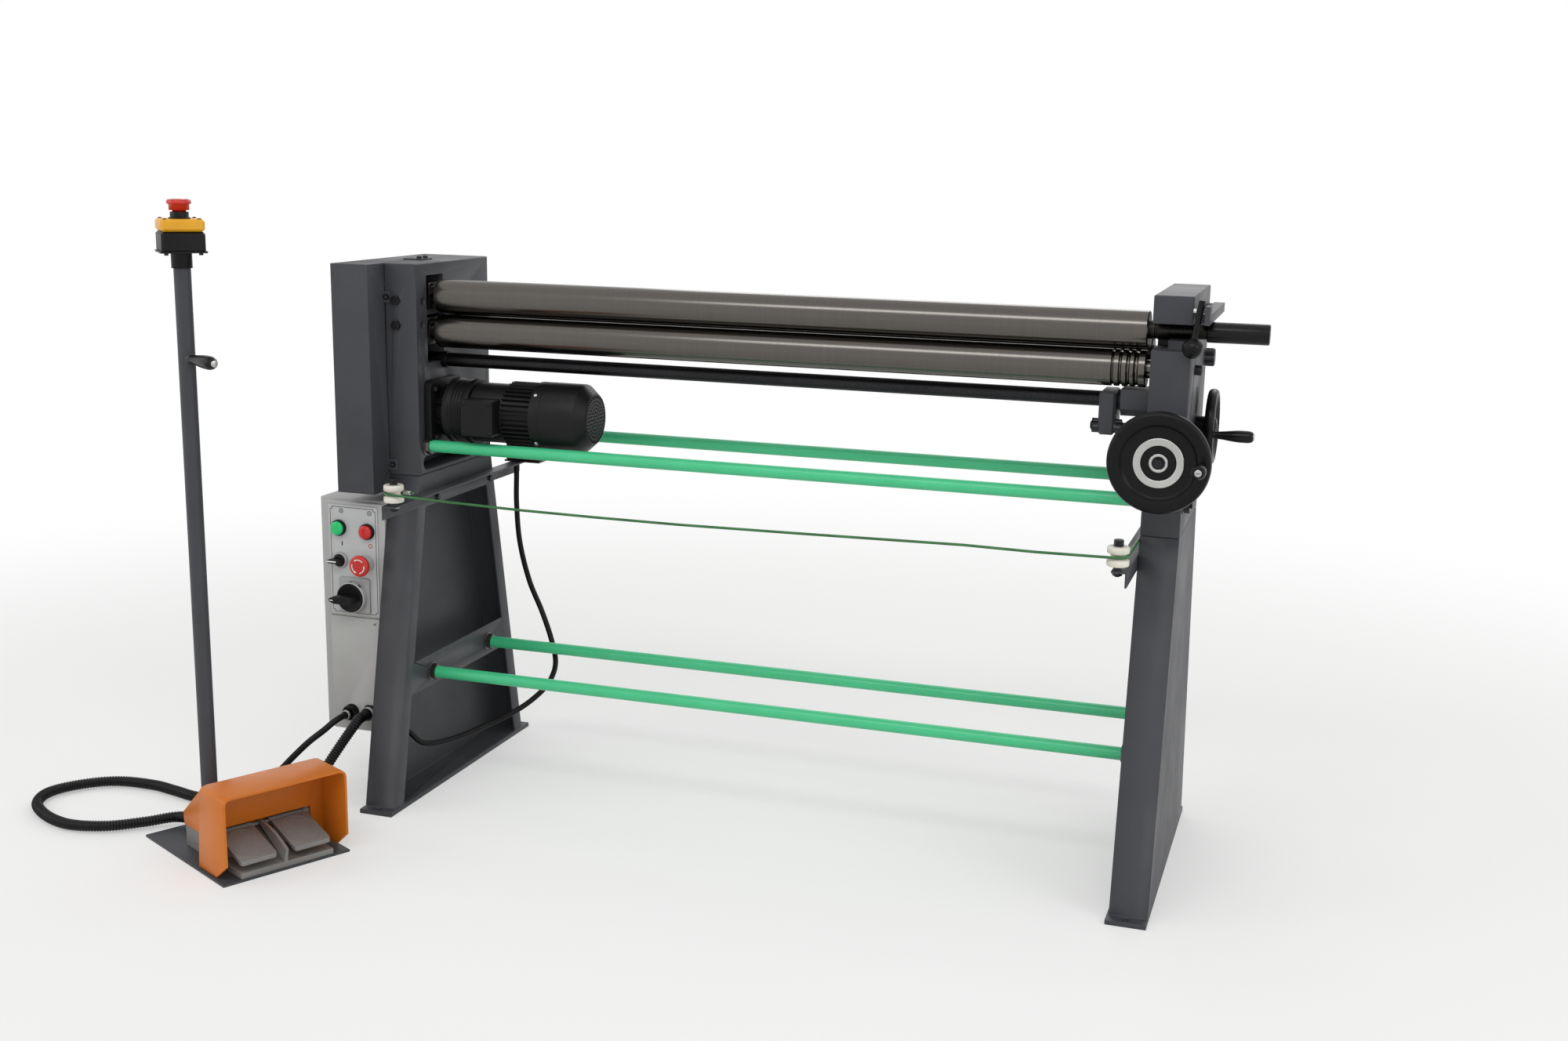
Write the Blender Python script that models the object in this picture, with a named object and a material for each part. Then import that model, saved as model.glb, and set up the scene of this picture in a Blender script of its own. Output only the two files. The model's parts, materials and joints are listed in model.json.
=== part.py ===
# Plate rolling machine with three rolls, a geared motor drive, two channel stands and a foot
# pedal station with an emergency stop pole.
# Metres. X runs along the rolls, -Y faces the operator, +Z is up and the floor is Z = 0.
import math

import bpy
import bmesh
from mathutils import Matrix, Vector

# Clearances and cutting allowances shared by all pieces
FIT_GAP = 0.0003
TURN_GAP = 0.0006
CUT_OVERRUN = 0.004
WELD_LAP = 0.001
ROUND_SIDES = 20
SMALL_SIDES = 14
TINY_SIDES = 10
HEX_SIDES = 6
THIN_NUT_SHARE = 0.8
SMOOTH_ANGLE = math.radians(32)

# Rolls, with the axis of the top and bottom rolls at Y = 0
ROLL_DIAMETER = 0.060
ROLL_FACE = 1.270
ROLL_GAP = 0.003
BOTTOM_ROLL_Z = 0.864
TOP_ROLL_Z = BOTTOM_ROLL_Z + ROLL_DIAMETER + ROLL_GAP
REAR_ROLL_Y = 0.075
REAR_ROLL_Z = 0.880
JOURNAL_DIAMETER = 0.030
WIRE_GROOVE_WIDTHS = (0.0045, 0.0055, 0.0065, 0.0080)
WIRE_GROOVE_PITCH = 0.0125
WIRE_GROOVE_DEPTH = 0.0032
WIRE_GROOVE_END = 0.0155
REAR_TRAVEL = 0.020

# Side heads
HEAD_END_GAP = 0.0115
HEAD_INNER_X = ROLL_FACE / 2 + HEAD_END_GAP
HEAD_THICKNESS = 0.062
HEAD_OUTER_X = HEAD_INNER_X + HEAD_THICKNESS
HEAD_FRONT_Y = -0.069
HEAD_REAR_Y = 0.205
HEAD_BOTTOM_Z = 0.605
HEAD_TOP_Z = 0.987
HEAD_EDGE_BEVEL = 0.0015
HEAD_MIDDLE_Y = (HEAD_FRONT_Y + HEAD_REAR_Y) / 2
SLOT_HALF_WIDTH = 0.030
SLOT_BOTTOM_Z = 0.807
SLOT_TOP_Z = 0.965
SHELF_THICKNESS = 0.0095
SHELF_RECESS = 0.006
POCKET_FLOOR = 0.012
MOUTH_BOTTOM_Z = 0.901
MOUTH_TOP_Z = 0.943
MOUTH_BACK = 0.020
MOUTH_PAD_FRONT_Y = -0.034
HEAD_FOOT_OPENING_HEIGHT = 0.026
HEAD_FOOT_OPENING_LENGTH = 0.190
HEAD_FOOT_OPENING_INSET = 0.014
HEAD_FOOT_OPENING_RISE = 0.008
HEAD_BOLT_Z = (0.9216, 0.8773)
HEAD_BOLT_ACROSS_FLATS = 0.016
HEAD_BOLT_HEAD = 0.007
HEAD_BOLT_INSET = 0.0225
HEAD_BOLT_X = HEAD_OUTER_X - HEAD_BOLT_INSET
HEAD_HOLE_DIAMETER = 0.016
HEAD_HOLE_DEPTH = 0.010
HEAD_HOLE_PLACES = ((-0.043, 0.919), (-0.046, 0.878))
OUTER_SLOT_WIDTH = 0.012
OUTER_SLOT_Y = 0.070
OUTER_SLOT_Z = (0.785, 0.830)
OUTER_SLOT_DEPTH = 0.010
CAP_SCREW_DIAMETER = 0.016
CAP_SCREW_HEAD = 0.010
CAP_SCREW_Y = 0.019
CAP_SCREW_SOCKET = 0.008
BIG_BOLT_ACROSS_FLATS = 0.026
BIG_BOLT_HEAD = 0.016
BIG_BOLT_Y = 0.181
BIG_BOLT_Z = 0.868

# Bearing blocks that carry the journals inside the heads
BLOCK_HEIGHT = 0.048
SWING_BLOCK_HALF_WIDTH = 0.018
BLOCK_SETBACK = 0.002
JACK_STEM_DIAMETER = 0.016
JACK_STEM_DEPTH = 0.030
REAR_BLOCK_WIDTH = 0.050
JOURNAL_FIT = 0.0003
RIGHT_STEP_DIAMETER = 0.024
RIGHT_COLLAR_DIAMETER = 0.030
RIGHT_COLLAR_LENGTH = 0.022

# Gears of the drive train, all of one module
GEAR_MODULE = 0.004
ROLL_GEAR_TEETH = 15
BULL_GEAR_TEETH = 54
PINION_TEETH = 19
ADDENDUM_SHARE = 1.0
DEDENDUM_SHARE = 1.25
ROOT_TOOTH_SHARE = 0.44
TIP_TOOTH_SHARE = 0.17
ROLL_GEAR_FACE = 0.008
ROLL_GEAR_X = -(HEAD_OUTER_X + 0.0115)
BULL_GEAR_FACE = 0.012
BULL_GEAR_GAP = 0.008
BULL_GEAR_WEB = 0.006
BULL_GEAR_RIM = 0.012
BULL_GEAR_HUB_DIAMETER = 0.048
PINION_FACE = 0.018
MOTOR_Y = 0.010

# Sheet metal guard over the gears
GUARD_WALL = 0.003
GUARD_DEPTH = 0.074
GUARD_FRONT_Y = -0.125
GUARD_BOTTOM_Z = 0.576
GUARD_FLANGE = 0.006
GUARD_TAB_WIDTH = 0.0185
GUARD_TAB_THICKNESS = 0.002
GUARD_TAB_HEIGHT = 0.020
GUARD_TAB_NARROW = 0.011
GUARD_TABS = ((0.9275, GUARD_TAB_NARROW), (0.6236, GUARD_TAB_WIDTH))
GUARD_SCREW_DIAMETER = 0.009
GUARD_SCREW_HEAD = 0.004
GUARD_TOP_SCREW_Y = (0.040, 0.062)

# Channel stands
STAND_WALL = 0.004
STAND_FOOT_FRONT_Y = -0.187
STAND_FOOT_REAR_Y = 0.320
STAND_LIP = 0.030
STAND_TOP_PLATE = 0.008
STAND_TOP_STRIP_Z = 0.545
STAND_MID_STRIP_Z = (0.203, 0.263)
BASE_PLATE_THICKNESS = 0.008
BASE_PLATE_FRONT_Y = -0.208
BASE_PLATE_REAR_Y = 0.347
BASE_PLATE_INNER_X = 0.643
BASE_PLATE_WIDTH = 0.0655
ANCHOR_HOLE_DIAMETER = 0.014
ANCHOR_HOLE_INSET = 0.012
ANCHOR_HOLE_SIDE = 0.0325

# Tie rods between the heads and between the stands
ROD_DIAMETER = 0.022
ROD_THREAD_DIAMETER = 0.016
ROD_SPREAD = 0.221
UPPER_ROD_Z = 0.658
LOWER_ROD_Z = 0.230
ROD_NUT_ACROSS_FLATS = 0.027
ROD_NUT_LENGTH = 0.011
ROD_NUT_RELIEF = 0.0325
ROD_THREAD_TAIL = 0.004

# Geared motor
MOTOR_FLANGE_THICKNESS = 0.014
MOTOR_FLANGE_CORNER = 0.014
MOTOR_NECK_DIAMETER = 0.082
MOTOR_SPIGOT_DIAMETER = 0.060
MOTOR_SPIGOT_DEPTH = 0.010
MOTOR_SHAFT_DIAMETER = 0.024
FLANGE_BOLT_SPACING = 0.088
FLANGE_BOLT_MARGIN = 0.0145
MOTOR_FLANGE = FLANGE_BOLT_SPACING + FLANGE_BOLT_MARGIN * 2
FLANGE_BOLT_DIAMETER = 0.013
FLANGE_BOLT_HEAD = 0.008
REDUCER_DIAMETER = 0.120
REDUCER_START = 0.034
REDUCER_LENGTH = 0.050
REDUCER_BAND_HEIGHT = 0.003
REDUCER_BAND_WIDTH = 0.010
MOTOR_BODY_DIAMETER = 0.108
MOTOR_BODY_LENGTH = 0.123
MOTOR_FIN_COUNT = 18
MOTOR_FIN_HEIGHT = 0.0055
MOTOR_FIN_THICKNESS = 0.0026
MOTOR_FIN_LENGTH = 0.057
TERMINAL_BOX_LENGTH = 0.062
TERMINAL_BOX_HEIGHT = 0.064
TERMINAL_BOX_DEPTH = 0.024
TERMINAL_BOX_BEVEL = 0.004
TERMINAL_LID = 0.002
TERMINAL_LID_INSET = 0.006
COWL_DIAMETER = 0.124
COWL_LENGTH = 0.105
COWL_CHAMFER = 0.020
COWL_WALL = 0.003
COWL_FACE_DIAMETER = 0.090
COWL_LAP = 0.006
GRILLE_HOLE_DIAMETER = 0.009
GRILLE_RING_RADII = (0.014, 0.032)
GRILLE_RING_COUNTS = (4, 10)

# Control cabinet beside the left stand
CABINET_LEFT_X = -0.850
CABINET_SIDE_GAP = 0.0003
CABINET_FRONT_Y = -0.080
CABINET_DEPTH = 0.170
CABINET_BOTTOM_Z = 0.110
CABINET_TOP_Z = 0.555
CABINET_SEAM_Z = 0.334
CABINET_SEAM_WIDTH = 0.002
CABINET_SEAM_DEPTH = 0.003
DOOR_LEFT_X = -0.829
DOOR_THICKNESS = 0.012
DOOR_MARGIN = 0.004
CABINET_BEVEL = 0.002
PANEL_LEFT_X = -0.825
PANEL_RIGHT_X = -0.723
PANEL_BOTTOM_Z = 0.338
PANEL_TOP_Z = 0.545
PANEL_THICKNESS = 0.0015
LAMP_BEZEL_DIAMETER = 0.029
LAMP_BEZEL_HEIGHT = 0.004
LAMP_LENS_DIAMETER = 0.024
LAMP_LENS_HEIGHT = 0.012
GREEN_LAMP_X = -0.803
GREEN_LAMP_Z = 0.502
RED_LAMP_X = -0.744
RED_LAMP_Z = 0.499
SELECTOR_X = -0.802
SELECTOR_Z = 0.441
SELECTOR_BEZEL_DIAMETER = 0.029
SELECTOR_DIAMETER = 0.022
SELECTOR_HEIGHT = 0.016
SELECTOR_BLADE_WIDTH = 0.008
SELECTOR_POINTER_LENGTH = 0.019
PANEL_STOP_X = -0.748
PANEL_STOP_Z = 0.439
STOP_BUTTON_DIAMETER = 0.040
STOP_BUTTON_THICKNESS = 0.012
STOP_STEM_DIAMETER = 0.022
STEM_CLEARANCE = 0.0007
STOP_COLLAR_DIAMETER = 0.030
STOP_COLLAR_HEIGHT = 0.010
STOP_TRAVEL = 0.005
STOP_STAND_OFF = 0.018
STOP_BUTTON_RELIEF = 0.0012
DEVICE_DEPTH = 0.0115
LAMP_DOME_HEIGHT = 0.002
MAIN_SWITCH_PLATE_X = (-0.805, -0.741)
MAIN_SWITCH_PLATE_Z = (0.344, 0.410)
MAIN_SWITCH_PLATE_THICKNESS = 0.005
MAIN_SWITCH_RING_DIAMETER = 0.058
MAIN_SWITCH_RING_HEIGHT = 0.008
MAIN_SWITCH_Z = 0.374
MAIN_SWITCH_OFFSET = 0.003
MAIN_SHAFT_DIAMETER = 0.012
MAIN_SWITCH_KNOB_DIAMETER = 0.044
MAIN_SWITCH_KNOB_HEIGHT = 0.028
MAIN_SWITCH_BLADE_WIDTH = 0.014
MAIN_SWITCH_POINTER_LENGTH = 0.030
GLAND_X = -0.790
GLAND_Z = 0.149
HOSE_GLAND_X = -0.7495
HOSE_GLAND_Z = 0.152
GLAND_ACROSS_FLATS = 0.024
GLAND_LENGTH = 0.016
GLAND_DOME_DIAMETER = 0.018
GLAND_DOME_LENGTH = 0.010
HOSE_GLAND_DIAMETER = 0.026

# Cross shaft that lifts both ends of the bottom roll, and what carries it on the right
CROSS_SHAFT_DIAMETER = 0.025
CROSS_SHAFT_Y = 0.029
CROSS_SHAFT_Z = 0.8083
CROSS_SHAFT_DEPTH = 0.030
CROSS_SHAFT_NUT_DIAMETER = 0.030
CROSS_SHAFT_NUT_LENGTH = 0.010
ARM_X = (0.562, 0.589)
ARM_Y = (-0.012, 0.052)
ARM_Z = (0.7545, 0.8256)
ARM_BEVEL = 0.004
WORM_HOUSING_X = 0.596
WORM_HOUSING_Y = (-0.010, 0.060)
WORM_HOUSING_Z = (0.786, 0.830)
WORM_HOUSING_CUT = 0.012
STUD_DIAMETER = 0.013
STUD_DEPTH = 0.018
STUD_Y = 0.000
STUD_Z = 0.768
STUD_NUT_ACROSS_FLATS = 0.020
STUD_NUT_LENGTH = 0.010

# Front handwheel, whose shaft enters the front of the right head
FRONT_WHEEL_X = 0.6765
FRONT_WHEEL_Z = 0.737
FRONT_WHEEL_DIAMETER = 0.160
FRONT_WHEEL_RIM_Y = -0.150
FRONT_WHEEL_RIM_DEPTH = 0.020
FRONT_WHEEL_RIM_WIDTH = 0.026
FRONT_WHEEL_WEB = 0.008
FRONT_WHEEL_HUB_DIAMETER = 0.045
DIAL_OUTER_DIAMETER = 0.079
DIAL_INNER_DIAMETER = 0.054
DIAL_HEIGHT = 0.004
HUB_RING_DIAMETER = 0.028
FRONT_SHAFT_DIAMETER = 0.020
FRONT_SHAFT_DEPTH = 0.030
FRONT_FLANGE_DIAMETER = 0.044
FRONT_FLANGE_THICKNESS = 0.010
CRANK_OFFSET_X = 0.0645
CRANK_OFFSET_Z = -0.003
CRANK_GRIP_LENGTH = 0.042
CRANK_GRIP_DIAMETER = 0.022
CRANK_GRIP_ROOT_DIAMETER = 0.017
CRANK_GRIP_NECK = (0.15, 0.94)
CRANK_GRIP_BELLY = (0.60, 0.92)
CRANK_GRIP_END = 0.84
CRANK_PIN_DIAMETER = 0.008
CRANK_PIN_HEAD_DIAMETER = 0.011
CRANK_PIN_HEAD_LENGTH = 0.002

# Side handwheel, whose shaft enters the outer face of the right head
SIDE_WHEEL_Y = 0.104
SIDE_WHEEL_Z = 0.762
SIDE_WHEEL_DIAMETER = 0.125
SIDE_WHEEL_RIM_X = 0.725
SIDE_WHEEL_RIM_DEPTH = 0.016
SIDE_WHEEL_RIM_WIDTH = 0.016
SIDE_WHEEL_HUB_DIAMETER = 0.032
SIDE_SHAFT_DIAMETER = 0.016
SIDE_SHAFT_DEPTH = 0.030
SIDE_CRANK_RADIUS = 0.050
SIDE_CRANK_RISE = -0.006
SIDE_CRANK_GRIP_LENGTH = 0.062
SIDE_CRANK_GRIP_DIAMETER = 0.020
SIDE_CRANK_ROOT_DIAMETER = 0.012

# Swing-out end of the top roll: grip, latch bar and drop latch lever
TOP_GRIP_X = (0.725, 0.821)
TOP_GRIP_DIAMETER = 0.033
TOP_GRIP_EDGE = 0.002
GRIP_END_WALL = 0.006
GRIP_SHAFT_DIAMETER = 0.020
LATCH_BAR_X = (0.7176, 0.7348)
LATCH_BAR_Z = (0.945, 0.960)
LATCH_BAR_Y = (-0.060, 0.185)
LATCH_PAD_Y = (0.020, 0.060, 0.140, 0.175)
LATCH_LUG_X = 0.7270
LATCH_LUG_LENGTH = 0.030
LATCH_LUG_HEIGHT = 0.014
LATCH_PIN_DIAMETER = 0.005
LATCH_PIN_TAIL = 0.001
LEVER_PIVOT_Y = -0.082
LEVER_PIVOT_Z = 0.966
LEVER_ROD_DIAMETER = 0.010
LEVER_X = 0.719
LEVER_TIP_LENGTH = 0.017
LEVER_BALL_DIAMETER = 0.032
LEVER_BALL_X = 0.711
LEVER_BALL_Y = -0.085
LEVER_BALL_Z = 0.909

# Trip rope round the machine: angle brackets, pulleys and switch
BRACKET_LEG = 0.025
BRACKET_THICKNESS = 0.003
BRACKET_TOP_Z = 0.575
BRACKET_FRONT_Y = -0.204
BRACKET_REAR_Y = 0.322
BRACKET_BOLT_Y = (-0.016, 0.190)
BRACKET_BOLT_Z = 0.558
BRACKET_BOLT_ACROSS_FLATS = 0.010
BRACKET_BOLT_HEAD = 0.005
PULLEY_X = 0.6295
PULLEY_FRONT_Y = -0.190
PULLEY_REAR_Y = 0.302
PULLEY_DIAMETER = 0.035
PULLEY_HEIGHT = 0.031
PULLEY_GROOVE_DIAMETER = 0.023
PULLEY_GROOVE_WIDTH = 0.011
PULLEY_EDGE = 0.003
PULLEY_SPACER_DIAMETER = 0.013
PULLEY_SPACER_HEIGHT = 0.006
PULLEY_BOLT_DIAMETER = 0.008
PULLEY_BOLT_ACROSS_FLATS = 0.013
PULLEY_BOLT_HEAD = 0.010
PULLEY_NUT_LENGTH = 0.007
ROPE_DIAMETER = 0.0045
ROPE_Z = BRACKET_TOP_Z + PULLEY_SPACER_HEIGHT + FIT_GAP + PULLEY_HEIGHT / 2
ROPE_TAIL = 0.030
ROPE_STAND_OFF = 0.001
ROPE_SAG = 0.008
ROPE_TURN_STEPS = 4
ROPE_SAG_SHARES = (
    (0.09, 0.5), (0.20, 0.87), (0.31, 1.0), (0.43, 1.0), (0.60, 0.62), (0.81, 0.05), (0.90, 0.2),
)
ROPE_SWITCH_X = (-0.655, -0.585)
ROPE_SWITCH_Y = 0.302
ROPE_SWITCH_WIDTH = 0.034
ROPE_SWITCH_BASE = 0.003
ROPE_SWITCH_TOP_Z = 0.617
ROPE_SWITCH_NECK_LENGTH = 0.014
ROPE_SWITCH_NECK_DIAMETER = 0.020
ROPE_SWITCH_EYE_LENGTH = 0.022
ROPE_SWITCH_EYE_DIAMETER = 0.008

# Foot pedal station, in its own frame turned about the vertical
STATION_X = -0.7376
STATION_Y = -0.5755
STATION_ANGLE = math.radians(61.9)
FLOOR_PLATE_WIDTH = 0.2326
FLOOR_PLATE_DEPTH = 0.292
FLOOR_PLATE_THICKNESS = 0.004
GUARD_HOOD_X = (0.006, 0.231)
GUARD_HOOD_TOP_Z = 0.150
GUARD_HOOD_DEPTH = 0.085
GUARD_HOOD_WALL = 0.004
GUARD_HOOD_CORNER = 0.013
GUARD_HOOD_CORNER_STEPS = 3
GUARD_HOOD_CHAMFER_Z = 0.032
GUARD_HOOD_TIP_DEPTH = 0.036
GUARD_HOOD_FOOT_DEPTH = 0.099
GUARD_HOOD_FOOT_Z = 0.005
PEDAL_BODY_X = (0.031, 0.204)
PEDAL_BODY_MIDDLE_DEPTH = 0.140
PEDAL_BODY_MIDDLE_Z = 0.119
PEDAL_BODY_REAR_DEPTH = 0.203
PEDAL_BODY_REAR_Z = 0.066
PEDAL_BASE_TOP_Z = 0.043
PEDAL_TONGUE_X = (0.034, 0.202)
PEDAL_TONGUE_FRONT = 0.0025
PEDAL_TONGUE_TOP_Z = 0.014
LEFT_PEDAL_X = (0.033, 0.098)
RIGHT_PEDAL_X = (0.130, 0.197)
PEDAL_FRONT_DEPTH = 0.000
PEDAL_REAR_DEPTH = 0.082
PEDAL_FRONT_Z = 0.035
PEDAL_REAR_Z = 0.060
PEDAL_THICKNESS = 0.007
PEDAL_CORNER = 0.005
PEDAL_HINGE_DEPTH = 0.092
PEDAL_HINGE_Z = 0.056
PEDAL_HINGE_DIAMETER = 0.012
PEDAL_PIN_DIAMETER = 0.006
PEDAL_FIN_X = 0.114
PEDAL_FIN_THICKNESS = 0.005
PEDAL_FIN_FRONT_DEPTH = -0.004
PEDAL_FIN_FRONT_Z = 0.038
PEDAL_FIN_REAR_Z = 0.064
PEDAL_FIN_BULGE = 0.007
PEDAL_FIN_STEPS = 5
PEDAL_STEP_DEPTH = 0.088
PEDAL_LUG_INSET = 0.005

# Emergency stop pole on the pedal station
POLE_X = 0.102
POLE_DEPTH = 0.250
POLE_DIAMETER = 0.028
POLE_WALL = 0.0025
POLE_FOOT_DIAMETER = 0.034
POLE_FOOT_HEIGHT = 0.006
SOCKET_DIAMETER = 0.034
SOCKET_BOTTOM_Z = 0.988
SOCKET_TOP_Z = 1.014
SOCKET_DEPTH = 0.012
STOP_BOX_SIDE = 0.070
STOP_BOX_BEVEL = 0.004
STOP_BOX_ANGLE = math.radians(45) - STATION_ANGLE
STOP_BOX_LIP = 0.002
STOP_BOX_LIP_HEIGHT = 0.003
STOP_BOX_LID_Z = 1.049
STOP_BOX_TOP_Z = 1.069
POLE_STOP_COLLAR_HEIGHT = 0.011
POLE_STOP_BUTTON_TOP_Z = 1.101
POLE_STOP_SKIRT = 0.006
POLE_GRIP_Z = 0.838
POLE_GRIP_LENGTH = 0.078
POLE_GRIP_ROOT_DIAMETER = 0.016
POLE_GRIP_DIAMETER = 0.023
POLE_GRIP_PIN_DIAMETER = 0.008
POLE_GRIP_BOSS_DIAMETER = 0.018
POLE_GRIP_BOSS_LENGTH = 0.006

# Cables, hose and rope: diameters, and routes chosen by hand through the machine's frame
SWITCH_CABLE_DIAMETER = 0.0105
SWITCH_CABLE_ROUTE = (
    (-0.634, 0.290, 0.5717), (-0.634, 0.290, 0.558), (-0.630, 0.280, 0.495), (-0.615, 0.262, 0.419),
    (-0.584, 0.240, 0.346), (-0.545, 0.217, 0.290), (-0.520, 0.206, 0.238), (-0.503, 0.188, 0.199),
    (-0.498, 0.155, 0.174),
    (-0.506, 0.120, 0.154), (-0.530, 0.075, 0.132), (-0.572, 0.025, 0.111), (-0.615, -0.035, 0.097),
    (-0.648, -0.078, 0.100), (-0.672, -0.092, 0.124), (-0.692, -0.092, 0.130), (-0.7042, -0.092, 0.130),
)
STOP_CABLE_DIAMETER = 0.012
STOP_CABLE_ROUTE = (
    (-0.790, -0.1183, 0.149), (-0.790, -0.131, 0.149), (-0.796, -0.146, 0.144), (-0.808, -0.162, 0.131),
    (-0.827, -0.182, 0.113), (-0.849, -0.200, 0.088), (-0.872, -0.217, 0.060), (-0.889, -0.234, 0.042),
    (-0.900, -0.254, 0.031), (-0.906, -0.276, 0.020), (-0.909, -0.298, 0.015), (-0.9105, -0.320, 0.0155),
    (-0.9109, -0.338, 0.018), (-0.9109, -0.3531, 0.018),
)
HOSE_DIAMETER = 0.020
HOSE_RIB_DEPTH = 0.0016
HOSE_WALL = 0.002
HOSE_RIB_COUNT = 70
HOSE_ROUTE = (
    (-0.7495, -0.1083, 0.152), (-0.7495, -0.130, 0.152), (-0.7500, -0.150, 0.144), (-0.7590, -0.173, 0.121),
    (-0.7710, -0.189, 0.096), (-0.7870, -0.202, 0.067), (-0.8100, -0.214, 0.040), (-0.8420, -0.226, 0.022),
    (-0.8800, -0.236, 0.017), (-0.9400, -0.252, 0.012), (-1.0090, -0.2700, 0.012), (-1.0680, -0.2580, 0.012),
    (-1.1250, -0.2470, 0.012), (-1.2040, -0.2560, 0.012), (-1.2590, -0.3020, 0.012), (-1.2780, -0.3560, 0.012),
    (-1.2460, -0.4130, 0.012), (-1.1520, -0.4600, 0.012), (-1.0770, -0.4480, 0.012), (-1.0200, -0.4080, 0.013),
    (-0.9750, -0.3790, 0.018), (-0.9320, -0.3900, 0.024), (-0.9057, -0.4064, 0.0255), (-0.8840, -0.4180, 0.0255),
)
CORD_TURN_STEP = math.radians(20)


def material(name, colour, roughness, metallic=0.0):
    """A plain Principled material whose colour is given as sRGB values from 0 to 1."""
    linear = [((c + 0.055) / 1.055) ** 2.4 if c > 0.04045 else c / 12.92 for c in colour]
    made = bpy.data.materials.new(name)
    made.use_nodes = True
    shader = made.node_tree.nodes["Principled BSDF"]
    shader.inputs["Base Color"].default_value = (*linear, 1.0)
    shader.inputs["Roughness"].default_value = roughness
    shader.inputs["Metallic"].default_value = metallic
    made.diffuse_color = (*linear, 1.0)
    return made


def add_object(name, bm):
    """Turn a bmesh into a scene object with outward faces."""
    bmesh.ops.recalc_face_normals(bm, faces=bm.faces)
    mesh = bpy.data.meshes.new(name)
    bm.to_mesh(mesh)
    bm.free()
    made = bpy.data.objects.new(name, mesh)
    bpy.context.scene.collection.objects.link(made)
    return made


def block(low, high, bevel=0.0):
    """A box between two corners, with all its edges chamfered when a bevel is given."""
    bm = bmesh.new()
    size = Vector(high) - Vector(low)
    middle = (Vector(high) + Vector(low)) / 2
    bmesh.ops.create_cube(bm, size=1.0, matrix=Matrix.Translation(middle) @ Matrix.Diagonal((*size, 1.0)))
    if bevel:
        bmesh.ops.bevel(bm, geom=bm.edges[:], offset=bevel, segments=1, affect="EDGES")
    return add_object("blank", bm)


def to_axis(axis, along, across, up):
    """Place a point given along an axis and across it. Y shapes use X and Z, Z shapes use X and Y."""
    if axis == "X":
        return Vector((along, across, up))
    if axis == "Y":
        return Vector((across, along, up))
    return Vector((across, up, along))


def prism(outline, axis, start, end, bevel=0.0):
    """Extrude a closed outline of (across, up) points from start to end along an axis."""
    bm = bmesh.new()
    lower = [bm.verts.new(to_axis(axis, start, a, b)) for a, b in outline]
    upper = [bm.verts.new(to_axis(axis, end, a, b)) for a, b in outline]
    count = len(outline)
    bm.faces.new(lower)
    bm.faces.new(upper)
    for i in range(count):
        j = (i + 1) % count
        bm.faces.new((lower[i], lower[j], upper[j], upper[i]))
    if bevel:
        bmesh.ops.bevel(bm, geom=bm.edges[:], offset=bevel, segments=1, affect="EDGES")
    return add_object("blank", bm)


def turned(profile, axis, centre, sides=ROUND_SIDES):
    """Revolve (along, radius) points about an axis through centre, closing both ends on the axis."""
    bm = bmesh.new()
    rings = []
    for along, radius in profile:
        ring = []
        for i in range(sides):
            angle = math.tau * i / sides
            ring.append(bm.verts.new(to_axis(axis, along, centre[0] + radius * math.cos(angle),
                                             centre[1] + radius * math.sin(angle))))
        rings.append(ring)
    bm.faces.new(rings[0])
    bm.faces.new(rings[-1])
    for ring, following in zip(rings, rings[1:]):
        for i in range(sides):
            j = (i + 1) % sides
            bm.faces.new((ring[i], ring[j], following[j], following[i]))
    return add_object("blank", bm)


def rod(axis, centre, start, end, diameter, sides=ROUND_SIDES):
    """A plain round bar."""
    return turned([(start, diameter / 2), (end, diameter / 2)], axis, centre, sides)


def pipe(profile, axis, centre, sides=ROUND_SIDES):
    """Revolve a closed loop of (along, radius) points that stays clear of the axis."""
    bm = bmesh.new()
    rings = []
    for along, radius in profile:
        ring = []
        for i in range(sides):
            angle = math.tau * i / sides
            ring.append(bm.verts.new(to_axis(axis, along, centre[0] + radius * math.cos(angle),
                                             centre[1] + radius * math.sin(angle))))
        rings.append(ring)
    for index, ring in enumerate(rings):
        following = rings[(index + 1) % len(rings)]
        for i in range(sides):
            j = (i + 1) % sides
            bm.faces.new((ring[i], ring[j], following[j], following[i]))
    return add_object("blank", bm)


def ball(centre, diameter, sides=ROUND_SIDES):
    """A round ball of facets."""
    bm = bmesh.new()
    bmesh.ops.create_uvsphere(bm, u_segments=sides, v_segments=sides // 2, radius=diameter / 2,
                              matrix=Matrix.Translation(centre))
    return add_object("blank", bm)


def hex_bar(axis, centre, start, end, across_flats):
    """A hexagon bar, as for nuts and bolt heads, with a flat facing up."""
    radius = across_flats / math.sqrt(3)
    points = []
    for i in range(HEX_SIDES):
        angle = math.tau * (i + 1) / HEX_SIDES
        points.append((centre[0] + radius * math.cos(angle), centre[1] + radius * math.sin(angle)))
    return prism(points, axis, start, end)


def round_bar(start, end, diameter, end_diameter=None, sides=ROUND_SIDES):
    """A round bar, which may taper, between any two points."""
    first, last = Vector(start), Vector(end)
    direction = last - first
    made = turned([(0.0, diameter / 2), (direction.length, (end_diameter or diameter) / 2)], "Z", (0.0, 0.0),
                  sides)
    turn = Vector((0, 0, 1)).rotation_difference(direction.normalized()).to_matrix().to_4x4()
    made.data.transform(Matrix.Translation(first) @ turn)
    return made


def moved(made, matrix):
    """Apply a matrix to a blank's mesh."""
    made.data.transform(matrix)
    return made


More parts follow.
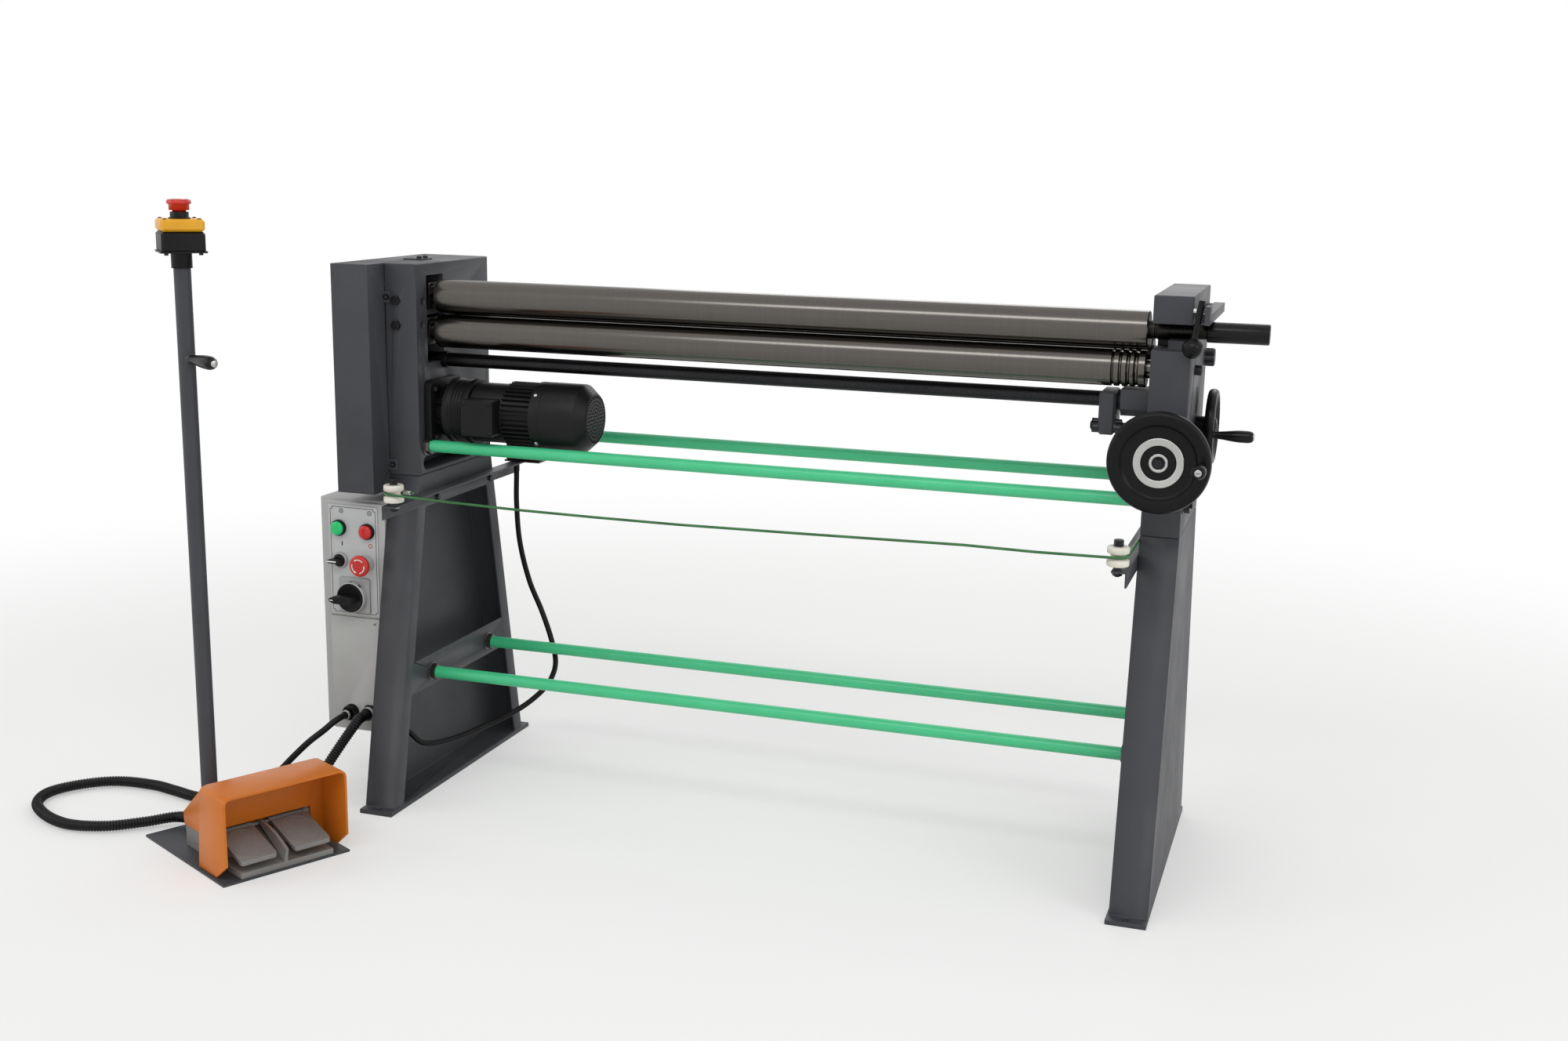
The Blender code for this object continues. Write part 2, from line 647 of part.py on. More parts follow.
def bake(base, added=(), removed=()):
    """Unite and cut blanks with exact booleans, leaving one plain mesh in the first blank."""
    tools = [(tool, "UNION") for tool in added] + [(tool, "DIFFERENCE") for tool in removed]
    for tool, operation in tools:
        modifier = base.modifiers.new(operation, "BOOLEAN")
        modifier.solver = "EXACT"
        modifier.operation = operation
        modifier.object = tool
    bpy.context.view_layer.update()
    graph = bpy.context.evaluated_depsgraph_get()
    result = bpy.data.meshes.new_from_object(base.evaluated_get(graph))
    base.modifiers.clear()
    base.data = result
    for tool, operation in tools:
        bpy.data.objects.remove(tool)
    return base


def piece(name, blank, finish, parent, pivot=(0.0, 0.0, 0.0)):
    """Name a finished blank, give it its material and put its origin on its pivot."""
    blank.name = name
    blank.data.name = name
    blank.data.transform(Matrix.Translation(-Vector(pivot)))
    blank.location = pivot
    blank.parent = parent
    blank.data.materials.clear()
    blank.data.materials.append(finish)
    blank.data.shade_smooth()
    blank.data.set_sharp_from_angle(angle=SMOOTH_ANGLE)
    return blank


def rounded_outline(low, high, radius, steps=3):
    """The outline of a rectangle with round corners."""
    corners = [(high[0] - radius, high[1] - radius, 0), (low[0] + radius, high[1] - radius, 1),
               (low[0] + radius, low[1] + radius, 2), (high[0] - radius, low[1] + radius, 3)]
    points = []
    for x, y, quarter in corners:
        for i in range(steps + 1):
            angle = math.pi / 2 * (quarter + i / steps)
            points.append((x + radius * math.cos(angle), y + radius * math.sin(angle)))
    return points


def gear_outline(teeth, centre, phase):
    """The toothed outline of a spur gear, with one tooth's middle at the phase angle."""
    pitch_radius = GEAR_MODULE * teeth / 2
    tip_radius = pitch_radius + GEAR_MODULE * ADDENDUM_SHARE
    root_radius = pitch_radius - GEAR_MODULE * DEDENDUM_SHARE
    step = math.tau / teeth
    half_angles = ((-ROOT_TOOTH_SHARE / 2, root_radius), (-TIP_TOOTH_SHARE / 2, tip_radius),
                   (TIP_TOOTH_SHARE / 2, tip_radius), (ROOT_TOOTH_SHARE / 2, root_radius))
    points = []
    for tooth in range(teeth):
        for share, radius in half_angles:
            angle = phase + step * (tooth + share)
            points.append((centre[0] + radius * math.cos(angle), centre[1] + radius * math.sin(angle)))
    return points


def smooth_route(route, steps=12):
    """A smooth curve through a cord's route, whose first and last spans stay straight."""
    points = [Vector(p) for p in route]
    last = len(points) - 1
    tangents = {}
    for i in range(1, last):
        before = points[i - 1] if i < last - 1 else points[i]
        after = points[i + 1] if i > 1 else points[i]
        tangents[i] = (after - before).normalized()
    fine = [points[0]]
    for i in range(1, last - 1):
        chord = (points[i + 1] - points[i]).length
        for step in range(steps):
            t = step / steps
            start = (2 * t ** 3 - 3 * t ** 2 + 1) * points[i] + (t ** 3 - 2 * t ** 2 + t) * chord * tangents[i]
            end = (3 * t ** 2 - 2 * t ** 3) * points[i + 1] + (t ** 3 - t ** 2) * chord * tangents[i + 1]
            fine.append(start + end)
    fine.append(points[last - 1])
    fine.append(points[last])
    return fine


def thinned(points, spacing):
    """Keep the points of a fine curve that lie a spacing apart or where it has turned."""
    kept = [points[0], points[1]]
    heading = (points[1] - points[0]).normalized()
    for i in range(2, len(points) - 2):
        following = (points[i + 1] - points[i]).normalized()
        turned_enough = heading.angle(following, 0.0) > CORD_TURN_STEP
        if (points[i] - kept[-1]).length > spacing or turned_enough:
            kept.append(points[i])
            heading = following
    if (points[-2] - kept[-1]).length < spacing / 3:
        kept.pop()
    kept.extend(points[-2:])
    return kept


def evenly(points, count):
    """Points spread evenly by length along a polyline, both ends included."""
    lengths = [0.0]
    for first, second in zip(points, points[1:]):
        lengths.append(lengths[-1] + (second - first).length)
    spaced = []
    index = 0
    for i in range(count):
        wanted = lengths[-1] * i / (count - 1)
        while index < len(lengths) - 2 and lengths[index + 1] < wanted:
            index += 1
        span = lengths[index + 1] - lengths[index]
        share = min(max((wanted - lengths[index]) / span, 0.0), 1.0)
        spaced.append(points[index].lerp(points[index + 1], share))
    return spaced


def cord_curve(name, points, diameter, finish, parent, radii=None):
    """A round cord as a bevelled curve with filled ends."""
    curve = bpy.data.curves.new(name, "CURVE")
    curve.dimensions = "3D"
    curve.bevel_depth = diameter / 2
    curve.bevel_resolution = 2
    curve.use_fill_caps = True
    spline = curve.splines.new("POLY")
    spline.points.add(len(points) - 1)
    for i, point in enumerate(points):
        spline.points[i].co = (*point, 1.0)
        spline.points[i].radius = radii[i] if radii else 1.0
    curve.materials.append(finish)
    made = bpy.data.objects.new(name, curve)
    bpy.context.scene.collection.objects.link(made)
    made.parent = parent
    return made


def route_length(points):
    return sum((second - first).length for first, second in zip(points, points[1:]))


def spread(side, near, far):
    """Low and high X of something that lies from near to far from the middle on one side."""
    return (side * near, side * far) if side > 0 else (side * far, side * near)


def side_block(side, near, far, low, high, bevel=0.0):
    """A box on the left (-1) or right (1) side, given its reach in X and its (y, z) corners."""
    x_low, x_high = spread(side, near, far)
    return block((x_low, *low), (x_high, *high), bevel)


def side_rod(side, centre, near, far, diameter, sides=SMALL_SIDES):
    """A round bar along X on one side, from near to far from the middle."""
    x_low, x_high = spread(side, near, far)
    return rod("X", centre, x_low, x_high, diameter, sides)


def side_hex(side, centre, near, far, across_flats):
    x_low, x_high = spread(side, near, far)
    return hex_bar("X", centre, x_low, x_high, across_flats)


ROD_PLACES_Y = (HEAD_MIDDLE_Y - ROD_SPREAD / 2, HEAD_MIDDLE_Y + ROD_SPREAD / 2)
SHELF_TOP_Z = TOP_ROLL_Z - BLOCK_HEIGHT / 2 - FIT_GAP
SHELF_BOTTOM_Z = SHELF_TOP_Z - SHELF_THICKNESS
POCKET_DEPTH = HEAD_THICKNESS - POCKET_FLOOR
BLOCK_LENGTH = POCKET_DEPTH - BLOCK_SETBACK * 2
BULL_GEAR_X = ROLL_GEAR_X - ROLL_GEAR_FACE / 2 - BULL_GEAR_GAP - BULL_GEAR_FACE / 2
GEAR_CENTRES = GEAR_MODULE * (BULL_GEAR_TEETH + PINION_TEETH) / 2
MOTOR_Z = BOTTOM_ROLL_Z - math.sqrt(GEAR_CENTRES ** 2 - MOTOR_Y ** 2)
MOTOR_CENTRE = (MOTOR_Y, MOTOR_Z)
TO_PINION = math.atan2(MOTOR_Z - BOTTOM_ROLL_Z, MOTOR_Y)


def stand_outline(inset, low, high):
    """The (y, z) outline of the tapering stand between two heights, drawn in by an inset."""
    rise = HEAD_BOTTOM_Z - BASE_PLATE_THICKNESS
    points = []
    for z, front_first in ((low, True), (high, False)):
        share = (z - BASE_PLATE_THICKNESS) / rise
        front = STAND_FOOT_FRONT_Y + (HEAD_FRONT_Y - STAND_FOOT_FRONT_Y) * share + inset
        rear = STAND_FOOT_REAR_Y + (HEAD_REAR_Y - STAND_FOOT_REAR_Y) * share - inset
        points.extend([(front, z), (rear, z)] if front_first else [(rear, z), (front, z)])
    return points


def stand(name, side, finish, parent):
    """A tapering channel stand with a lipped open side facing the other stand, on its base plate."""
    inner, outer = HEAD_INNER_X, HEAD_OUTER_X
    body = prism(stand_outline(0.0, BASE_PLATE_THICKNESS - WELD_LAP, HEAD_BOTTOM_Z - FIT_GAP), "X",
                 *spread(side, inner, outer))
    hollow = prism(stand_outline(STAND_WALL, BASE_PLATE_THICKNESS - CUT_OVERRUN,
                                 HEAD_BOTTOM_Z - STAND_TOP_PLATE),
                   "X", *spread(side, inner + STAND_WALL, outer - STAND_WALL))
    reach = spread(side, inner - CUT_OVERRUN, inner + STAND_WALL + CUT_OVERRUN)
    upper = prism(stand_outline(STAND_LIP, STAND_MID_STRIP_Z[1], STAND_TOP_STRIP_Z), "X", *reach)
    lower = prism(stand_outline(STAND_LIP, BASE_PLATE_THICKNESS - CUT_OVERRUN, STAND_MID_STRIP_Z[0]), "X",
                  *reach)
    holes = [side_rod(side, (y, LOWER_ROD_Z), inner - CUT_OVERRUN, inner + STAND_WALL + CUT_OVERRUN,
                      ROD_THREAD_DIAMETER + FIT_GAP * 2, TINY_SIDES) for y in ROD_PLACES_Y]
    body = bake(body, removed=[hollow, upper, lower, *holes])
    plate = side_block(side, BASE_PLATE_INNER_X, BASE_PLATE_INNER_X + BASE_PLATE_WIDTH,
                       (BASE_PLATE_FRONT_Y, 0.0), (BASE_PLATE_REAR_Y, BASE_PLATE_THICKNESS))
    anchor_x = side * (BASE_PLATE_INNER_X + ANCHOR_HOLE_SIDE)
    anchors = [rod("Z", (anchor_x, y), -CUT_OVERRUN, BASE_PLATE_THICKNESS + CUT_OVERRUN, ANCHOR_HOLE_DIAMETER,
                   TINY_SIDES) for y in (BASE_PLATE_FRONT_Y + ANCHOR_HOLE_INSET,
                                         BASE_PLATE_REAR_Y - ANCHOR_HOLE_INSET)]
    return piece(name, bake(body, [plate], anchors), finish, parent)


def head_cuts(side):
    """The pockets and bores that both heads share."""
    inner, outer = HEAD_INNER_X, HEAD_OUTER_X
    rear_half = REAR_BLOCK_WIDTH / 2 + FIT_GAP
    rear_rise = BLOCK_HEIGHT / 2 + REAR_TRAVEL + BLOCK_SETBACK
    rear = side_block(side, inner - CUT_OVERRUN, inner + POCKET_DEPTH,
                      (REAR_ROLL_Y - rear_half, REAR_ROLL_Z - rear_rise),
                      (REAR_ROLL_Y + rear_half, REAR_ROLL_Z + rear_rise))
    stem = rod("Z", (side * (inner + BLOCK_SETBACK + BLOCK_LENGTH / 2), 0.0), SLOT_BOTTOM_Z - JACK_STEM_DEPTH,
               SLOT_BOTTOM_Z + CUT_OVERRUN, JACK_STEM_DIAMETER + FIT_GAP * 2, TINY_SIDES)
    shaft = side_rod(side, (CROSS_SHAFT_Y, CROSS_SHAFT_Z), inner - CUT_OVERRUN, inner + CROSS_SHAFT_DEPTH,
                     CROSS_SHAFT_DIAMETER + TURN_GAP * 2)
    rods = [side_rod(side, (y, UPPER_ROD_Z), inner - CUT_OVERRUN, outer + CUT_OVERRUN,
                     ROD_THREAD_DIAMETER + FIT_GAP * 2, TINY_SIDES) for y in ROD_PLACES_Y]
    return [rear, stem, shaft, *rods]


def left_head(finish, parent):
    """The drive side head: bearing slot, shelf for the swinging bearing, motor seat and foot opening."""
    inner, outer = HEAD_INNER_X, HEAD_OUTER_X
    body = side_block(-1, inner, outer, (HEAD_FRONT_Y, HEAD_BOTTOM_Z), (HEAD_REAR_Y, HEAD_TOP_Z),
                      HEAD_EDGE_BEVEL)
    bolts = [hex_bar("Y", (-HEAD_BOLT_X, z), HEAD_FRONT_Y - HEAD_BOLT_HEAD, HEAD_FRONT_Y + WELD_LAP,
                     HEAD_BOLT_ACROSS_FLATS) for z in HEAD_BOLT_Z]
    through = (inner - CUT_OVERRUN, outer + CUT_OVERRUN)
    upper = side_block(-1, *through, (-SLOT_HALF_WIDTH, SHELF_TOP_Z), (SLOT_HALF_WIDTH, SLOT_TOP_Z))
    lower = side_block(-1, *through, (-SLOT_HALF_WIDTH, SLOT_BOTTOM_Z), (SLOT_HALF_WIDTH, SHELF_BOTTOM_Z))
    recess = side_block(-1, inner - CUT_OVERRUN, inner + SHELF_RECESS,
                        (-SLOT_HALF_WIDTH, SHELF_BOTTOM_Z - CUT_OVERRUN),
                        (SLOT_HALF_WIDTH, SHELF_TOP_Z + CUT_OVERRUN))
    motor = side_rod(-1, MOTOR_CENTRE, *through, MOTOR_SPIGOT_DIAMETER + FIT_GAP * 2, ROUND_SIDES)
    foot_low = (HEAD_FRONT_Y + HEAD_FOOT_OPENING_INSET, HEAD_BOTTOM_Z + HEAD_FOOT_OPENING_RISE)
    foot_high = (foot_low[0] + HEAD_FOOT_OPENING_LENGTH, foot_low[1] + HEAD_FOOT_OPENING_HEIGHT)
    foot = prism(rounded_outline(foot_low, foot_high, HEAD_FOOT_OPENING_HEIGHT / 2 - FIT_GAP), "X",
                 *spread(-1, inner - CUT_OVERRUN, inner + POCKET_DEPTH))
    holes = [side_rod(-1, place, inner - CUT_OVERRUN, inner + HEAD_HOLE_DEPTH, HEAD_HOLE_DIAMETER)
             for place in HEAD_HOLE_PLACES]
    cuts = [upper, lower, recess, motor, foot, *holes, *head_cuts(-1)]
    return piece("left_head", bake(body, bolts, cuts), finish, parent)


def right_head(finish, parent):
    """The open side head: a mouth for the top journal to swing out of, and seats for both handwheels."""
    inner, outer = HEAD_INNER_X, HEAD_OUTER_X
    body = side_block(1, inner, outer, (HEAD_FRONT_Y, HEAD_BOTTOM_Z), (HEAD_REAR_Y, HEAD_TOP_Z),
                      HEAD_EDGE_BEVEL)
    cap_screw = side_rod(1, (CAP_SCREW_Y, BOTTOM_ROLL_Z), outer - WELD_LAP, outer + CAP_SCREW_HEAD,
                         CAP_SCREW_DIAMETER)
    big_bolt = side_hex(1, (BIG_BOLT_Y, BIG_BOLT_Z), outer - WELD_LAP, outer + BIG_BOLT_HEAD,
                        BIG_BOLT_ACROSS_FLATS)
    flange = rod("Y", (FRONT_WHEEL_X, FRONT_WHEEL_Z), HEAD_FRONT_Y - FRONT_FLANGE_THICKNESS,
                 HEAD_FRONT_Y + WELD_LAP,
                 FRONT_FLANGE_DIAMETER)
    through = (inner - CUT_OVERRUN, outer + CUT_OVERRUN)
    pad_top = TOP_ROLL_Z - RIGHT_STEP_DIAMETER / 2 - FIT_GAP
    mouth = side_block(1, *through, (HEAD_FRONT_Y - CUT_OVERRUN, pad_top), (MOUTH_BACK, MOUTH_TOP_Z))
    mouth_front = side_block(1, *through, (HEAD_FRONT_Y - CUT_OVERRUN, MOUTH_BOTTOM_Z),
                             (MOUTH_PAD_FRONT_Y, pad_top + CUT_OVERRUN))
    collar = side_block(1, inner - CUT_OVERRUN, inner + RIGHT_COLLAR_LENGTH,
                        (HEAD_FRONT_Y - CUT_OVERRUN, MOUTH_BOTTOM_Z), (MOUTH_BACK, pad_top + CUT_OVERRUN))
    pocket = side_block(1, inner - CUT_OVERRUN, inner + POCKET_DEPTH, (-SLOT_HALF_WIDTH, SLOT_BOTTOM_Z),
                        (SLOT_HALF_WIDTH, SHELF_BOTTOM_Z))
    socket = side_rod(1, (CAP_SCREW_Y, BOTTOM_ROLL_Z), outer + CAP_SCREW_HEAD / 2,
                      outer + CAP_SCREW_HEAD + CUT_OVERRUN,
                      CAP_SCREW_SOCKET, HEX_SIDES)
    slot = side_block(1, outer - OUTER_SLOT_DEPTH, outer + CUT_OVERRUN,
                      (OUTER_SLOT_Y - OUTER_SLOT_WIDTH / 2, OUTER_SLOT_Z[0]),
                      (OUTER_SLOT_Y + OUTER_SLOT_WIDTH / 2, OUTER_SLOT_Z[1]))
    front_bore = rod("Y", (FRONT_WHEEL_X, FRONT_WHEEL_Z), HEAD_FRONT_Y - FRONT_FLANGE_THICKNESS - CUT_OVERRUN,
                     HEAD_FRONT_Y + FRONT_SHAFT_DEPTH, FRONT_SHAFT_DIAMETER + TURN_GAP * 2, SMALL_SIDES)
    side_bore = side_rod(1, (SIDE_WHEEL_Y, SIDE_WHEEL_Z), outer - SIDE_SHAFT_DEPTH, outer + CUT_OVERRUN,
                         SIDE_SHAFT_DIAMETER + TURN_GAP * 2)
    stud_bore = side_rod(1, (STUD_Y, STUD_Z), inner - CUT_OVERRUN, inner + STUD_DEPTH,
                         STUD_DIAMETER + FIT_GAP * 2)
    cuts = [mouth, mouth_front, collar, pocket, socket, slot, front_bore, side_bore, stud_bore, *head_cuts(1)]
    return piece("right_head", bake(body, [cap_screw, big_bolt, flange], cuts), finish, parent)


def gear_guard(finish, parent):
    """A folded sheet box over the gears, flanged against the left head, with two screwed tabs in front."""
    outer = HEAD_OUTER_X
    deep = outer + GUARD_DEPTH
    near = outer + FIT_GAP
    body = side_block(-1, near, deep, (GUARD_FRONT_Y, GUARD_BOTTOM_Z), (HEAD_REAR_Y, HEAD_TOP_Z))
    hollow = side_block(-1, near + GUARD_WALL, deep - GUARD_WALL,
                        (GUARD_FRONT_Y + GUARD_WALL, GUARD_BOTTOM_Z + GUARD_WALL),
                        (HEAD_REAR_Y - GUARD_WALL, HEAD_TOP_Z - GUARD_WALL))
    mouth = side_block(-1, near - CUT_OVERRUN, near + GUARD_WALL + CUT_OVERRUN,
                       (HEAD_FRONT_Y + GUARD_FLANGE, HEAD_BOTTOM_Z + GUARD_FLANGE),
                       (HEAD_REAR_Y - GUARD_FLANGE, HEAD_TOP_Z - GUARD_FLANGE))
    body = bake(body, removed=[hollow, mouth])
    tab_back = HEAD_FRONT_Y - FIT_GAP
    tab_front = tab_back - GUARD_TAB_THICKNESS
    screw_x = -(outer - GUARD_TAB_WIDTH / 2)
    added = []
    for z, width in GUARD_TABS:
        added.append(side_block(-1, outer - width, near + GUARD_WALL / 2,
                                (tab_front, z - GUARD_TAB_HEIGHT / 2),
                                (tab_back, z + GUARD_TAB_HEIGHT / 2)))
        added.append(rod("Y", (width / 2 - outer, z), tab_front - GUARD_SCREW_HEAD, tab_front + WELD_LAP,
                         GUARD_SCREW_DIAMETER, TINY_SIDES))
    top_low = HEAD_TOP_Z + FIT_GAP
    top_high = top_low + GUARD_TAB_THICKNESS
    added.append(block((-outer - GUARD_TAB_WIDTH, GUARD_TOP_SCREW_Y[0] - GUARD_TAB_HEIGHT / 2,
                        top_low - GUARD_WALL),
                       (-outer - FIT_GAP, GUARD_TOP_SCREW_Y[1] + GUARD_TAB_HEIGHT / 2, top_high)))
    added.append(block((-outer - GUARD_TAB_WIDTH, GUARD_TOP_SCREW_Y[0] - GUARD_TAB_HEIGHT / 2, top_low),
                       (-outer + GUARD_TAB_WIDTH, GUARD_TOP_SCREW_Y[1] + GUARD_TAB_HEIGHT / 2, top_high)))
    for y in GUARD_TOP_SCREW_Y:
        added.append(rod("Z", (screw_x, y), top_high - WELD_LAP, top_high + GUARD_SCREW_HEAD,
                         GUARD_SCREW_DIAMETER,
                         TINY_SIDES))
    return piece("gear_guard", bake(body, added), finish, parent)


def top_roll(finish, parent):
    """The top roll, with its gear journal on the left and the stepped shaft for the grip on the right."""
    half, radius = ROLL_FACE / 2, ROLL_DIAMETER / 2
    collar_end = HEAD_INNER_X + RIGHT_COLLAR_LENGTH - BLOCK_SETBACK
    grip_start = TOP_GRIP_X[0] - FIT_GAP
    profile = [(ROLL_GEAR_X - ROLL_GEAR_FACE / 2 - WELD_LAP, JOURNAL_DIAMETER / 2),
               (-half, JOURNAL_DIAMETER / 2),
               (-half, radius), (half, radius), (half, RIGHT_COLLAR_DIAMETER / 2),
               (collar_end, RIGHT_COLLAR_DIAMETER / 2),
               (collar_end, RIGHT_STEP_DIAMETER / 2), (grip_start, RIGHT_STEP_DIAMETER / 2),
               (grip_start, GRIP_SHAFT_DIAMETER / 2), (TOP_GRIP_X[1] - GRIP_END_WALL - FIT_GAP,
                                                       GRIP_SHAFT_DIAMETER / 2)]
    axis = (0.0, TOP_ROLL_Z)
    return piece("top_roll", turned(profile, "X", axis), finish, parent, (0.0, *axis))


def bottom_roll(finish, parent):
    """The bottom roll, with wire grooves of rising width near its right end."""
    half, radius = ROLL_FACE / 2, ROLL_DIAMETER / 2
    left_end = BULL_GEAR_X - BULL_GEAR_FACE / 2 - WELD_LAP
    right_end = HEAD_INNER_X + POCKET_DEPTH - BLOCK_SETBACK
    profile = [(left_end, JOURNAL_DIAMETER / 2), (-half, JOURNAL_DIAMETER / 2), (-half, radius)]
    count = len(WIRE_GROOVE_WIDTHS)
    for index, width in enumerate(WIRE_GROOVE_WIDTHS):
        middle = half - WIRE_GROOVE_END - WIRE_GROOVE_PITCH * (count - 1 - index)
        profile.extend([(middle - width / 2, radius), (middle - width / 4, radius - WIRE_GROOVE_DEPTH),
                        (middle + width / 4, radius - WIRE_GROOVE_DEPTH), (middle + width / 2, radius)])
    profile.extend([(half, radius), (half, JOURNAL_DIAMETER / 2), (right_end, JOURNAL_DIAMETER / 2)])
    axis = (0.0, BOTTOM_ROLL_Z)
    return piece("bottom_roll", turned(profile, "X", axis), finish, parent, (0.0, *axis))


def rear_roll(finish, parent):
    """The idle rear roll that curves the sheet."""
    half, radius = ROLL_FACE / 2, ROLL_DIAMETER / 2
    end = HEAD_INNER_X + POCKET_DEPTH - BLOCK_SETBACK
    profile = [(-end, JOURNAL_DIAMETER / 2), (-half, JOURNAL_DIAMETER / 2), (-half, radius), (half, radius),
               (half, JOURNAL_DIAMETER / 2), (end, JOURNAL_DIAMETER / 2)]
    axis = (REAR_ROLL_Y, REAR_ROLL_Z)
    return piece("rear_roll", turned(profile, "X", axis), finish, parent, (0.0, *axis))


def bearing_block(name, side, half_width, length, centre, stem, finish, parent, pivot):
    """A bored bearing block in a head, with an optional jack stem below it."""
    near = HEAD_INNER_X + BLOCK_SETBACK
    body = side_block(side, near, near + length, (centre[0] - half_width, centre[1] - BLOCK_HEIGHT / 2),
                      (centre[0] + half_width, centre[1] + BLOCK_HEIGHT / 2))
    added = []
    if stem:
        middle = side * (HEAD_INNER_X + BLOCK_SETBACK + BLOCK_LENGTH / 2)
        added.append(rod("Z", (middle, centre[0]), SLOT_BOTTOM_Z - JACK_STEM_DEPTH / 2,
                         centre[1] - BLOCK_HEIGHT / 2 + WELD_LAP, JACK_STEM_DIAMETER, TINY_SIDES))
    bore = side_rod(side, centre, near - CUT_OVERRUN, near + length + CUT_OVERRUN,
                    JOURNAL_DIAMETER + JOURNAL_FIT * 2,
                    ROUND_SIDES)
    return piece(name, bake(body, added, [bore]), finish, parent, pivot)


def top_roll_gear(finish, parent):
    """The gear on the top roll, with a gap facing the tooth of the bottom gear."""
    axis = (0.0, TOP_ROLL_Z)
    phase = -math.pi / 2 + math.pi / ROLL_GEAR_TEETH
    body = prism(gear_outline(ROLL_GEAR_TEETH, axis, phase), "X", ROLL_GEAR_X - ROLL_GEAR_FACE / 2,
                 ROLL_GEAR_X + ROLL_GEAR_FACE / 2)
    bore = rod("X", axis, ROLL_GEAR_X - ROLL_GEAR_FACE, ROLL_GEAR_X + ROLL_GEAR_FACE,
               JOURNAL_DIAMETER + JOURNAL_FIT * 2)
    return piece("top_roll_gear", bake(body, removed=[bore]), finish, parent, (ROLL_GEAR_X, *axis))


def drive_gear(finish, parent):
    """The gear cluster on the bottom roll: a roll gear, a hub and the dished bull gear."""
    axis = (0.0, BOTTOM_ROLL_Z)
    small = prism(gear_outline(ROLL_GEAR_TEETH, axis, math.pi / 2), "X", ROLL_GEAR_X - ROLL_GEAR_FACE / 2,
                  ROLL_GEAR_X + ROLL_GEAR_FACE / 2)
    low, high = BULL_GEAR_X - BULL_GEAR_FACE / 2, BULL_GEAR_X + BULL_GEAR_FACE / 2
    bull = prism(gear_outline(BULL_GEAR_TEETH, axis, TO_PINION + math.pi / BULL_GEAR_TEETH), "X", low, high)
    hub = rod("X", axis, low - WELD_LAP, ROLL_GEAR_X + ROLL_GEAR_FACE / 2 + WELD_LAP, BULL_GEAR_HUB_DIAMETER)
    rim_radius = GEAR_MODULE * BULL_GEAR_TEETH / 2 - BULL_GEAR_RIM
    boss_radius = BULL_GEAR_HUB_DIAMETER / 2 + BULL_GEAR_WEB / 2
    dish = pipe([(low - CUT_OVERRUN, rim_radius), (low - CUT_OVERRUN, boss_radius),
                 (high - BULL_GEAR_WEB, boss_radius), (high - BULL_GEAR_WEB, rim_radius)], "X", axis)
    bore = rod("X", axis, low - CUT_OVERRUN, ROLL_GEAR_X + ROLL_GEAR_FACE, JOURNAL_DIAMETER + JOURNAL_FIT * 2)
    return piece("drive_gear", bake(hub, [small, bull], [dish, bore]), finish, parent, (BULL_GEAR_X, *axis))


def drive_pinion(finish, parent):
    """The motor's output pinion and its shaft."""
    low, high = BULL_GEAR_X - PINION_FACE / 2, BULL_GEAR_X + PINION_FACE / 2
    phase = TO_PINION + math.pi
    body = prism(gear_outline(PINION_TEETH, MOTOR_CENTRE, phase), "X", low, high)
    shaft = rod("X", MOTOR_CENTRE, low - WELD_LAP, -HEAD_INNER_X + MOTOR_FLANGE_THICKNESS,
                MOTOR_SHAFT_DIAMETER, SMALL_SIDES)
    return piece("drive_pinion", bake(body, [shaft]), finish, parent, (BULL_GEAR_X, *MOTOR_CENTRE))


def gear_reducer(finish, parent):
    """The square motor flange, its neck and the banded reducer housing."""
    start = -HEAD_INNER_X + FIT_GAP
    flange_end = start + MOTOR_FLANGE_THICKNESS
    half = MOTOR_FLANGE / 2
    corners = ((MOTOR_Y - half, MOTOR_Z - half), (MOTOR_Y + half, MOTOR_Z + half))
    flange = prism(rounded_outline(*corners, MOTOR_FLANGE_CORNER), "X", start, flange_end)
    radius, band = REDUCER_DIAMETER / 2 - REDUCER_BAND_HEIGHT, REDUCER_DIAMETER / 2
    ring = start + REDUCER_START
    end = ring + REDUCER_LENGTH
    profile = [(start - MOTOR_SPIGOT_DEPTH, MOTOR_SPIGOT_DIAMETER / 2),
               (start + WELD_LAP, MOTOR_SPIGOT_DIAMETER / 2),
               (start + WELD_LAP, MOTOR_NECK_DIAMETER / 2), (ring, MOTOR_NECK_DIAMETER / 2), (ring, band)]
    for middle in (ring + REDUCER_BAND_WIDTH, end - REDUCER_BAND_WIDTH):
        profile.extend([(middle, band), (middle + REDUCER_BAND_HEIGHT, radius)] if middle < (ring + end) / 2
                       else [(middle - REDUCER_BAND_HEIGHT, radius), (middle, band)])
    profile.append((end, band))
    housing = turned(profile, "X", MOTOR_CENTRE)
    bolts = []
    for y_side in (-1, 1):
        for z_side in (-1, 1):
            place = (MOTOR_Y + y_side * FLANGE_BOLT_SPACING / 2, MOTOR_Z + z_side * FLANGE_BOLT_SPACING / 2)
            bolts.append(hex_bar("X", place, flange_end - WELD_LAP, flange_end + FLANGE_BOLT_HEAD,
                                 FLANGE_BOLT_DIAMETER))
    notch = rod("X", (ROD_PLACES_Y[0], UPPER_ROD_Z), start - CUT_OVERRUN, flange_end + CUT_OVERRUN,
                ROD_NUT_RELIEF)
    bore = rod("X", MOTOR_CENTRE, start - MOTOR_SPIGOT_DEPTH - CUT_OVERRUN,
               -HEAD_INNER_X + MOTOR_FLANGE_THICKNESS + FIT_GAP, MOTOR_SHAFT_DIAMETER + JOURNAL_FIT * 2)
    return piece("gear_reducer", bake(flange, [housing, *bolts], [notch, bore]), finish, parent)


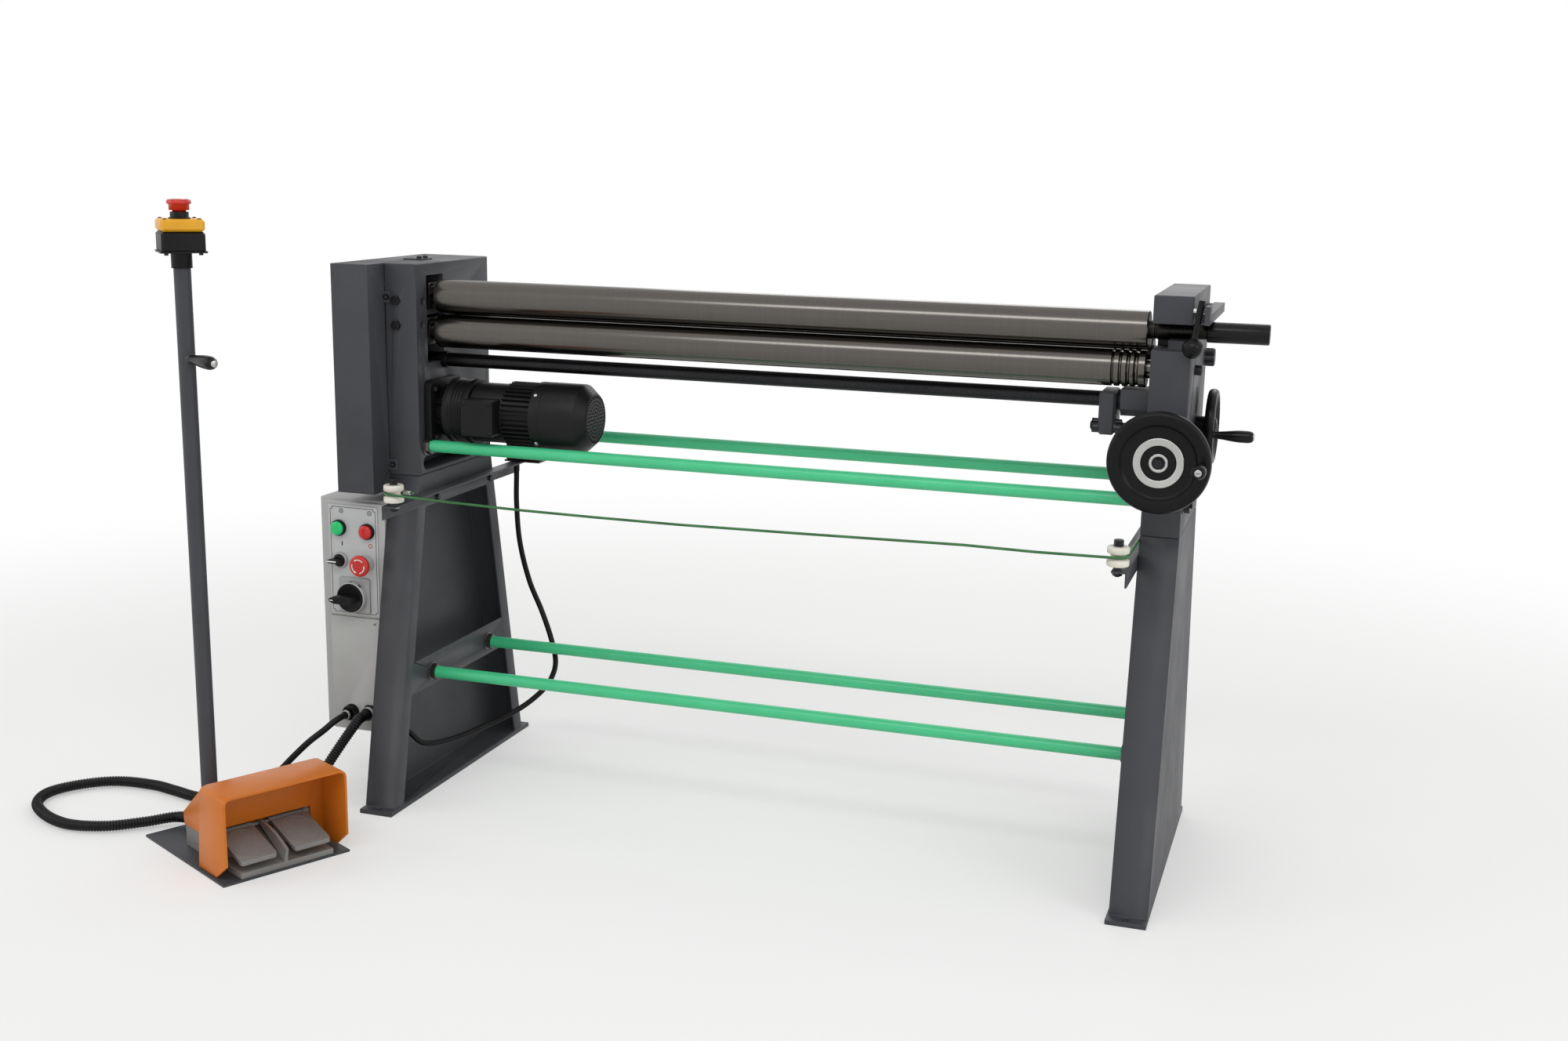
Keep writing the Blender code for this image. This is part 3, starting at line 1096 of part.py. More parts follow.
REDUCER_END_X = -HEAD_INNER_X + FIT_GAP + REDUCER_START + REDUCER_LENGTH
MOTOR_BODY_X = (REDUCER_END_X + FIT_GAP, REDUCER_END_X + FIT_GAP + MOTOR_BODY_LENGTH)


def fin_outline(radius, height, thickness, count, centre):
    """The outline of a finned motor frame seen along its axis."""
    half_angle = thickness / radius / 2
    points = []
    for fin in range(count):
        middle = math.tau * (fin + 0.5) / count
        for offset, reach in ((-half_angle, radius), (-half_angle, radius + height),
                              (half_angle, radius + height),
                              (half_angle, radius)):
            points.append((centre[0] + reach * math.cos(middle + offset),
                           centre[1] + reach * math.sin(middle + offset)))
    return points


def motor_body(finish, parent):
    """The motor frame: smooth by the terminal box, finned towards the fan cowl."""
    start, end = MOTOR_BODY_X
    body = turned([(start, MOTOR_BODY_DIAMETER / 2), (end + COWL_LAP, MOTOR_BODY_DIAMETER / 2)], "X",
                  MOTOR_CENTRE)
    fin_root = MOTOR_BODY_DIAMETER / 2 - MOTOR_FIN_THICKNESS
    fins = prism(fin_outline(fin_root, MOTOR_FIN_HEIGHT + MOTOR_FIN_THICKNESS, MOTOR_FIN_THICKNESS,
                             MOTOR_FIN_COUNT,
                             MOTOR_CENTRE), "X", end - MOTOR_FIN_LENGTH, end)
    front = MOTOR_Y - MOTOR_BODY_DIAMETER / 2 - TERMINAL_BOX_DEPTH
    box_start = start + WELD_LAP
    box = block((box_start, front, MOTOR_Z - TERMINAL_BOX_HEIGHT / 2),
                (box_start + TERMINAL_BOX_LENGTH, MOTOR_Y, MOTOR_Z + TERMINAL_BOX_HEIGHT / 2),
                TERMINAL_BOX_BEVEL)
    lid_rise = TERMINAL_BOX_HEIGHT / 2 - TERMINAL_LID_INSET
    lid = block((box_start + TERMINAL_LID_INSET, front - TERMINAL_LID, MOTOR_Z - lid_rise),
                (box_start + TERMINAL_BOX_LENGTH - TERMINAL_LID_INSET, front + WELD_LAP, MOTOR_Z + lid_rise))
    return piece("motor_body", bake(body, [fins, box, lid]), finish, parent)


def motor_cowl(finish, parent):
    """The fan cowl: a drawn cup with a conical shoulder and a round pattern of holes in its end."""
    start, radius = MOTOR_BODY_X[1] + FIT_GAP, COWL_DIAMETER / 2
    end = start + COWL_LENGTH
    seat = MOTOR_BODY_DIAMETER / 2 + FIT_GAP
    inside = radius - COWL_WALL
    face = COWL_FACE_DIAMETER / 2
    outer = turned([(start, radius), (end - COWL_CHAMFER, radius), (end, face)], "X", MOTOR_CENTRE)
    hollow = turned([(start - CUT_OVERRUN, seat), (start + COWL_LAP, seat), (start + COWL_LAP, inside),
                     (end - COWL_CHAMFER, inside), (end - COWL_WALL, face - COWL_WALL)], "X", MOTOR_CENTRE)
    holes = []
    for radius_of_ring, count in zip(GRILLE_RING_RADII, GRILLE_RING_COUNTS):
        for i in range(count):
            angle = math.tau * i / count
            place = (MOTOR_Y + radius_of_ring * math.cos(angle), MOTOR_Z + radius_of_ring * math.sin(angle))
            holes.append(rod("X", place, end - COWL_WALL - CUT_OVERRUN, end + CUT_OVERRUN,
                             GRILLE_HOLE_DIAMETER,
                             HEX_SIDES))
    return piece("motor_cowl", bake(outer, removed=[hollow, *holes]), finish, parent)


def tie_rod(name, y, z, wall, finish, parent):
    """A painted tie tube between clamping nuts, whose threaded ends pass through a wall on each side."""
    near = HEAD_INNER_X - FIT_GAP
    far = HEAD_INNER_X + wall + FIT_GAP
    tube_end = near - ROD_NUT_LENGTH + WELD_LAP
    tube = rod("X", (y, z), -tube_end, tube_end, ROD_DIAMETER, TINY_SIDES)
    thread_end = far + ROD_NUT_LENGTH + ROD_THREAD_TAIL
    thread = rod("X", (y, z), -thread_end, thread_end, ROD_THREAD_DIAMETER, TINY_SIDES)
    added = [thread]
    for side in (-1, 1):
        added.append(side_hex(side, (y, z), near - ROD_NUT_LENGTH, near, ROD_NUT_ACROSS_FLATS))
        added.append(side_hex(side, (y, z), far, far + ROD_NUT_LENGTH, ROD_NUT_ACROSS_FLATS))
    return piece(name, bake(tube, added), finish, parent)


DOOR_FRONT_Y = CABINET_FRONT_Y - DOOR_THICKNESS
PANEL_FRONT_Y = DOOR_FRONT_Y - FIT_GAP - PANEL_THICKNESS
CABINET_RIGHT_X = -HEAD_OUTER_X - CABINET_SIDE_GAP


def device_bore(place, diameter, front, depth):
    """A round hole for a panel device, from in front of a face to a depth behind it."""
    return rod("Y", place, front - CUT_OVERRUN, front + depth, diameter + STEM_CLEARANCE * 2, TINY_SIDES)


DEVICE_PLACES = ((GREEN_LAMP_X, GREEN_LAMP_Z), (RED_LAMP_X, RED_LAMP_Z), (SELECTOR_X, SELECTOR_Z),
                 (PANEL_STOP_X, PANEL_STOP_Z))
MAIN_SWITCH_X = sum(MAIN_SWITCH_PLATE_X) / 2 - MAIN_SWITCH_OFFSET


def control_cabinet(finish, parent):
    """The electrical cabinet with its door, the seam above the lower cover and two cable glands."""
    body = block((CABINET_LEFT_X, CABINET_FRONT_Y, CABINET_BOTTOM_Z),
                 (CABINET_RIGHT_X, CABINET_FRONT_Y + CABINET_DEPTH, CABINET_TOP_Z), CABINET_BEVEL)
    door = block((DOOR_LEFT_X, DOOR_FRONT_Y, CABINET_BOTTOM_Z + DOOR_MARGIN),
                 (CABINET_RIGHT_X, CABINET_FRONT_Y + WELD_LAP, CABINET_TOP_Z - DOOR_MARGIN),
                 CABINET_BEVEL / 2)
    added = [door]
    hex_end = DOOR_FRONT_Y - GLAND_LENGTH
    added.append(hex_bar("Y", (GLAND_X, GLAND_Z), hex_end, DOOR_FRONT_Y + WELD_LAP, GLAND_ACROSS_FLATS))
    added.append(rod("Y", (GLAND_X, GLAND_Z), hex_end - GLAND_DOME_LENGTH, hex_end + WELD_LAP,
                     GLAND_DOME_DIAMETER,
                     SMALL_SIDES))
    added.append(rod("Y", (HOSE_GLAND_X, HOSE_GLAND_Z), hex_end, DOOR_FRONT_Y + WELD_LAP, HOSE_GLAND_DIAMETER,
                     SMALL_SIDES))
    seam = block((DOOR_LEFT_X - CUT_OVERRUN, DOOR_FRONT_Y - CUT_OVERRUN,
                  CABINET_SEAM_Z - CABINET_SEAM_WIDTH / 2),
                 (CABINET_RIGHT_X + CUT_OVERRUN, DOOR_FRONT_Y + CABINET_SEAM_DEPTH,
                  CABINET_SEAM_Z + CABINET_SEAM_WIDTH / 2))
    bores = [device_bore(place, STOP_STEM_DIAMETER, DOOR_FRONT_Y, DEVICE_DEPTH) for place in DEVICE_PLACES]
    bores.append(device_bore((MAIN_SWITCH_X, MAIN_SWITCH_Z), MAIN_SHAFT_DIAMETER, DOOR_FRONT_Y, DEVICE_DEPTH))
    return piece("control_cabinet", bake(body, added, [seam, *bores]), finish, parent)


def control_panel(finish, parent):
    """The panel plate with the collars of its devices and the square plate of the main switch."""
    body = block((PANEL_LEFT_X, PANEL_FRONT_Y, PANEL_BOTTOM_Z), (PANEL_RIGHT_X, DOOR_FRONT_Y - FIT_GAP,
                                                                 PANEL_TOP_Z))
    back = PANEL_FRONT_Y + PANEL_THICKNESS / 2
    switch = block((MAIN_SWITCH_PLATE_X[0], PANEL_FRONT_Y - MAIN_SWITCH_PLATE_THICKNESS,
                    MAIN_SWITCH_PLATE_Z[0]),
                   (MAIN_SWITCH_PLATE_X[1], back, MAIN_SWITCH_PLATE_Z[1]))
    ring = rod("Y", (MAIN_SWITCH_X, MAIN_SWITCH_Z),
               PANEL_FRONT_Y - MAIN_SWITCH_PLATE_THICKNESS - MAIN_SWITCH_RING_HEIGHT,
               back, MAIN_SWITCH_RING_DIAMETER)
    collar = rod("Y", (PANEL_STOP_X, PANEL_STOP_Z), PANEL_FRONT_Y - STOP_COLLAR_HEIGHT, back,
                 STOP_COLLAR_DIAMETER,
                 SMALL_SIDES)
    bezel = rod("Y", (SELECTOR_X, SELECTOR_Z), PANEL_FRONT_Y - LAMP_BEZEL_HEIGHT, back,
                SELECTOR_BEZEL_DIAMETER,
                SMALL_SIDES)
    deep = MAIN_SWITCH_PLATE_THICKNESS + MAIN_SWITCH_RING_HEIGHT
    bores = [device_bore(place, STOP_STEM_DIAMETER, PANEL_FRONT_Y - STOP_COLLAR_HEIGHT,
                         STOP_COLLAR_HEIGHT + PANEL_THICKNESS + CUT_OVERRUN) for place in DEVICE_PLACES]
    bores.append(device_bore((MAIN_SWITCH_X, MAIN_SWITCH_Z), MAIN_SHAFT_DIAMETER, PANEL_FRONT_Y - deep,
                             deep + PANEL_THICKNESS + CUT_OVERRUN))
    return piece("control_panel", bake(body, [switch, ring, collar, bezel], bores), finish, parent)


def pilot_lamp(name, place, finish, parent):
    """A pilot lamp: bezel on the panel, domed lens in front and stem through the panel."""
    back = PANEL_FRONT_Y - FIT_GAP
    stem_end = DOOR_FRONT_Y + DEVICE_DEPTH - FIT_GAP
    profile = [(stem_end, STOP_STEM_DIAMETER / 2), (back, STOP_STEM_DIAMETER / 2),
               (back, LAMP_BEZEL_DIAMETER / 2),
               (back - LAMP_BEZEL_HEIGHT, LAMP_LENS_DIAMETER / 2 + FIT_GAP),
               (back - LAMP_BEZEL_HEIGHT, LAMP_LENS_DIAMETER / 2),
               (back - LAMP_LENS_HEIGHT, LAMP_LENS_DIAMETER / 2 - FIT_GAP),
               (back - LAMP_LENS_HEIGHT - LAMP_DOME_HEIGHT, LAMP_LENS_DIAMETER / 4)]
    return piece(name, turned(profile, "Y", place, TINY_SIDES), finish, parent)


def mushroom(axis, place, front, outward, stem_end, skirt):
    """A mushroom button on its stem, facing 1 or -1 along the axis, with a skirt round its collar."""
    radius, relief = STOP_BUTTON_DIAMETER / 2, STOP_BUTTON_RELIEF
    back = front - outward * STOP_BUTTON_THICKNESS
    profile = [(stem_end, STOP_STEM_DIAMETER / 2), (back + outward * skirt, STOP_STEM_DIAMETER / 2)]
    if skirt:
        profile.append((back + outward * skirt, STOP_COLLAR_DIAMETER / 2 + relief))
        profile.append((back, STOP_COLLAR_DIAMETER / 2 + relief))
    profile.append((back, radius - relief))
    profile.append((back + outward * STOP_BUTTON_THICKNESS / 2, radius))
    profile.append((front - outward * STOP_BUTTON_THICKNESS / 5, radius - relief / 2))
    profile.append((front, radius - relief * 3))
    return turned(profile, axis, place)


def panel_stop(finish, parent):
    """The panel's emergency stop button, which travels into its collar."""
    place = (PANEL_STOP_X, PANEL_STOP_Z)
    front = PANEL_FRONT_Y - STOP_STAND_OFF - STOP_BUTTON_THICKNESS
    stem_end = DOOR_FRONT_Y + DEVICE_DEPTH - STOP_TRAVEL - FIT_GAP
    made = mushroom("Y", place, front, -1, stem_end, 0.0)
    return piece("panel_estop_button", made, finish, parent, (place[0], front, place[1]))


def turn_knob(name, place, base, diameter, height, blade_width, pointer, stem, finish, parent):
    """A rotary knob: a round skirt on its bezel with a raised blade that points left at rest."""
    back = base - FIT_GAP
    foot = back - height / 3
    top = back - height
    stem_end = DOOR_FRONT_Y + DEVICE_DEPTH - FIT_GAP
    body = turned([(stem_end, stem / 2), (back, stem / 2), (back, diameter / 2),
                   (foot, diameter / 2 - FIT_GAP)], "Y", place,
                  SMALL_SIDES)
    half = blade_width / 2
    blade = [(place[0] - pointer, place[1]), (place[0] - pointer + half, place[1] - half),
             (place[0] + diameter / 2 - half, place[1] - half), (place[0] + diameter / 2 - half,
                                                                 place[1] + half),
             (place[0] - pointer + half, place[1] + half)]
    return piece(name, bake(body, [prism(blade, "Y", top, foot + WELD_LAP)]), finish, parent,
                 (place[0], back, place[1]))


def cross_shaft(finish, parent):
    """The lifting shaft under the rolls, with its adjusting nut by the left head."""
    left = -HEAD_INNER_X - CROSS_SHAFT_DEPTH + FIT_GAP
    right = HEAD_INNER_X - FIT_GAP - BLOCK_SETBACK
    nut = -HEAD_INNER_X + FIT_GAP
    profile = [(left, CROSS_SHAFT_DIAMETER / 2), (nut, CROSS_SHAFT_DIAMETER / 2),
               (nut, CROSS_SHAFT_NUT_DIAMETER / 2),
               (nut + CROSS_SHAFT_NUT_LENGTH, CROSS_SHAFT_NUT_DIAMETER / 2),
               (nut + CROSS_SHAFT_NUT_LENGTH, CROSS_SHAFT_DIAMETER / 2), (right, CROSS_SHAFT_DIAMETER / 2)]
    axis = (CROSS_SHAFT_Y, CROSS_SHAFT_Z)
    return piece("cross_shaft", turned(profile, "X", axis, SMALL_SIDES), finish, parent, (0.0, *axis))


def shaft_bracket(finish, parent):
    """The arm plate and worm housing that carry the cross shaft, held to the right head by a stud."""
    end = HEAD_INNER_X - FIT_GAP
    axis = (CROSS_SHAFT_Y, CROSS_SHAFT_Z)
    arm = block((ARM_X[0], ARM_Y[0], ARM_Z[0]), (ARM_X[1], ARM_Y[1], ARM_Z[1]), ARM_BEVEL)
    (y_low, y_high), (z_low, z_high), cut = WORM_HOUSING_Y, WORM_HOUSING_Z, WORM_HOUSING_CUT
    outline = [(y_low + cut, z_low), (y_high, z_low), (y_high, z_high - cut), (y_high - cut, z_high),
               (y_low, z_high),
               (y_low, z_low + cut)]
    housing = prism(outline, "X", WORM_HOUSING_X, end)
    boss = rod("X", axis, ARM_X[1] - WELD_LAP, WORM_HOUSING_X + WELD_LAP,
               CROSS_SHAFT_NUT_DIAMETER + ARM_BEVEL, SMALL_SIDES)
    stud = rod("X", (STUD_Y, STUD_Z), ARM_X[0] - STUD_NUT_LENGTH, HEAD_INNER_X + STUD_DEPTH - FIT_GAP,
               STUD_DIAMETER,
               SMALL_SIDES)
    place = (STUD_Y, STUD_Z)
    thin_nut = STUD_NUT_LENGTH * THIN_NUT_SHARE
    nuts = [hex_bar("X", place, ARM_X[0] - thin_nut, ARM_X[0] + WELD_LAP, STUD_NUT_ACROSS_FLATS),
            hex_bar("X", place, ARM_X[1] - WELD_LAP, ARM_X[1] + STUD_NUT_LENGTH, STUD_NUT_ACROSS_FLATS)]
    bore = rod("X", axis, ARM_X[0] - CUT_OVERRUN, end + CUT_OVERRUN, CROSS_SHAFT_DIAMETER + TURN_GAP * 2,
               SMALL_SIDES)
    return piece("shaft_bracket", bake(arm, [housing, boss, stud, *nuts], [bore]), finish, parent)


def front_handwheel(finish, parent):
    """The dished front handwheel with its dial ring, hub and shaft, and the fixed pin of its grip."""
    place = (FRONT_WHEEL_X, FRONT_WHEEL_Z)
    front, back = FRONT_WHEEL_RIM_Y, FRONT_WHEEL_RIM_Y + FRONT_WHEEL_RIM_DEPTH
    rim, rim_inside = FRONT_WHEEL_DIAMETER / 2, FRONT_WHEEL_DIAMETER / 2 - FRONT_WHEEL_RIM_WIDTH
    web_front = front + FRONT_WHEEL_WEB
    web_back = web_front + FRONT_WHEEL_WEB
    hub_back = HEAD_FRONT_Y - FRONT_FLANGE_THICKNESS - FIT_GAP
    shaft_end = HEAD_FRONT_Y + FRONT_SHAFT_DEPTH - FIT_GAP
    corner = FRONT_WHEEL_RIM_DEPTH / 4
    dial_front = web_front - DIAL_HEIGHT
    profile = [(shaft_end, FRONT_SHAFT_DIAMETER / 2), (hub_back, FRONT_SHAFT_DIAMETER / 2),
               (hub_back, FRONT_WHEEL_HUB_DIAMETER / 2), (web_back, FRONT_WHEEL_HUB_DIAMETER / 2),
               (web_back, rim_inside),
               (back, rim_inside + corner), (back, rim - corner), (back - corner, rim), (front + corner, rim),
               (front, rim - corner), (front, rim_inside + corner), (web_front, rim_inside),
               (web_front, DIAL_OUTER_DIAMETER / 2), (dial_front, DIAL_OUTER_DIAMETER / 2),
               (dial_front, DIAL_INNER_DIAMETER / 2), (web_front, DIAL_INNER_DIAMETER / 2),
               (web_front, HUB_RING_DIAMETER / 2), (dial_front, HUB_RING_DIAMETER / 2)]
    wheel = turned(profile, "Y", place)
    crank = (FRONT_WHEEL_X + CRANK_OFFSET_X, FRONT_WHEEL_Z + CRANK_OFFSET_Z)
    pin_end = front - FIT_GAP - CRANK_GRIP_LENGTH - FIT_GAP
    pin = turned([(front + corner, CRANK_PIN_DIAMETER / 2), (pin_end, CRANK_PIN_DIAMETER / 2),
                  (pin_end, CRANK_PIN_HEAD_DIAMETER / 2), (pin_end - CRANK_PIN_HEAD_LENGTH,
                                                           CRANK_PIN_HEAD_DIAMETER / 2)],
                 "Y", crank, TINY_SIDES)
    return piece("front_handwheel", bake(wheel, [pin]), finish, parent, (place[0], front, place[1]))


def crank_grip(name, axis, centre, start, direction, length, root, belly, bore, finish, parent):
    """A revolving crank grip: a swelling tube on its pin."""
    neck_place, neck_share = CRANK_GRIP_NECK
    belly_start, belly_end = CRANK_GRIP_BELLY
    shares = ((0.0, root), (neck_place, root * neck_share), (belly_start, belly), (belly_end, belly),
              (1.0, belly * CRANK_GRIP_END))
    outer = [(start + direction * length * share, diameter / 2) for share, diameter in shares]
    inner = bore / 2 + FIT_GAP
    profile = outer + [(outer[-1][0], inner), (outer[0][0], inner)]
    pivot = to_axis(axis, start, *centre)
    return piece(name, pipe(profile, axis, centre, TINY_SIDES), finish, parent, pivot)


def side_handwheel(finish, parent):
    """The side handwheel with its thin web, hub and shaft, and the fixed pin of its grip."""
    place = (SIDE_WHEEL_Y, SIDE_WHEEL_Z)
    start, end = SIDE_WHEEL_RIM_X, SIDE_WHEEL_RIM_X + SIDE_WHEEL_RIM_DEPTH
    rim, rim_inside = SIDE_WHEEL_DIAMETER / 2, SIDE_WHEEL_DIAMETER / 2 - SIDE_WHEEL_RIM_WIDTH
    third, corner = SIDE_WHEEL_RIM_DEPTH / 3, SIDE_WHEEL_RIM_DEPTH / 5
    hub = HEAD_OUTER_X + FIT_GAP
    profile = [(HEAD_OUTER_X - SIDE_SHAFT_DEPTH + FIT_GAP, SIDE_SHAFT_DIAMETER / 2),
               (hub, SIDE_SHAFT_DIAMETER / 2),
               (hub, SIDE_WHEEL_HUB_DIAMETER / 2), (start + third, SIDE_WHEEL_HUB_DIAMETER / 2),
               (start + third, rim_inside),
               (start, rim_inside + corner), (start, rim - corner), (start + corner, rim),
               (end - corner, rim),
               (end, rim - corner), (end, rim_inside + corner), (end - third, rim_inside),
               (end - third, SIDE_WHEEL_HUB_DIAMETER / 2), (end, SIDE_WHEEL_HUB_DIAMETER / 2 - corner),
               (end, SIDE_SHAFT_DIAMETER / 2)]
    wheel = turned(profile, "X", place)
    crank = (SIDE_WHEEL_Y - SIDE_CRANK_RADIUS, SIDE_WHEEL_Z + SIDE_CRANK_RISE)
    pin_end = end + FIT_GAP * 2 + SIDE_CRANK_GRIP_LENGTH
    pin = turned([(end - corner, CRANK_PIN_DIAMETER / 2), (pin_end, CRANK_PIN_DIAMETER / 2),
                  (pin_end, CRANK_PIN_HEAD_DIAMETER / 2), (pin_end + CRANK_PIN_HEAD_LENGTH,
                                                           CRANK_PIN_HEAD_DIAMETER / 2)],
                 "X", crank, TINY_SIDES)
    return piece("side_handwheel", bake(wheel, [pin]), finish, parent, (start, *place))


def top_roll_grip(finish, parent):
    """The tube grip that turns freely on the end of the top roll's shaft."""
    low, high = TOP_GRIP_X
    radius, bore = TOP_GRIP_DIAMETER / 2, GRIP_SHAFT_DIAMETER / 2 + TURN_GAP
    axis = (0.0, TOP_ROLL_Z)
    body = turned([(low, radius - TOP_GRIP_EDGE), (low + TOP_GRIP_EDGE, radius),
                   (high - TOP_GRIP_EDGE, radius),
                   (high, radius - TOP_GRIP_EDGE)], "X", axis)
    hollow = rod("X", axis, low - CUT_OVERRUN, high - GRIP_END_WALL, bore * 2, SMALL_SIDES)
    return piece("top_roll_grip", bake(body, removed=[hollow]), finish, parent, (low, *axis))


def latch_bar(finish, parent):
    """The bar on the right head's outer face, on two pads, with the lug and pin of the drop latch."""
    bar = block((LATCH_BAR_X[0], LATCH_BAR_Y[0], LATCH_BAR_Z[0]),
                (LATCH_BAR_X[1], LATCH_BAR_Y[1], LATCH_BAR_Z[1]))
    added = []
    for y_low, y_high in (LATCH_PAD_Y[:2], LATCH_PAD_Y[2:]):
        added.append(block((HEAD_OUTER_X + FIT_GAP, y_low, LATCH_BAR_Z[0] + WELD_LAP),
                           (LATCH_BAR_X[0] + WELD_LAP, y_high, LATCH_BAR_Z[1] - WELD_LAP)))
    added.append(block((LATCH_LUG_X, LATCH_BAR_Y[0] - LATCH_LUG_LENGTH, LATCH_BAR_Z[0]),
                       (LATCH_BAR_X[1], LATCH_BAR_Y[0] + WELD_LAP, LATCH_BAR_Z[1] + LATCH_LUG_HEIGHT)))
    added.append(rod("X", (LEVER_PIVOT_Y, LEVER_PIVOT_Z), LEVER_X - LEVER_ROD_DIAMETER / 2 - LATCH_PIN_TAIL,
                     LATCH_LUG_X + WELD_LAP, LATCH_PIN_DIAMETER, TINY_SIDES))
    return piece("latch_bar", bake(bar, added), finish, parent)


def lock_lever(finish, parent):
    """The drop latch: a rod hanging from its pin with a ball at its lower end, in front of the mouth."""
    pivot = Vector((LEVER_X, LEVER_PIVOT_Y, LEVER_PIVOT_Z))
    low = Vector((LEVER_BALL_X, LEVER_BALL_Y, LEVER_BALL_Z))
    upward = (pivot - low).normalized()
    body = round_bar(low, pivot + upward * LEVER_TIP_LENGTH, LEVER_ROD_DIAMETER, sides=TINY_SIDES)
    hole = rod("X", (LEVER_PIVOT_Y, LEVER_PIVOT_Z), LEVER_X - LEVER_ROD_DIAMETER,
               LEVER_X + LEVER_ROD_DIAMETER,
               LATCH_PIN_DIAMETER + FIT_GAP * 2, TINY_SIDES)
    return piece("lock_lever", bake(body, [ball(low, LEVER_BALL_DIAMETER, TINY_SIDES)], [hole]), finish,
                 parent, pivot)


def rope_bracket(name, side, pulley_places, finish, parent):
    """An angle bracket across a stand, with its bolts and the spacer, bolt and nut of each pulley."""
    reach = (HEAD_INNER_X - BRACKET_LEG, HEAD_INNER_X - FIT_GAP)
    leg_reach = (reach[1] - BRACKET_THICKNESS, reach[1])
    bottom = BRACKET_TOP_Z - BRACKET_LEG
    leg = side_block(side, *leg_reach, (BRACKET_FRONT_Y, bottom), (BRACKET_REAR_Y, BRACKET_TOP_Z))
    added = [side_block(side, *reach, (BRACKET_FRONT_Y, BRACKET_TOP_Z - BRACKET_THICKNESS),
                        (BRACKET_REAR_Y, BRACKET_TOP_Z))]
    for y in BRACKET_BOLT_Y:
        added.append(side_hex(side, (y, BRACKET_BOLT_Z), leg_reach[0] - BRACKET_BOLT_HEAD,
                              leg_reach[0] + WELD_LAP,
                              BRACKET_BOLT_ACROSS_FLATS))
    for y in pulley_places:
        place = (side * PULLEY_X, y)
        head = BRACKET_TOP_Z + PULLEY_SPACER_HEIGHT + PULLEY_HEIGHT + FIT_GAP * 2
        under = BRACKET_TOP_Z - BRACKET_THICKNESS
        added.append(rod("Z", place, BRACKET_TOP_Z - WELD_LAP, BRACKET_TOP_Z + PULLEY_SPACER_HEIGHT,
                         PULLEY_SPACER_DIAMETER, TINY_SIDES))
        added.append(rod("Z", place, under - PULLEY_NUT_LENGTH, head + WELD_LAP, PULLEY_BOLT_DIAMETER,
                         TINY_SIDES))
        added.append(hex_bar("Z", place, head, head + PULLEY_BOLT_HEAD, PULLEY_BOLT_ACROSS_FLATS))
        added.append(hex_bar("Z", place, under - PULLEY_NUT_LENGTH * THIN_NUT_SHARE, under + WELD_LAP,
                             PULLEY_BOLT_ACROSS_FLATS))
    return piece(name, bake(leg, added), finish, parent)


def pulley(name, place, finish, parent):
    """A grooved nylon pulley between its spacer and the bolt head."""
    low = BRACKET_TOP_Z + PULLEY_SPACER_HEIGHT + FIT_GAP
    high = low + PULLEY_HEIGHT
    middle = (low + high) / 2
    radius, groove = PULLEY_DIAMETER / 2, PULLEY_GROOVE_DIAMETER / 2
    bore = PULLEY_BOLT_DIAMETER / 2 + FIT_GAP
    half = PULLEY_GROOVE_WIDTH / 2
    profile = [(low, radius - PULLEY_EDGE), (low + PULLEY_EDGE, radius), (middle - half, radius),
               (middle - half / 2, groove),
               (middle + half / 2, groove), (middle + half, radius), (high - PULLEY_EDGE, radius),
               (high, radius - PULLEY_EDGE), (high, bore), (low, bore)]
    return piece(name, pipe(profile, "Z", place, TINY_SIDES), finish, parent, (*place, low))


def rope_switch(finish, parent):
    """The trip switch on the left bracket, pulled by the rope's eye rod."""
    base_top = BRACKET_TOP_Z + FIT_GAP + ROPE_SWITCH_BASE
    half = ROPE_SWITCH_WIDTH / 2
    left, right = ROPE_SWITCH_X
    base = block((left - ROPE_SWITCH_BASE, ROPE_SWITCH_Y - half, BRACKET_TOP_Z + FIT_GAP),
                 (right + ROPE_SWITCH_BASE, ROPE_SWITCH_Y + half, base_top))
    body = block((left, ROPE_SWITCH_Y - half, base_top - WELD_LAP),
                 (right, ROPE_SWITCH_Y + half, ROPE_SWITCH_TOP_Z),
                 ROPE_SWITCH_BASE)
    neck_end = right + ROPE_SWITCH_NECK_LENGTH
    neck = rod("X", (ROPE_SWITCH_Y, ROPE_Z), right - WELD_LAP * 3, neck_end, ROPE_SWITCH_NECK_DIAMETER,
               SMALL_SIDES)
    eye = rod("X", (ROPE_SWITCH_Y, ROPE_Z), neck_end - WELD_LAP, neck_end + ROPE_SWITCH_EYE_LENGTH,
              ROPE_SWITCH_EYE_DIAMETER, TINY_SIDES)
    return piece("rope_switch", bake(base, [body, neck, eye]), finish, parent)


def arc(centre, radius, start, end, z, steps):
    """Points of a level arc, with angles in degrees."""
    points = []
    for i in range(steps + 1):
        angle = math.radians(start + (end - start) * i / steps)
        points.append(Vector((centre[0] + radius * math.cos(angle), centre[1] + radius * math.sin(angle), z)))
    return points


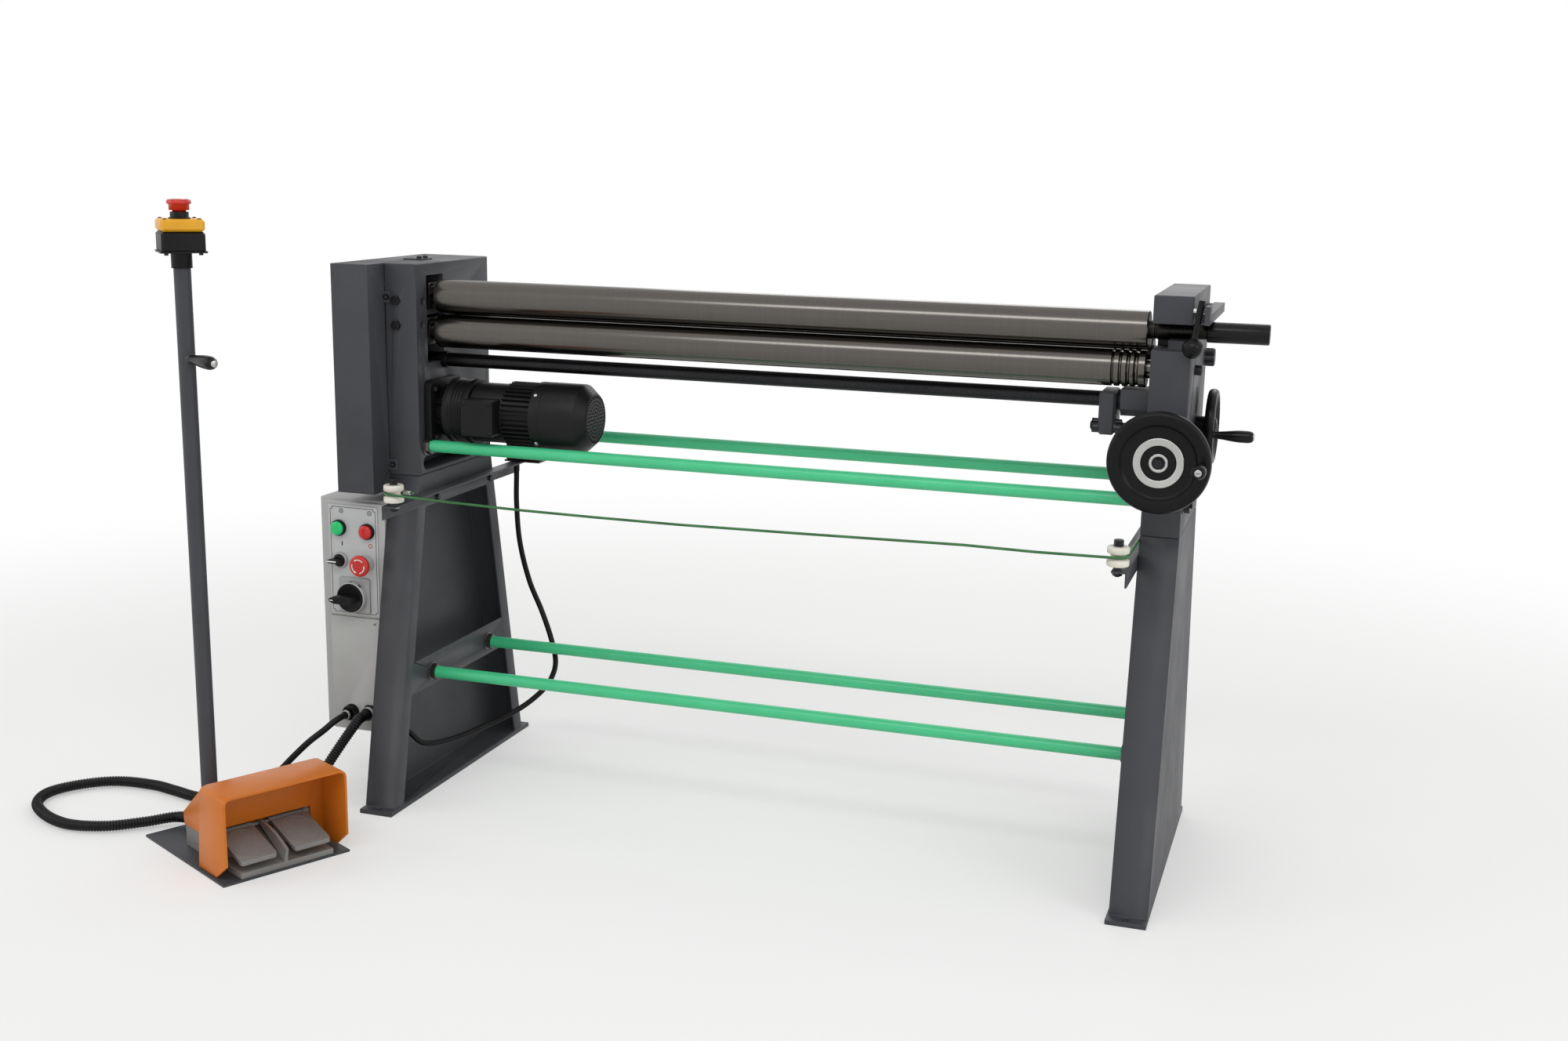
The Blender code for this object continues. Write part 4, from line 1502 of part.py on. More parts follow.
def rope_points():
    """The trip rope, tied to the left pulley and led round the other two to its switch."""
    reach = PULLEY_GROOVE_DIAMETER / 2 + ROPE_DIAMETER / 2 + ROPE_STAND_OFF
    left, right = (-PULLEY_X, PULLEY_FRONT_Y), (PULLEY_X, PULLEY_FRONT_Y)
    rear = (PULLEY_X, PULLEY_REAR_Y)
    points = [Vector((left[0] + ROPE_TAIL, left[1] + reach, ROPE_Z))]
    points.extend(arc(left, reach, 90, 270, ROPE_Z, ROPE_TURN_STEPS + 2))
    for share, sag in ROPE_SAG_SHARES:
        points.append(Vector((left[0] + (right[0] - left[0]) * share, left[1] - reach,
                              ROPE_Z - ROPE_SAG * sag)))
    points.extend(arc(right, reach, 270, 360, ROPE_Z, ROPE_TURN_STEPS))
    points.extend(arc(rear, reach, 0, 90, ROPE_Z, ROPE_TURN_STEPS))
    end = ROPE_SWITCH_X[1] + ROPE_SWITCH_NECK_LENGTH + ROPE_SWITCH_EYE_LENGTH + FIT_GAP
    points.append(Vector((end + ROPE_DIAMETER * 2, ROPE_SWITCH_Y, ROPE_Z)))
    points.append(Vector((end, ROPE_SWITCH_Y, ROPE_Z)))
    return points


def hose(finish, parent):
    """The ribbed hose from the cabinet to the pedals, with its bore cut out as a plainer tube."""
    route = smooth_route(HOSE_ROUTE)
    outside = HOSE_DIAMETER / 2
    rings = []
    radii = []
    for i, point in enumerate(evenly(route, HOSE_RIB_COUNT * 2)):
        rings.append(point)
        radii.append(1.0 if i % 2 else 1.0 - HOSE_RIB_DEPTH / outside)
    made = cord_curve("hose_outside", rings, HOSE_DIAMETER, finish, parent, radii)
    bore_points = thinned(route, HOSE_DIAMETER * 1.5)
    first = (bore_points[0] - bore_points[1]).normalized() * CUT_OVERRUN
    last = (bore_points[-1] - bore_points[-2]).normalized() * CUT_OVERRUN
    bore_points[0] = bore_points[0] + first
    bore_points[-1] = bore_points[-1] + last
    bore = cord_curve("hose_bore", bore_points, (outside - HOSE_RIB_DEPTH - HOSE_WALL) * 2, finish, parent)
    solids = []
    for curve in (made, bore):
        bpy.context.view_layer.update()
        graph = bpy.context.evaluated_depsgraph_get()
        mesh = bpy.data.meshes.new_from_object(curve.evaluated_get(graph))
        solid = bpy.data.objects.new(curve.name + "_mesh", mesh)
        bpy.context.scene.collection.objects.link(solid)
        solids.append(solid)
    for curve in (made, bore):
        bpy.data.objects.remove(curve)
    print("hose length", round(route_length(route), 3))
    return piece("pedal_hose", bake(solids[0], removed=[solids[1]]), finish, parent)


def floor_plate(finish, parent):
    made = block((0.0, 0.0, 0.0), (FLOOR_PLATE_WIDTH, FLOOR_PLATE_DEPTH, FLOOR_PLATE_THICKNESS))
    return piece("pedal_floor_plate", made, finish, parent)


PLATE_TOP_Z = FLOOR_PLATE_THICKNESS + FIT_GAP


def pedal_base(finish, parent):
    """The cast pedal base with its front tongue, the fin between the pedals, and the hinge pin."""
    rear = PEDAL_BODY_REAR_DEPTH
    outline = [(PEDAL_TONGUE_FRONT, PLATE_TOP_Z), (rear, PLATE_TOP_Z), (rear, PEDAL_BASE_TOP_Z),
               (PEDAL_STEP_DEPTH, PEDAL_BASE_TOP_Z), (PEDAL_STEP_DEPTH - PEDAL_TONGUE_TOP_Z / 2,
                                                      PEDAL_TONGUE_TOP_Z),
               (PEDAL_TONGUE_FRONT, PEDAL_TONGUE_TOP_Z)]
    body = prism(outline, "X", *PEDAL_TONGUE_X)
    fin_rear = PEDAL_HINGE_DEPTH + PEDAL_HINGE_DIAMETER / 2
    fin_low = PEDAL_TONGUE_TOP_Z - WELD_LAP
    fin = [(PEDAL_TONGUE_FRONT, fin_low), (fin_rear, fin_low), (fin_rear, PEDAL_FIN_REAR_Z)]
    fin_back = fin_rear - PEDAL_HINGE_DIAMETER / 2
    for i in range(PEDAL_FIN_STEPS + 1):
        share = i / PEDAL_FIN_STEPS
        depth = fin_back + (PEDAL_FIN_FRONT_DEPTH - fin_back) * share
        bulge = math.sin(math.pi * share) * PEDAL_FIN_BULGE
        fin.append((depth, PEDAL_FIN_REAR_Z + (PEDAL_FIN_FRONT_Z - PEDAL_FIN_REAR_Z) * share + bulge))
    middle = prism(fin, "X", PEDAL_FIN_X - PEDAL_FIN_THICKNESS / 2, PEDAL_FIN_X + PEDAL_FIN_THICKNESS / 2)
    lug = [(PEDAL_STEP_DEPTH, PEDAL_BASE_TOP_Z - WELD_LAP), (fin_rear + WELD_LAP,
                                                             PEDAL_BASE_TOP_Z - WELD_LAP),
           (fin_rear + WELD_LAP, PEDAL_HINGE_Z), (fin_rear - WELD_LAP,
                                                  PEDAL_HINGE_Z + PEDAL_HINGE_DIAMETER / 2),
           (PEDAL_HINGE_DEPTH - PEDAL_HINGE_DIAMETER / 2, PEDAL_HINGE_Z + PEDAL_HINGE_DIAMETER / 2)]
    lugs = [prism(lug, "X", PEDAL_BODY_X[0], LEFT_PEDAL_X[0] + PEDAL_LUG_INSET),
            prism(lug, "X", RIGHT_PEDAL_X[1] - PEDAL_LUG_INSET, PEDAL_BODY_X[1])]
    pin = rod("X", (PEDAL_HINGE_DEPTH, PEDAL_HINGE_Z), PEDAL_BODY_X[0] + WELD_LAP, PEDAL_BODY_X[1] - WELD_LAP,
              PEDAL_PIN_DIAMETER, TINY_SIDES)
    return piece("pedal_base", bake(body, [middle, *lugs, pin]), finish, parent)


def pedal(name, reach, finish, parent):
    """A sloping foot pedal with a barrel on the hinge pin."""
    slope = math.atan2(PEDAL_REAR_Z - PEDAL_FRONT_Z, PEDAL_REAR_DEPTH - PEDAL_FRONT_DEPTH)
    drop = PEDAL_THICKNESS / math.cos(slope)
    low, high = reach
    outline = rounded_outline((low, PEDAL_FRONT_DEPTH), (high, PEDAL_REAR_DEPTH), PEDAL_CORNER, 2)
    plate = prism(outline, "Z", -drop, 0.0)
    for vertex in plate.data.vertices:
        share = (vertex.co.y - PEDAL_FRONT_DEPTH) / (PEDAL_REAR_DEPTH - PEDAL_FRONT_DEPTH)
        vertex.co.z += PEDAL_FRONT_Z + (PEDAL_REAR_Z - PEDAL_FRONT_Z) * share
    inset = PEDAL_LUG_INSET + FIT_GAP
    ends = (low + inset, high - FIT_GAP) if low < PEDAL_FIN_X else (low + FIT_GAP, high - inset)
    barrel = rod("X", (PEDAL_HINGE_DEPTH, PEDAL_HINGE_Z), *ends, PEDAL_HINGE_DIAMETER, TINY_SIDES)
    neck_front, neck_half = PEDAL_REAR_DEPTH - PEDAL_THICKNESS, PEDAL_PIN_DIAMETER / 2
    neck = [(neck_front, PEDAL_REAR_Z - PEDAL_THICKNESS), (PEDAL_HINGE_DEPTH, PEDAL_HINGE_Z - neck_half),
            (PEDAL_HINGE_DEPTH, PEDAL_HINGE_Z + neck_half), (neck_front, PEDAL_REAR_Z - PEDAL_THICKNESS / 2)]
    link = prism(neck, "X", *ends)
    bore = rod("X", (PEDAL_HINGE_DEPTH, PEDAL_HINGE_Z), ends[0] - CUT_OVERRUN, ends[1] + CUT_OVERRUN,
               PEDAL_PIN_DIAMETER + FIT_GAP * 2, TINY_SIDES)
    made = bake(plate, [barrel, link], [bore])
    return piece(name, made, finish, parent, ((low + high) / 2, PEDAL_HINGE_DEPTH, PEDAL_HINGE_Z))


def hood_outline(inset, bottom):
    """The (x, z) outline of the pedal hood seen from the front, drawn in by an inset."""
    low, high = GUARD_HOOD_X
    corner = GUARD_HOOD_CORNER
    reach = corner - inset
    points = [(high - inset, bottom)]
    for quarter, x in ((0, high - corner), (1, low + corner)):
        for i in range(GUARD_HOOD_CORNER_STEPS + 1):
            angle = math.pi / 2 * (quarter + i / GUARD_HOOD_CORNER_STEPS)
            points.append((x + reach * math.cos(angle), GUARD_HOOD_TOP_Z - corner + reach * math.sin(angle)))
    points.append((low + inset, bottom))
    return points


def pedal_guard(finish, parent):
    """The steel hood over the pedals, with its sloping rear cover."""
    low, high = GUARD_HOOD_X
    wall, corner, depth = GUARD_HOOD_WALL, GUARD_HOOD_CORNER, GUARD_HOOD_DEPTH
    hood = prism(hood_outline(0.0, GUARD_HOOD_FOOT_Z), "Y", 0.0, GUARD_HOOD_FOOT_DEPTH)
    chamfer = prism([(-CUT_OVERRUN, GUARD_HOOD_CHAMFER_Z + CUT_OVERRUN), (-CUT_OVERRUN, -CUT_OVERRUN),
                     (GUARD_HOOD_TIP_DEPTH + CUT_OVERRUN, -CUT_OVERRUN),
                     (GUARD_HOOD_TIP_DEPTH, GUARD_HOOD_FOOT_Z)],
                    "X", low - CUT_OVERRUN, high + CUT_OVERRUN)
    past = GUARD_HOOD_FOOT_DEPTH + CUT_OVERRUN
    rear_cut = prism([(depth, GUARD_HOOD_TOP_Z + CUT_OVERRUN), (depth, GUARD_HOOD_TOP_Z),
                      (GUARD_HOOD_FOOT_DEPTH, GUARD_HOOD_FOOT_Z), (past, GUARD_HOOD_FOOT_Z - CUT_OVERRUN),
                      (past, GUARD_HOOD_TOP_Z + CUT_OVERRUN)], "X", low - CUT_OVERRUN, high + CUT_OVERRUN)
    hood = bake(hood, removed=[chamfer, rear_cut])
    x_low, x_high = PEDAL_BODY_X
    top = PEDAL_BASE_TOP_Z + FIT_GAP
    cover = prism([(depth - wall, GUARD_HOOD_TOP_Z - corner), (depth, GUARD_HOOD_TOP_Z - wall),
                   (PEDAL_BODY_MIDDLE_DEPTH, PEDAL_BODY_MIDDLE_Z), (PEDAL_BODY_REAR_DEPTH, PEDAL_BODY_REAR_Z),
                   (PEDAL_BODY_REAR_DEPTH, top), (depth - wall, top)], "X", x_low, x_high)
    inside = prism(hood_outline(wall, GUARD_HOOD_FOOT_Z - CUT_OVERRUN), "Y", -CUT_OVERRUN, depth - wall)
    skirt_gap = block((x_low - FIT_GAP, -CUT_OVERRUN, -CUT_OVERRUN),
                      (x_high + FIT_GAP, GUARD_HOOD_FOOT_DEPTH + CUT_OVERRUN, top))
    hinge_room = block((x_low - FIT_GAP, depth - wall - CUT_OVERRUN, top - CUT_OVERRUN),
                       (x_high + FIT_GAP, PEDAL_HINGE_DEPTH + PEDAL_HINGE_DIAMETER,
                        PEDAL_HINGE_Z + PEDAL_HINGE_DIAMETER))
    return piece("pedal_guard", bake(hood, [cover], [inside, skirt_gap, hinge_room]), finish, parent)


def estop_pole(finish, parent):
    """The tube of the pole, with its foot ring and the boss and pin of its grip."""
    place = (POLE_X, POLE_DEPTH)
    top = SOCKET_BOTTOM_Z + SOCKET_DEPTH - FIT_GAP
    tube = rod("Z", place, PLATE_TOP_Z, top, POLE_DIAMETER, SMALL_SIDES)
    foot = rod("Z", place, PLATE_TOP_Z, PLATE_TOP_Z + POLE_FOOT_HEIGHT, POLE_FOOT_DIAMETER, SMALL_SIDES)
    surface = POLE_DEPTH - POLE_DIAMETER / 2
    boss_end = surface - POLE_GRIP_BOSS_LENGTH
    boss = rod("Y", (POLE_X, POLE_GRIP_Z), boss_end, POLE_DEPTH, POLE_GRIP_BOSS_DIAMETER, TINY_SIDES)
    pin_end = boss_end - POLE_GRIP_LENGTH - FIT_GAP * 2
    pin = rod("Y", (POLE_X, POLE_GRIP_Z), pin_end - WELD_LAP, boss_end + WELD_LAP, POLE_GRIP_PIN_DIAMETER,
              TINY_SIDES)
    head = rod("Y", (POLE_X, POLE_GRIP_Z), pin_end - CRANK_PIN_HEAD_LENGTH, pin_end, CRANK_PIN_HEAD_DIAMETER,
               TINY_SIDES)
    bore = rod("Z", place, PLATE_TOP_Z - CUT_OVERRUN, top + CUT_OVERRUN, POLE_DIAMETER - POLE_WALL * 2,
               SMALL_SIDES)
    return piece("estop_pole", bake(tube, [foot, boss, pin, head], [bore]), finish, parent)


def stop_box(finish_base, finish_lid, finish_button, parent):
    """The stop box on the pole: socketed base, lid with its collar, and the mushroom button."""
    place = (POLE_X, POLE_DEPTH)
    turn = Matrix.Translation((*place, 0.0)) @ Matrix.Rotation(STOP_BOX_ANGLE, 4, "Z")
    half = STOP_BOX_SIDE / 2
    base_box = moved(block((-half, -half, SOCKET_TOP_Z), (half, half, STOP_BOX_LID_Z - FIT_GAP),
                           STOP_BOX_BEVEL), turn)
    wide = half + STOP_BOX_LIP
    lip = moved(block((-wide, -wide, SOCKET_TOP_Z), (wide, wide, SOCKET_TOP_Z + STOP_BOX_LIP_HEIGHT)), turn)
    socket = rod("Z", place, SOCKET_BOTTOM_Z, SOCKET_TOP_Z + WELD_LAP, SOCKET_DIAMETER, SMALL_SIDES)
    pole_hole = rod("Z", place, SOCKET_BOTTOM_Z - CUT_OVERRUN, SOCKET_BOTTOM_Z + SOCKET_DEPTH,
                    POLE_DIAMETER + FIT_GAP * 2,
                    SMALL_SIDES)
    button_front = POLE_STOP_BUTTON_TOP_Z
    stem_low = STOP_BOX_LID_Z - STOP_STEM_DIAMETER
    stem_hole = rod("Z", place, stem_low - STOP_TRAVEL - FIT_GAP, STOP_BOX_LID_Z + CUT_OVERRUN,
                    STOP_STEM_DIAMETER + TURN_GAP * 2, SMALL_SIDES)
    piece("estop_box_base", bake(base_box, [lip, socket], [pole_hole, stem_hole]), finish_base, parent)
    lid = moved(block((-half, -half, STOP_BOX_LID_Z), (half, half, STOP_BOX_TOP_Z), STOP_BOX_BEVEL), turn)
    collar = rod("Z", place, STOP_BOX_TOP_Z - WELD_LAP, STOP_BOX_TOP_Z + POLE_STOP_COLLAR_HEIGHT,
                 STOP_COLLAR_DIAMETER,
                 SMALL_SIDES)
    lid_hole = rod("Z", place, STOP_BOX_LID_Z - CUT_OVERRUN,
                   STOP_BOX_TOP_Z + POLE_STOP_COLLAR_HEIGHT + CUT_OVERRUN,
                   STOP_STEM_DIAMETER + TURN_GAP * 2, SMALL_SIDES)
    piece("estop_box_lid", bake(lid, [collar], [lid_hole]), finish_lid, parent)
    button = mushroom("Z", place, button_front, 1, stem_low, POLE_STOP_SKIRT)
    piece("pole_estop_button", button, finish_button, parent, (*place, button_front))


def empty(name, parent=None):
    made = bpy.data.objects.new(name, None)
    bpy.context.scene.collection.objects.link(made)
    made.parent = parent
    return made


def cord(name, route, diameter, finish, parent):
    """A plain cable along its route."""
    points = thinned(smooth_route(route), diameter * 3)
    print(name, "length", round(route_length(points), 3), "points", len(points))
    return cord_curve(name, points, diameter, finish, parent)


def build_frame(paint, parent):
    """The stands, heads, guard and tie rods."""
    stand("left_stand", -1, paint["grey"], parent)
    stand("right_stand", 1, paint["grey"], parent)
    left_head(paint["grey"], parent)
    right_head(paint["grey"], parent)
    gear_guard(paint["grey"], parent)
    front, rear = ROD_PLACES_Y
    tie_rod("upper_front_rod", front, UPPER_ROD_Z, HEAD_THICKNESS, paint["green"], parent)
    tie_rod("upper_rear_rod", rear, UPPER_ROD_Z, HEAD_THICKNESS, paint["green"], parent)
    tie_rod("lower_front_rod", front, LOWER_ROD_Z, STAND_WALL, paint["green"], parent)
    tie_rod("lower_rear_rod", rear, LOWER_ROD_Z, STAND_WALL, paint["green"], parent)


def build_rolls(paint, parent):
    """The three rolls, their bearing blocks and the gear train."""
    top, bottom, rear = (0.0, TOP_ROLL_Z), (0.0, BOTTOM_ROLL_Z), (REAR_ROLL_Y, REAR_ROLL_Z)
    top_roll(paint["steel"], parent)
    bottom_roll(paint["steel"], parent)
    rear_roll(paint["steel"], parent)
    top_roll_gear(paint["gear"], parent)
    drive_gear(paint["gear"], parent)
    drive_pinion(paint["gear"], parent)
    swing_pivot = (ROLL_GEAR_X, *top)
    swing_length = HEAD_THICKNESS - BLOCK_SETBACK * 2
    slot_half = SLOT_HALF_WIDTH - FIT_GAP
    bearing_block("top_swing_bearing", -1, SWING_BLOCK_HALF_WIDTH, swing_length, top, False, paint["block"],
                  parent, swing_pivot)
    bearing_block("bottom_bearing_left", -1, slot_half, BLOCK_LENGTH, bottom, True, paint["block"], parent,
                  (0.0, *bottom))
    bearing_block("bottom_bearing_right", 1, slot_half, BLOCK_LENGTH, bottom, True, paint["block"], parent,
                  (0.0, *bottom))
    rear_half = REAR_BLOCK_WIDTH / 2
    bearing_block("rear_bearing_left", -1, rear_half, BLOCK_LENGTH, rear, False, paint["block"], parent,
                  (0.0, *rear))
    bearing_block("rear_bearing_right", 1, rear_half, BLOCK_LENGTH, rear, False, paint["block"], parent,
                  (0.0, *rear))


def build_controls(paint, parent):
    """The handwheels, the top roll's grip and latch, and the lifting shaft."""
    top_roll_grip(paint["black"], parent)
    latch_bar(paint["grey"], parent)
    lock_lever(paint["black"], parent)
    cross_shaft(paint["steel"], parent)
    shaft_bracket(paint["grey"], parent)
    front_handwheel(paint["black"], parent)
    front_place = (FRONT_WHEEL_X + CRANK_OFFSET_X, FRONT_WHEEL_Z + CRANK_OFFSET_Z)
    crank_grip("front_crank_grip", "Y", front_place, FRONT_WHEEL_RIM_Y - FIT_GAP, -1, CRANK_GRIP_LENGTH,
               CRANK_GRIP_ROOT_DIAMETER, CRANK_GRIP_DIAMETER, CRANK_PIN_DIAMETER, paint["black"], parent)
    side_handwheel(paint["black"], parent)
    side_place = (SIDE_WHEEL_Y - SIDE_CRANK_RADIUS, SIDE_WHEEL_Z + SIDE_CRANK_RISE)
    side_start = SIDE_WHEEL_RIM_X + SIDE_WHEEL_RIM_DEPTH + FIT_GAP
    crank_grip("side_crank_grip", "X", side_place, side_start, 1, SIDE_CRANK_GRIP_LENGTH,
               SIDE_CRANK_ROOT_DIAMETER,
               SIDE_CRANK_GRIP_DIAMETER, CRANK_PIN_DIAMETER, paint["black"], parent)


def build_drive(paint, parent):
    """The motor and the electrical cabinet with its devices."""
    gear_reducer(paint["motor"], parent)
    motor_body(paint["motor"], parent)
    motor_cowl(paint["motor"], parent)
    control_cabinet(paint["cabinet"], parent)
    control_panel(paint["panel"], parent)
    pilot_lamp("green_lamp", (GREEN_LAMP_X, GREEN_LAMP_Z), paint["lamp_green"], parent)
    pilot_lamp("red_lamp", (RED_LAMP_X, RED_LAMP_Z), paint["red"], parent)
    panel_stop(paint["red"], parent)
    turn_knob("selector_knob", (SELECTOR_X, SELECTOR_Z), PANEL_FRONT_Y - LAMP_BEZEL_HEIGHT, SELECTOR_DIAMETER,
              SELECTOR_HEIGHT, SELECTOR_BLADE_WIDTH, SELECTOR_POINTER_LENGTH, STOP_STEM_DIAMETER,
              paint["black"], parent)
    main_base = PANEL_FRONT_Y - MAIN_SWITCH_PLATE_THICKNESS - MAIN_SWITCH_RING_HEIGHT
    turn_knob("main_switch_knob", (MAIN_SWITCH_X, MAIN_SWITCH_Z), main_base, MAIN_SWITCH_KNOB_DIAMETER,
              MAIN_SWITCH_KNOB_HEIGHT, MAIN_SWITCH_BLADE_WIDTH, MAIN_SWITCH_POINTER_LENGTH,
              MAIN_SHAFT_DIAMETER,
              paint["black"], parent)


def build_trip_rope(paint, parent):
    """The emergency trip rope with its brackets, pulleys and switch."""
    rope_bracket("rope_bracket_left", -1, (PULLEY_FRONT_Y,), paint["grey"], parent)
    rope_bracket("rope_bracket_right", 1, (PULLEY_FRONT_Y, PULLEY_REAR_Y), paint["grey"], parent)
    pulley("left_pulley", (-PULLEY_X, PULLEY_FRONT_Y), paint["nylon"], parent)
    pulley("right_pulley", (PULLEY_X, PULLEY_FRONT_Y), paint["nylon"], parent)
    pulley("rear_pulley", (PULLEY_X, PULLEY_REAR_Y), paint["nylon"], parent)
    rope_switch(paint["red"], parent)
    points = rope_points()
    print("emergency_rope length", round(route_length(points), 3), "points", len(points))
    cord_curve("emergency_rope", points, ROPE_DIAMETER, paint["rope"], parent)


def build_station(paint, parent):
    """The foot pedal station with the stop button on its pole."""
    floor_plate(paint["grey"], parent)
    pedal_base(paint["cast"], parent)
    pedal_guard(paint["orange"], parent)
    pedal("left_pedal", LEFT_PEDAL_X, paint["cast"], parent)
    pedal("right_pedal", RIGHT_PEDAL_X, paint["cast"], parent)
    estop_pole(paint["grey"], parent)
    crank_grip("pole_grip", "Y", (POLE_X, POLE_GRIP_Z),
               POLE_DEPTH - POLE_DIAMETER / 2 - POLE_GRIP_BOSS_LENGTH - FIT_GAP, -1,
               POLE_GRIP_LENGTH, POLE_GRIP_ROOT_DIAMETER, POLE_GRIP_DIAMETER, POLE_GRIP_PIN_DIAMETER,
               paint["black"], parent)
    stop_box(paint["black"], paint["yellow"], paint["red"], parent)


CORD_NAMES = ("emergency_rope", "switch_cable", "pedal_hose", "estop_cable")


def centre_on_floor(rig):
    """Move the rig so that the bottom centre of everything but the cords is the origin."""
    bpy.context.view_layer.update()
    low, high = [math.inf] * 3, [-math.inf] * 3
    for made in bpy.data.objects:
        if made.type != "MESH" or made.name in CORD_NAMES:
            continue
        for vertex in made.data.vertices:
            place = made.matrix_world @ vertex.co
            for i in range(3):
                low[i] = min(low[i], place[i])
                high[i] = max(high[i], place[i])
    rig.location = (-(low[0] + high[0]) / 2, -(low[1] + high[1]) / 2, -low[2])
    print("rig moved by", [round(v, 6) for v in rig.location])
    print("size", [round(b - a, 4) for a, b in zip(low, high)])


def main():
    """Build the whole machine."""
    for made in list(bpy.data.objects):
        bpy.data.objects.remove(made)
    paint = {
        "grey": material("charcoal_hammer_paint", (0.24, 0.245, 0.265), 0.45),
        "motor": material("charcoal_motor_paint", (0.27, 0.275, 0.29), 0.4),
        "green": material("mint_green_paint", (0.26, 0.76, 0.53), 0.45),
        "orange": material("orange_enamel", (0.80, 0.43, 0.12), 0.4),
        "cast": material("grey_casting_paint", (0.47, 0.475, 0.48), 0.55),
        "yellow": material("yellow_plastic", (0.91, 0.66, 0.10), 0.4),
        "red": material("red_plastic", (0.75, 0.20, 0.18), 0.35),
        "lamp_green": material("green_lens", (0.20, 0.62, 0.38), 0.25),
        "cabinet": material("light_grey_paint", (0.63, 0.63, 0.63), 0.5),
        "panel": material("silver_panel_film", (0.72, 0.73, 0.74), 0.4),
        "steel": material("ground_steel", (0.66, 0.66, 0.65), 0.3, 1.0),
        "gear": material("gear_steel", (0.52, 0.52, 0.51), 0.4, 1.0),
        "block": material("black_oxide_iron", (0.17, 0.17, 0.175), 0.55),
        "black": material("black_plastic", (0.085, 0.085, 0.09), 0.4),
        "nylon": material("off_white_nylon", (0.84, 0.83, 0.78), 0.5),
        "rope": material("green_coated_rope", (0.20, 0.43, 0.18), 0.45),
        "hose": material("black_hose", (0.07, 0.07, 0.075), 0.5),
    }
    rig = empty("rig")
    station = empty("pedal_station", rig)
    station.location = (STATION_X, STATION_Y, 0.0)
    station.rotation_euler = (0.0, 0.0, STATION_ANGLE)
    build_frame(paint, rig)
    build_rolls(paint, rig)
    build_controls(paint, rig)
    build_drive(paint, rig)
    build_trip_rope(paint, rig)
    build_station(paint, station)
    cord("switch_cable", SWITCH_CABLE_ROUTE, SWITCH_CABLE_DIAMETER, paint["hose"], rig)
    cord("estop_cable", STOP_CABLE_ROUTE, STOP_CABLE_DIAMETER, paint["hose"], rig)
    hose(paint["hose"], rig)
    centre_on_floor(rig)


main()
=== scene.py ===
import json
from math import atan2, cos, pi, radians, sin, sqrt, tau

import bmesh
import bpy
from mathutils import Matrix, Vector


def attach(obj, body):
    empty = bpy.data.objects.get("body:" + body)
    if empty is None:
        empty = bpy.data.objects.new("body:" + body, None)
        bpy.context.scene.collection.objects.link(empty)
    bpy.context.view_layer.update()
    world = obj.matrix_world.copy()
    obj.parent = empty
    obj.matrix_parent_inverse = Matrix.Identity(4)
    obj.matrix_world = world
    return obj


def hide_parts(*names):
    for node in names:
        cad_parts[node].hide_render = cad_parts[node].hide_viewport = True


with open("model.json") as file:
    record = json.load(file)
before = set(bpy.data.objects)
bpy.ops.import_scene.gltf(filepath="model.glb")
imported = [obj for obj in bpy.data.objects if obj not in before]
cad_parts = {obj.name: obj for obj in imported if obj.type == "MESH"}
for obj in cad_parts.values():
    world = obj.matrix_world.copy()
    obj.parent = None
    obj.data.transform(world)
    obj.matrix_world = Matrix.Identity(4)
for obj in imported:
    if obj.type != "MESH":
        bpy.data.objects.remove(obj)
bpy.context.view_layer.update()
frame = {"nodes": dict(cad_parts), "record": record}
bodyOf = {node: body for body, nodes in frame["record"]["behaviour"]["bodies"].items() for node in nodes}
slotOf = {part["node"]: part["material_slot"] for part in frame["record"]["subparts"]}

# sizes and meshes in the making are in millimetres, objects in metres
mm = 0.001
# an edge sharper than these is rounded on a piece, or kept sharp on a copy
roundedFrom, sharpFrom = radians(33), radians(35)

# The machine's own zero is on the floor, midway between the heads and under the top roll
machineZero = Vector((87.091, 114.25, 0.0)) * mm
pedalZero = Vector((-737.6, -575.5, 0.0)) * mm
pedalTurn = radians(61.9)
pedalPlace = Matrix.Translation(machineZero + pedalZero) @ Matrix.Rotation(pedalTurn, 4, "Z")
machinePlace = Matrix.Translation(machineZero)

camera = {
    "place": (962.738, -2860.145, 1202.419),
    "turnLeft": 18.10784,
    "lookDown": 11.95173,
    "roll": 1.00216,
    "lens": 40.581,
    "sensor": 36.0,
}


def linked(name, data):
    made = bpy.data.objects.new(name, data)
    bpy.context.scene.collection.objects.link(made)
    return made


def makeCamera(c):
    turn, down, roll = (radians(c[key]) for key in ("turnLeft", "lookDown", "roll"))
    ahead = Vector((-sin(turn) * cos(down), cos(turn) * cos(down), -sin(down)))
    right = ahead.cross(Vector((0, 0, 1))).normalized()
    up = right.cross(ahead)
    side = cos(roll) * right + sin(roll) * up
    top = cos(roll) * up - sin(roll) * right
    data = bpy.data.cameras.new("photoCamera")
    data.lens, data.sensor_width, data.clip_end = c["lens"], c["sensor"], 50.0
    made = linked("photoCamera", data)
    place = Matrix.Translation(machineZero + Vector(c["place"]) * mm)
    made.matrix_world = place @ Matrix((side, top, -ahead)).transposed().to_4x4()
    bpy.context.scene.camera = made


makeCamera(camera)
print("camera set")


# finishes
def linear(hexColour):
    values = [int(hexColour[i:i + 2], 16) / 255 for i in (1, 3, 5)]
    return (*[((v + 0.055) / 1.055) ** 2.4 if v > 0.04045 else v / 12.92 for v in values], 1.0)


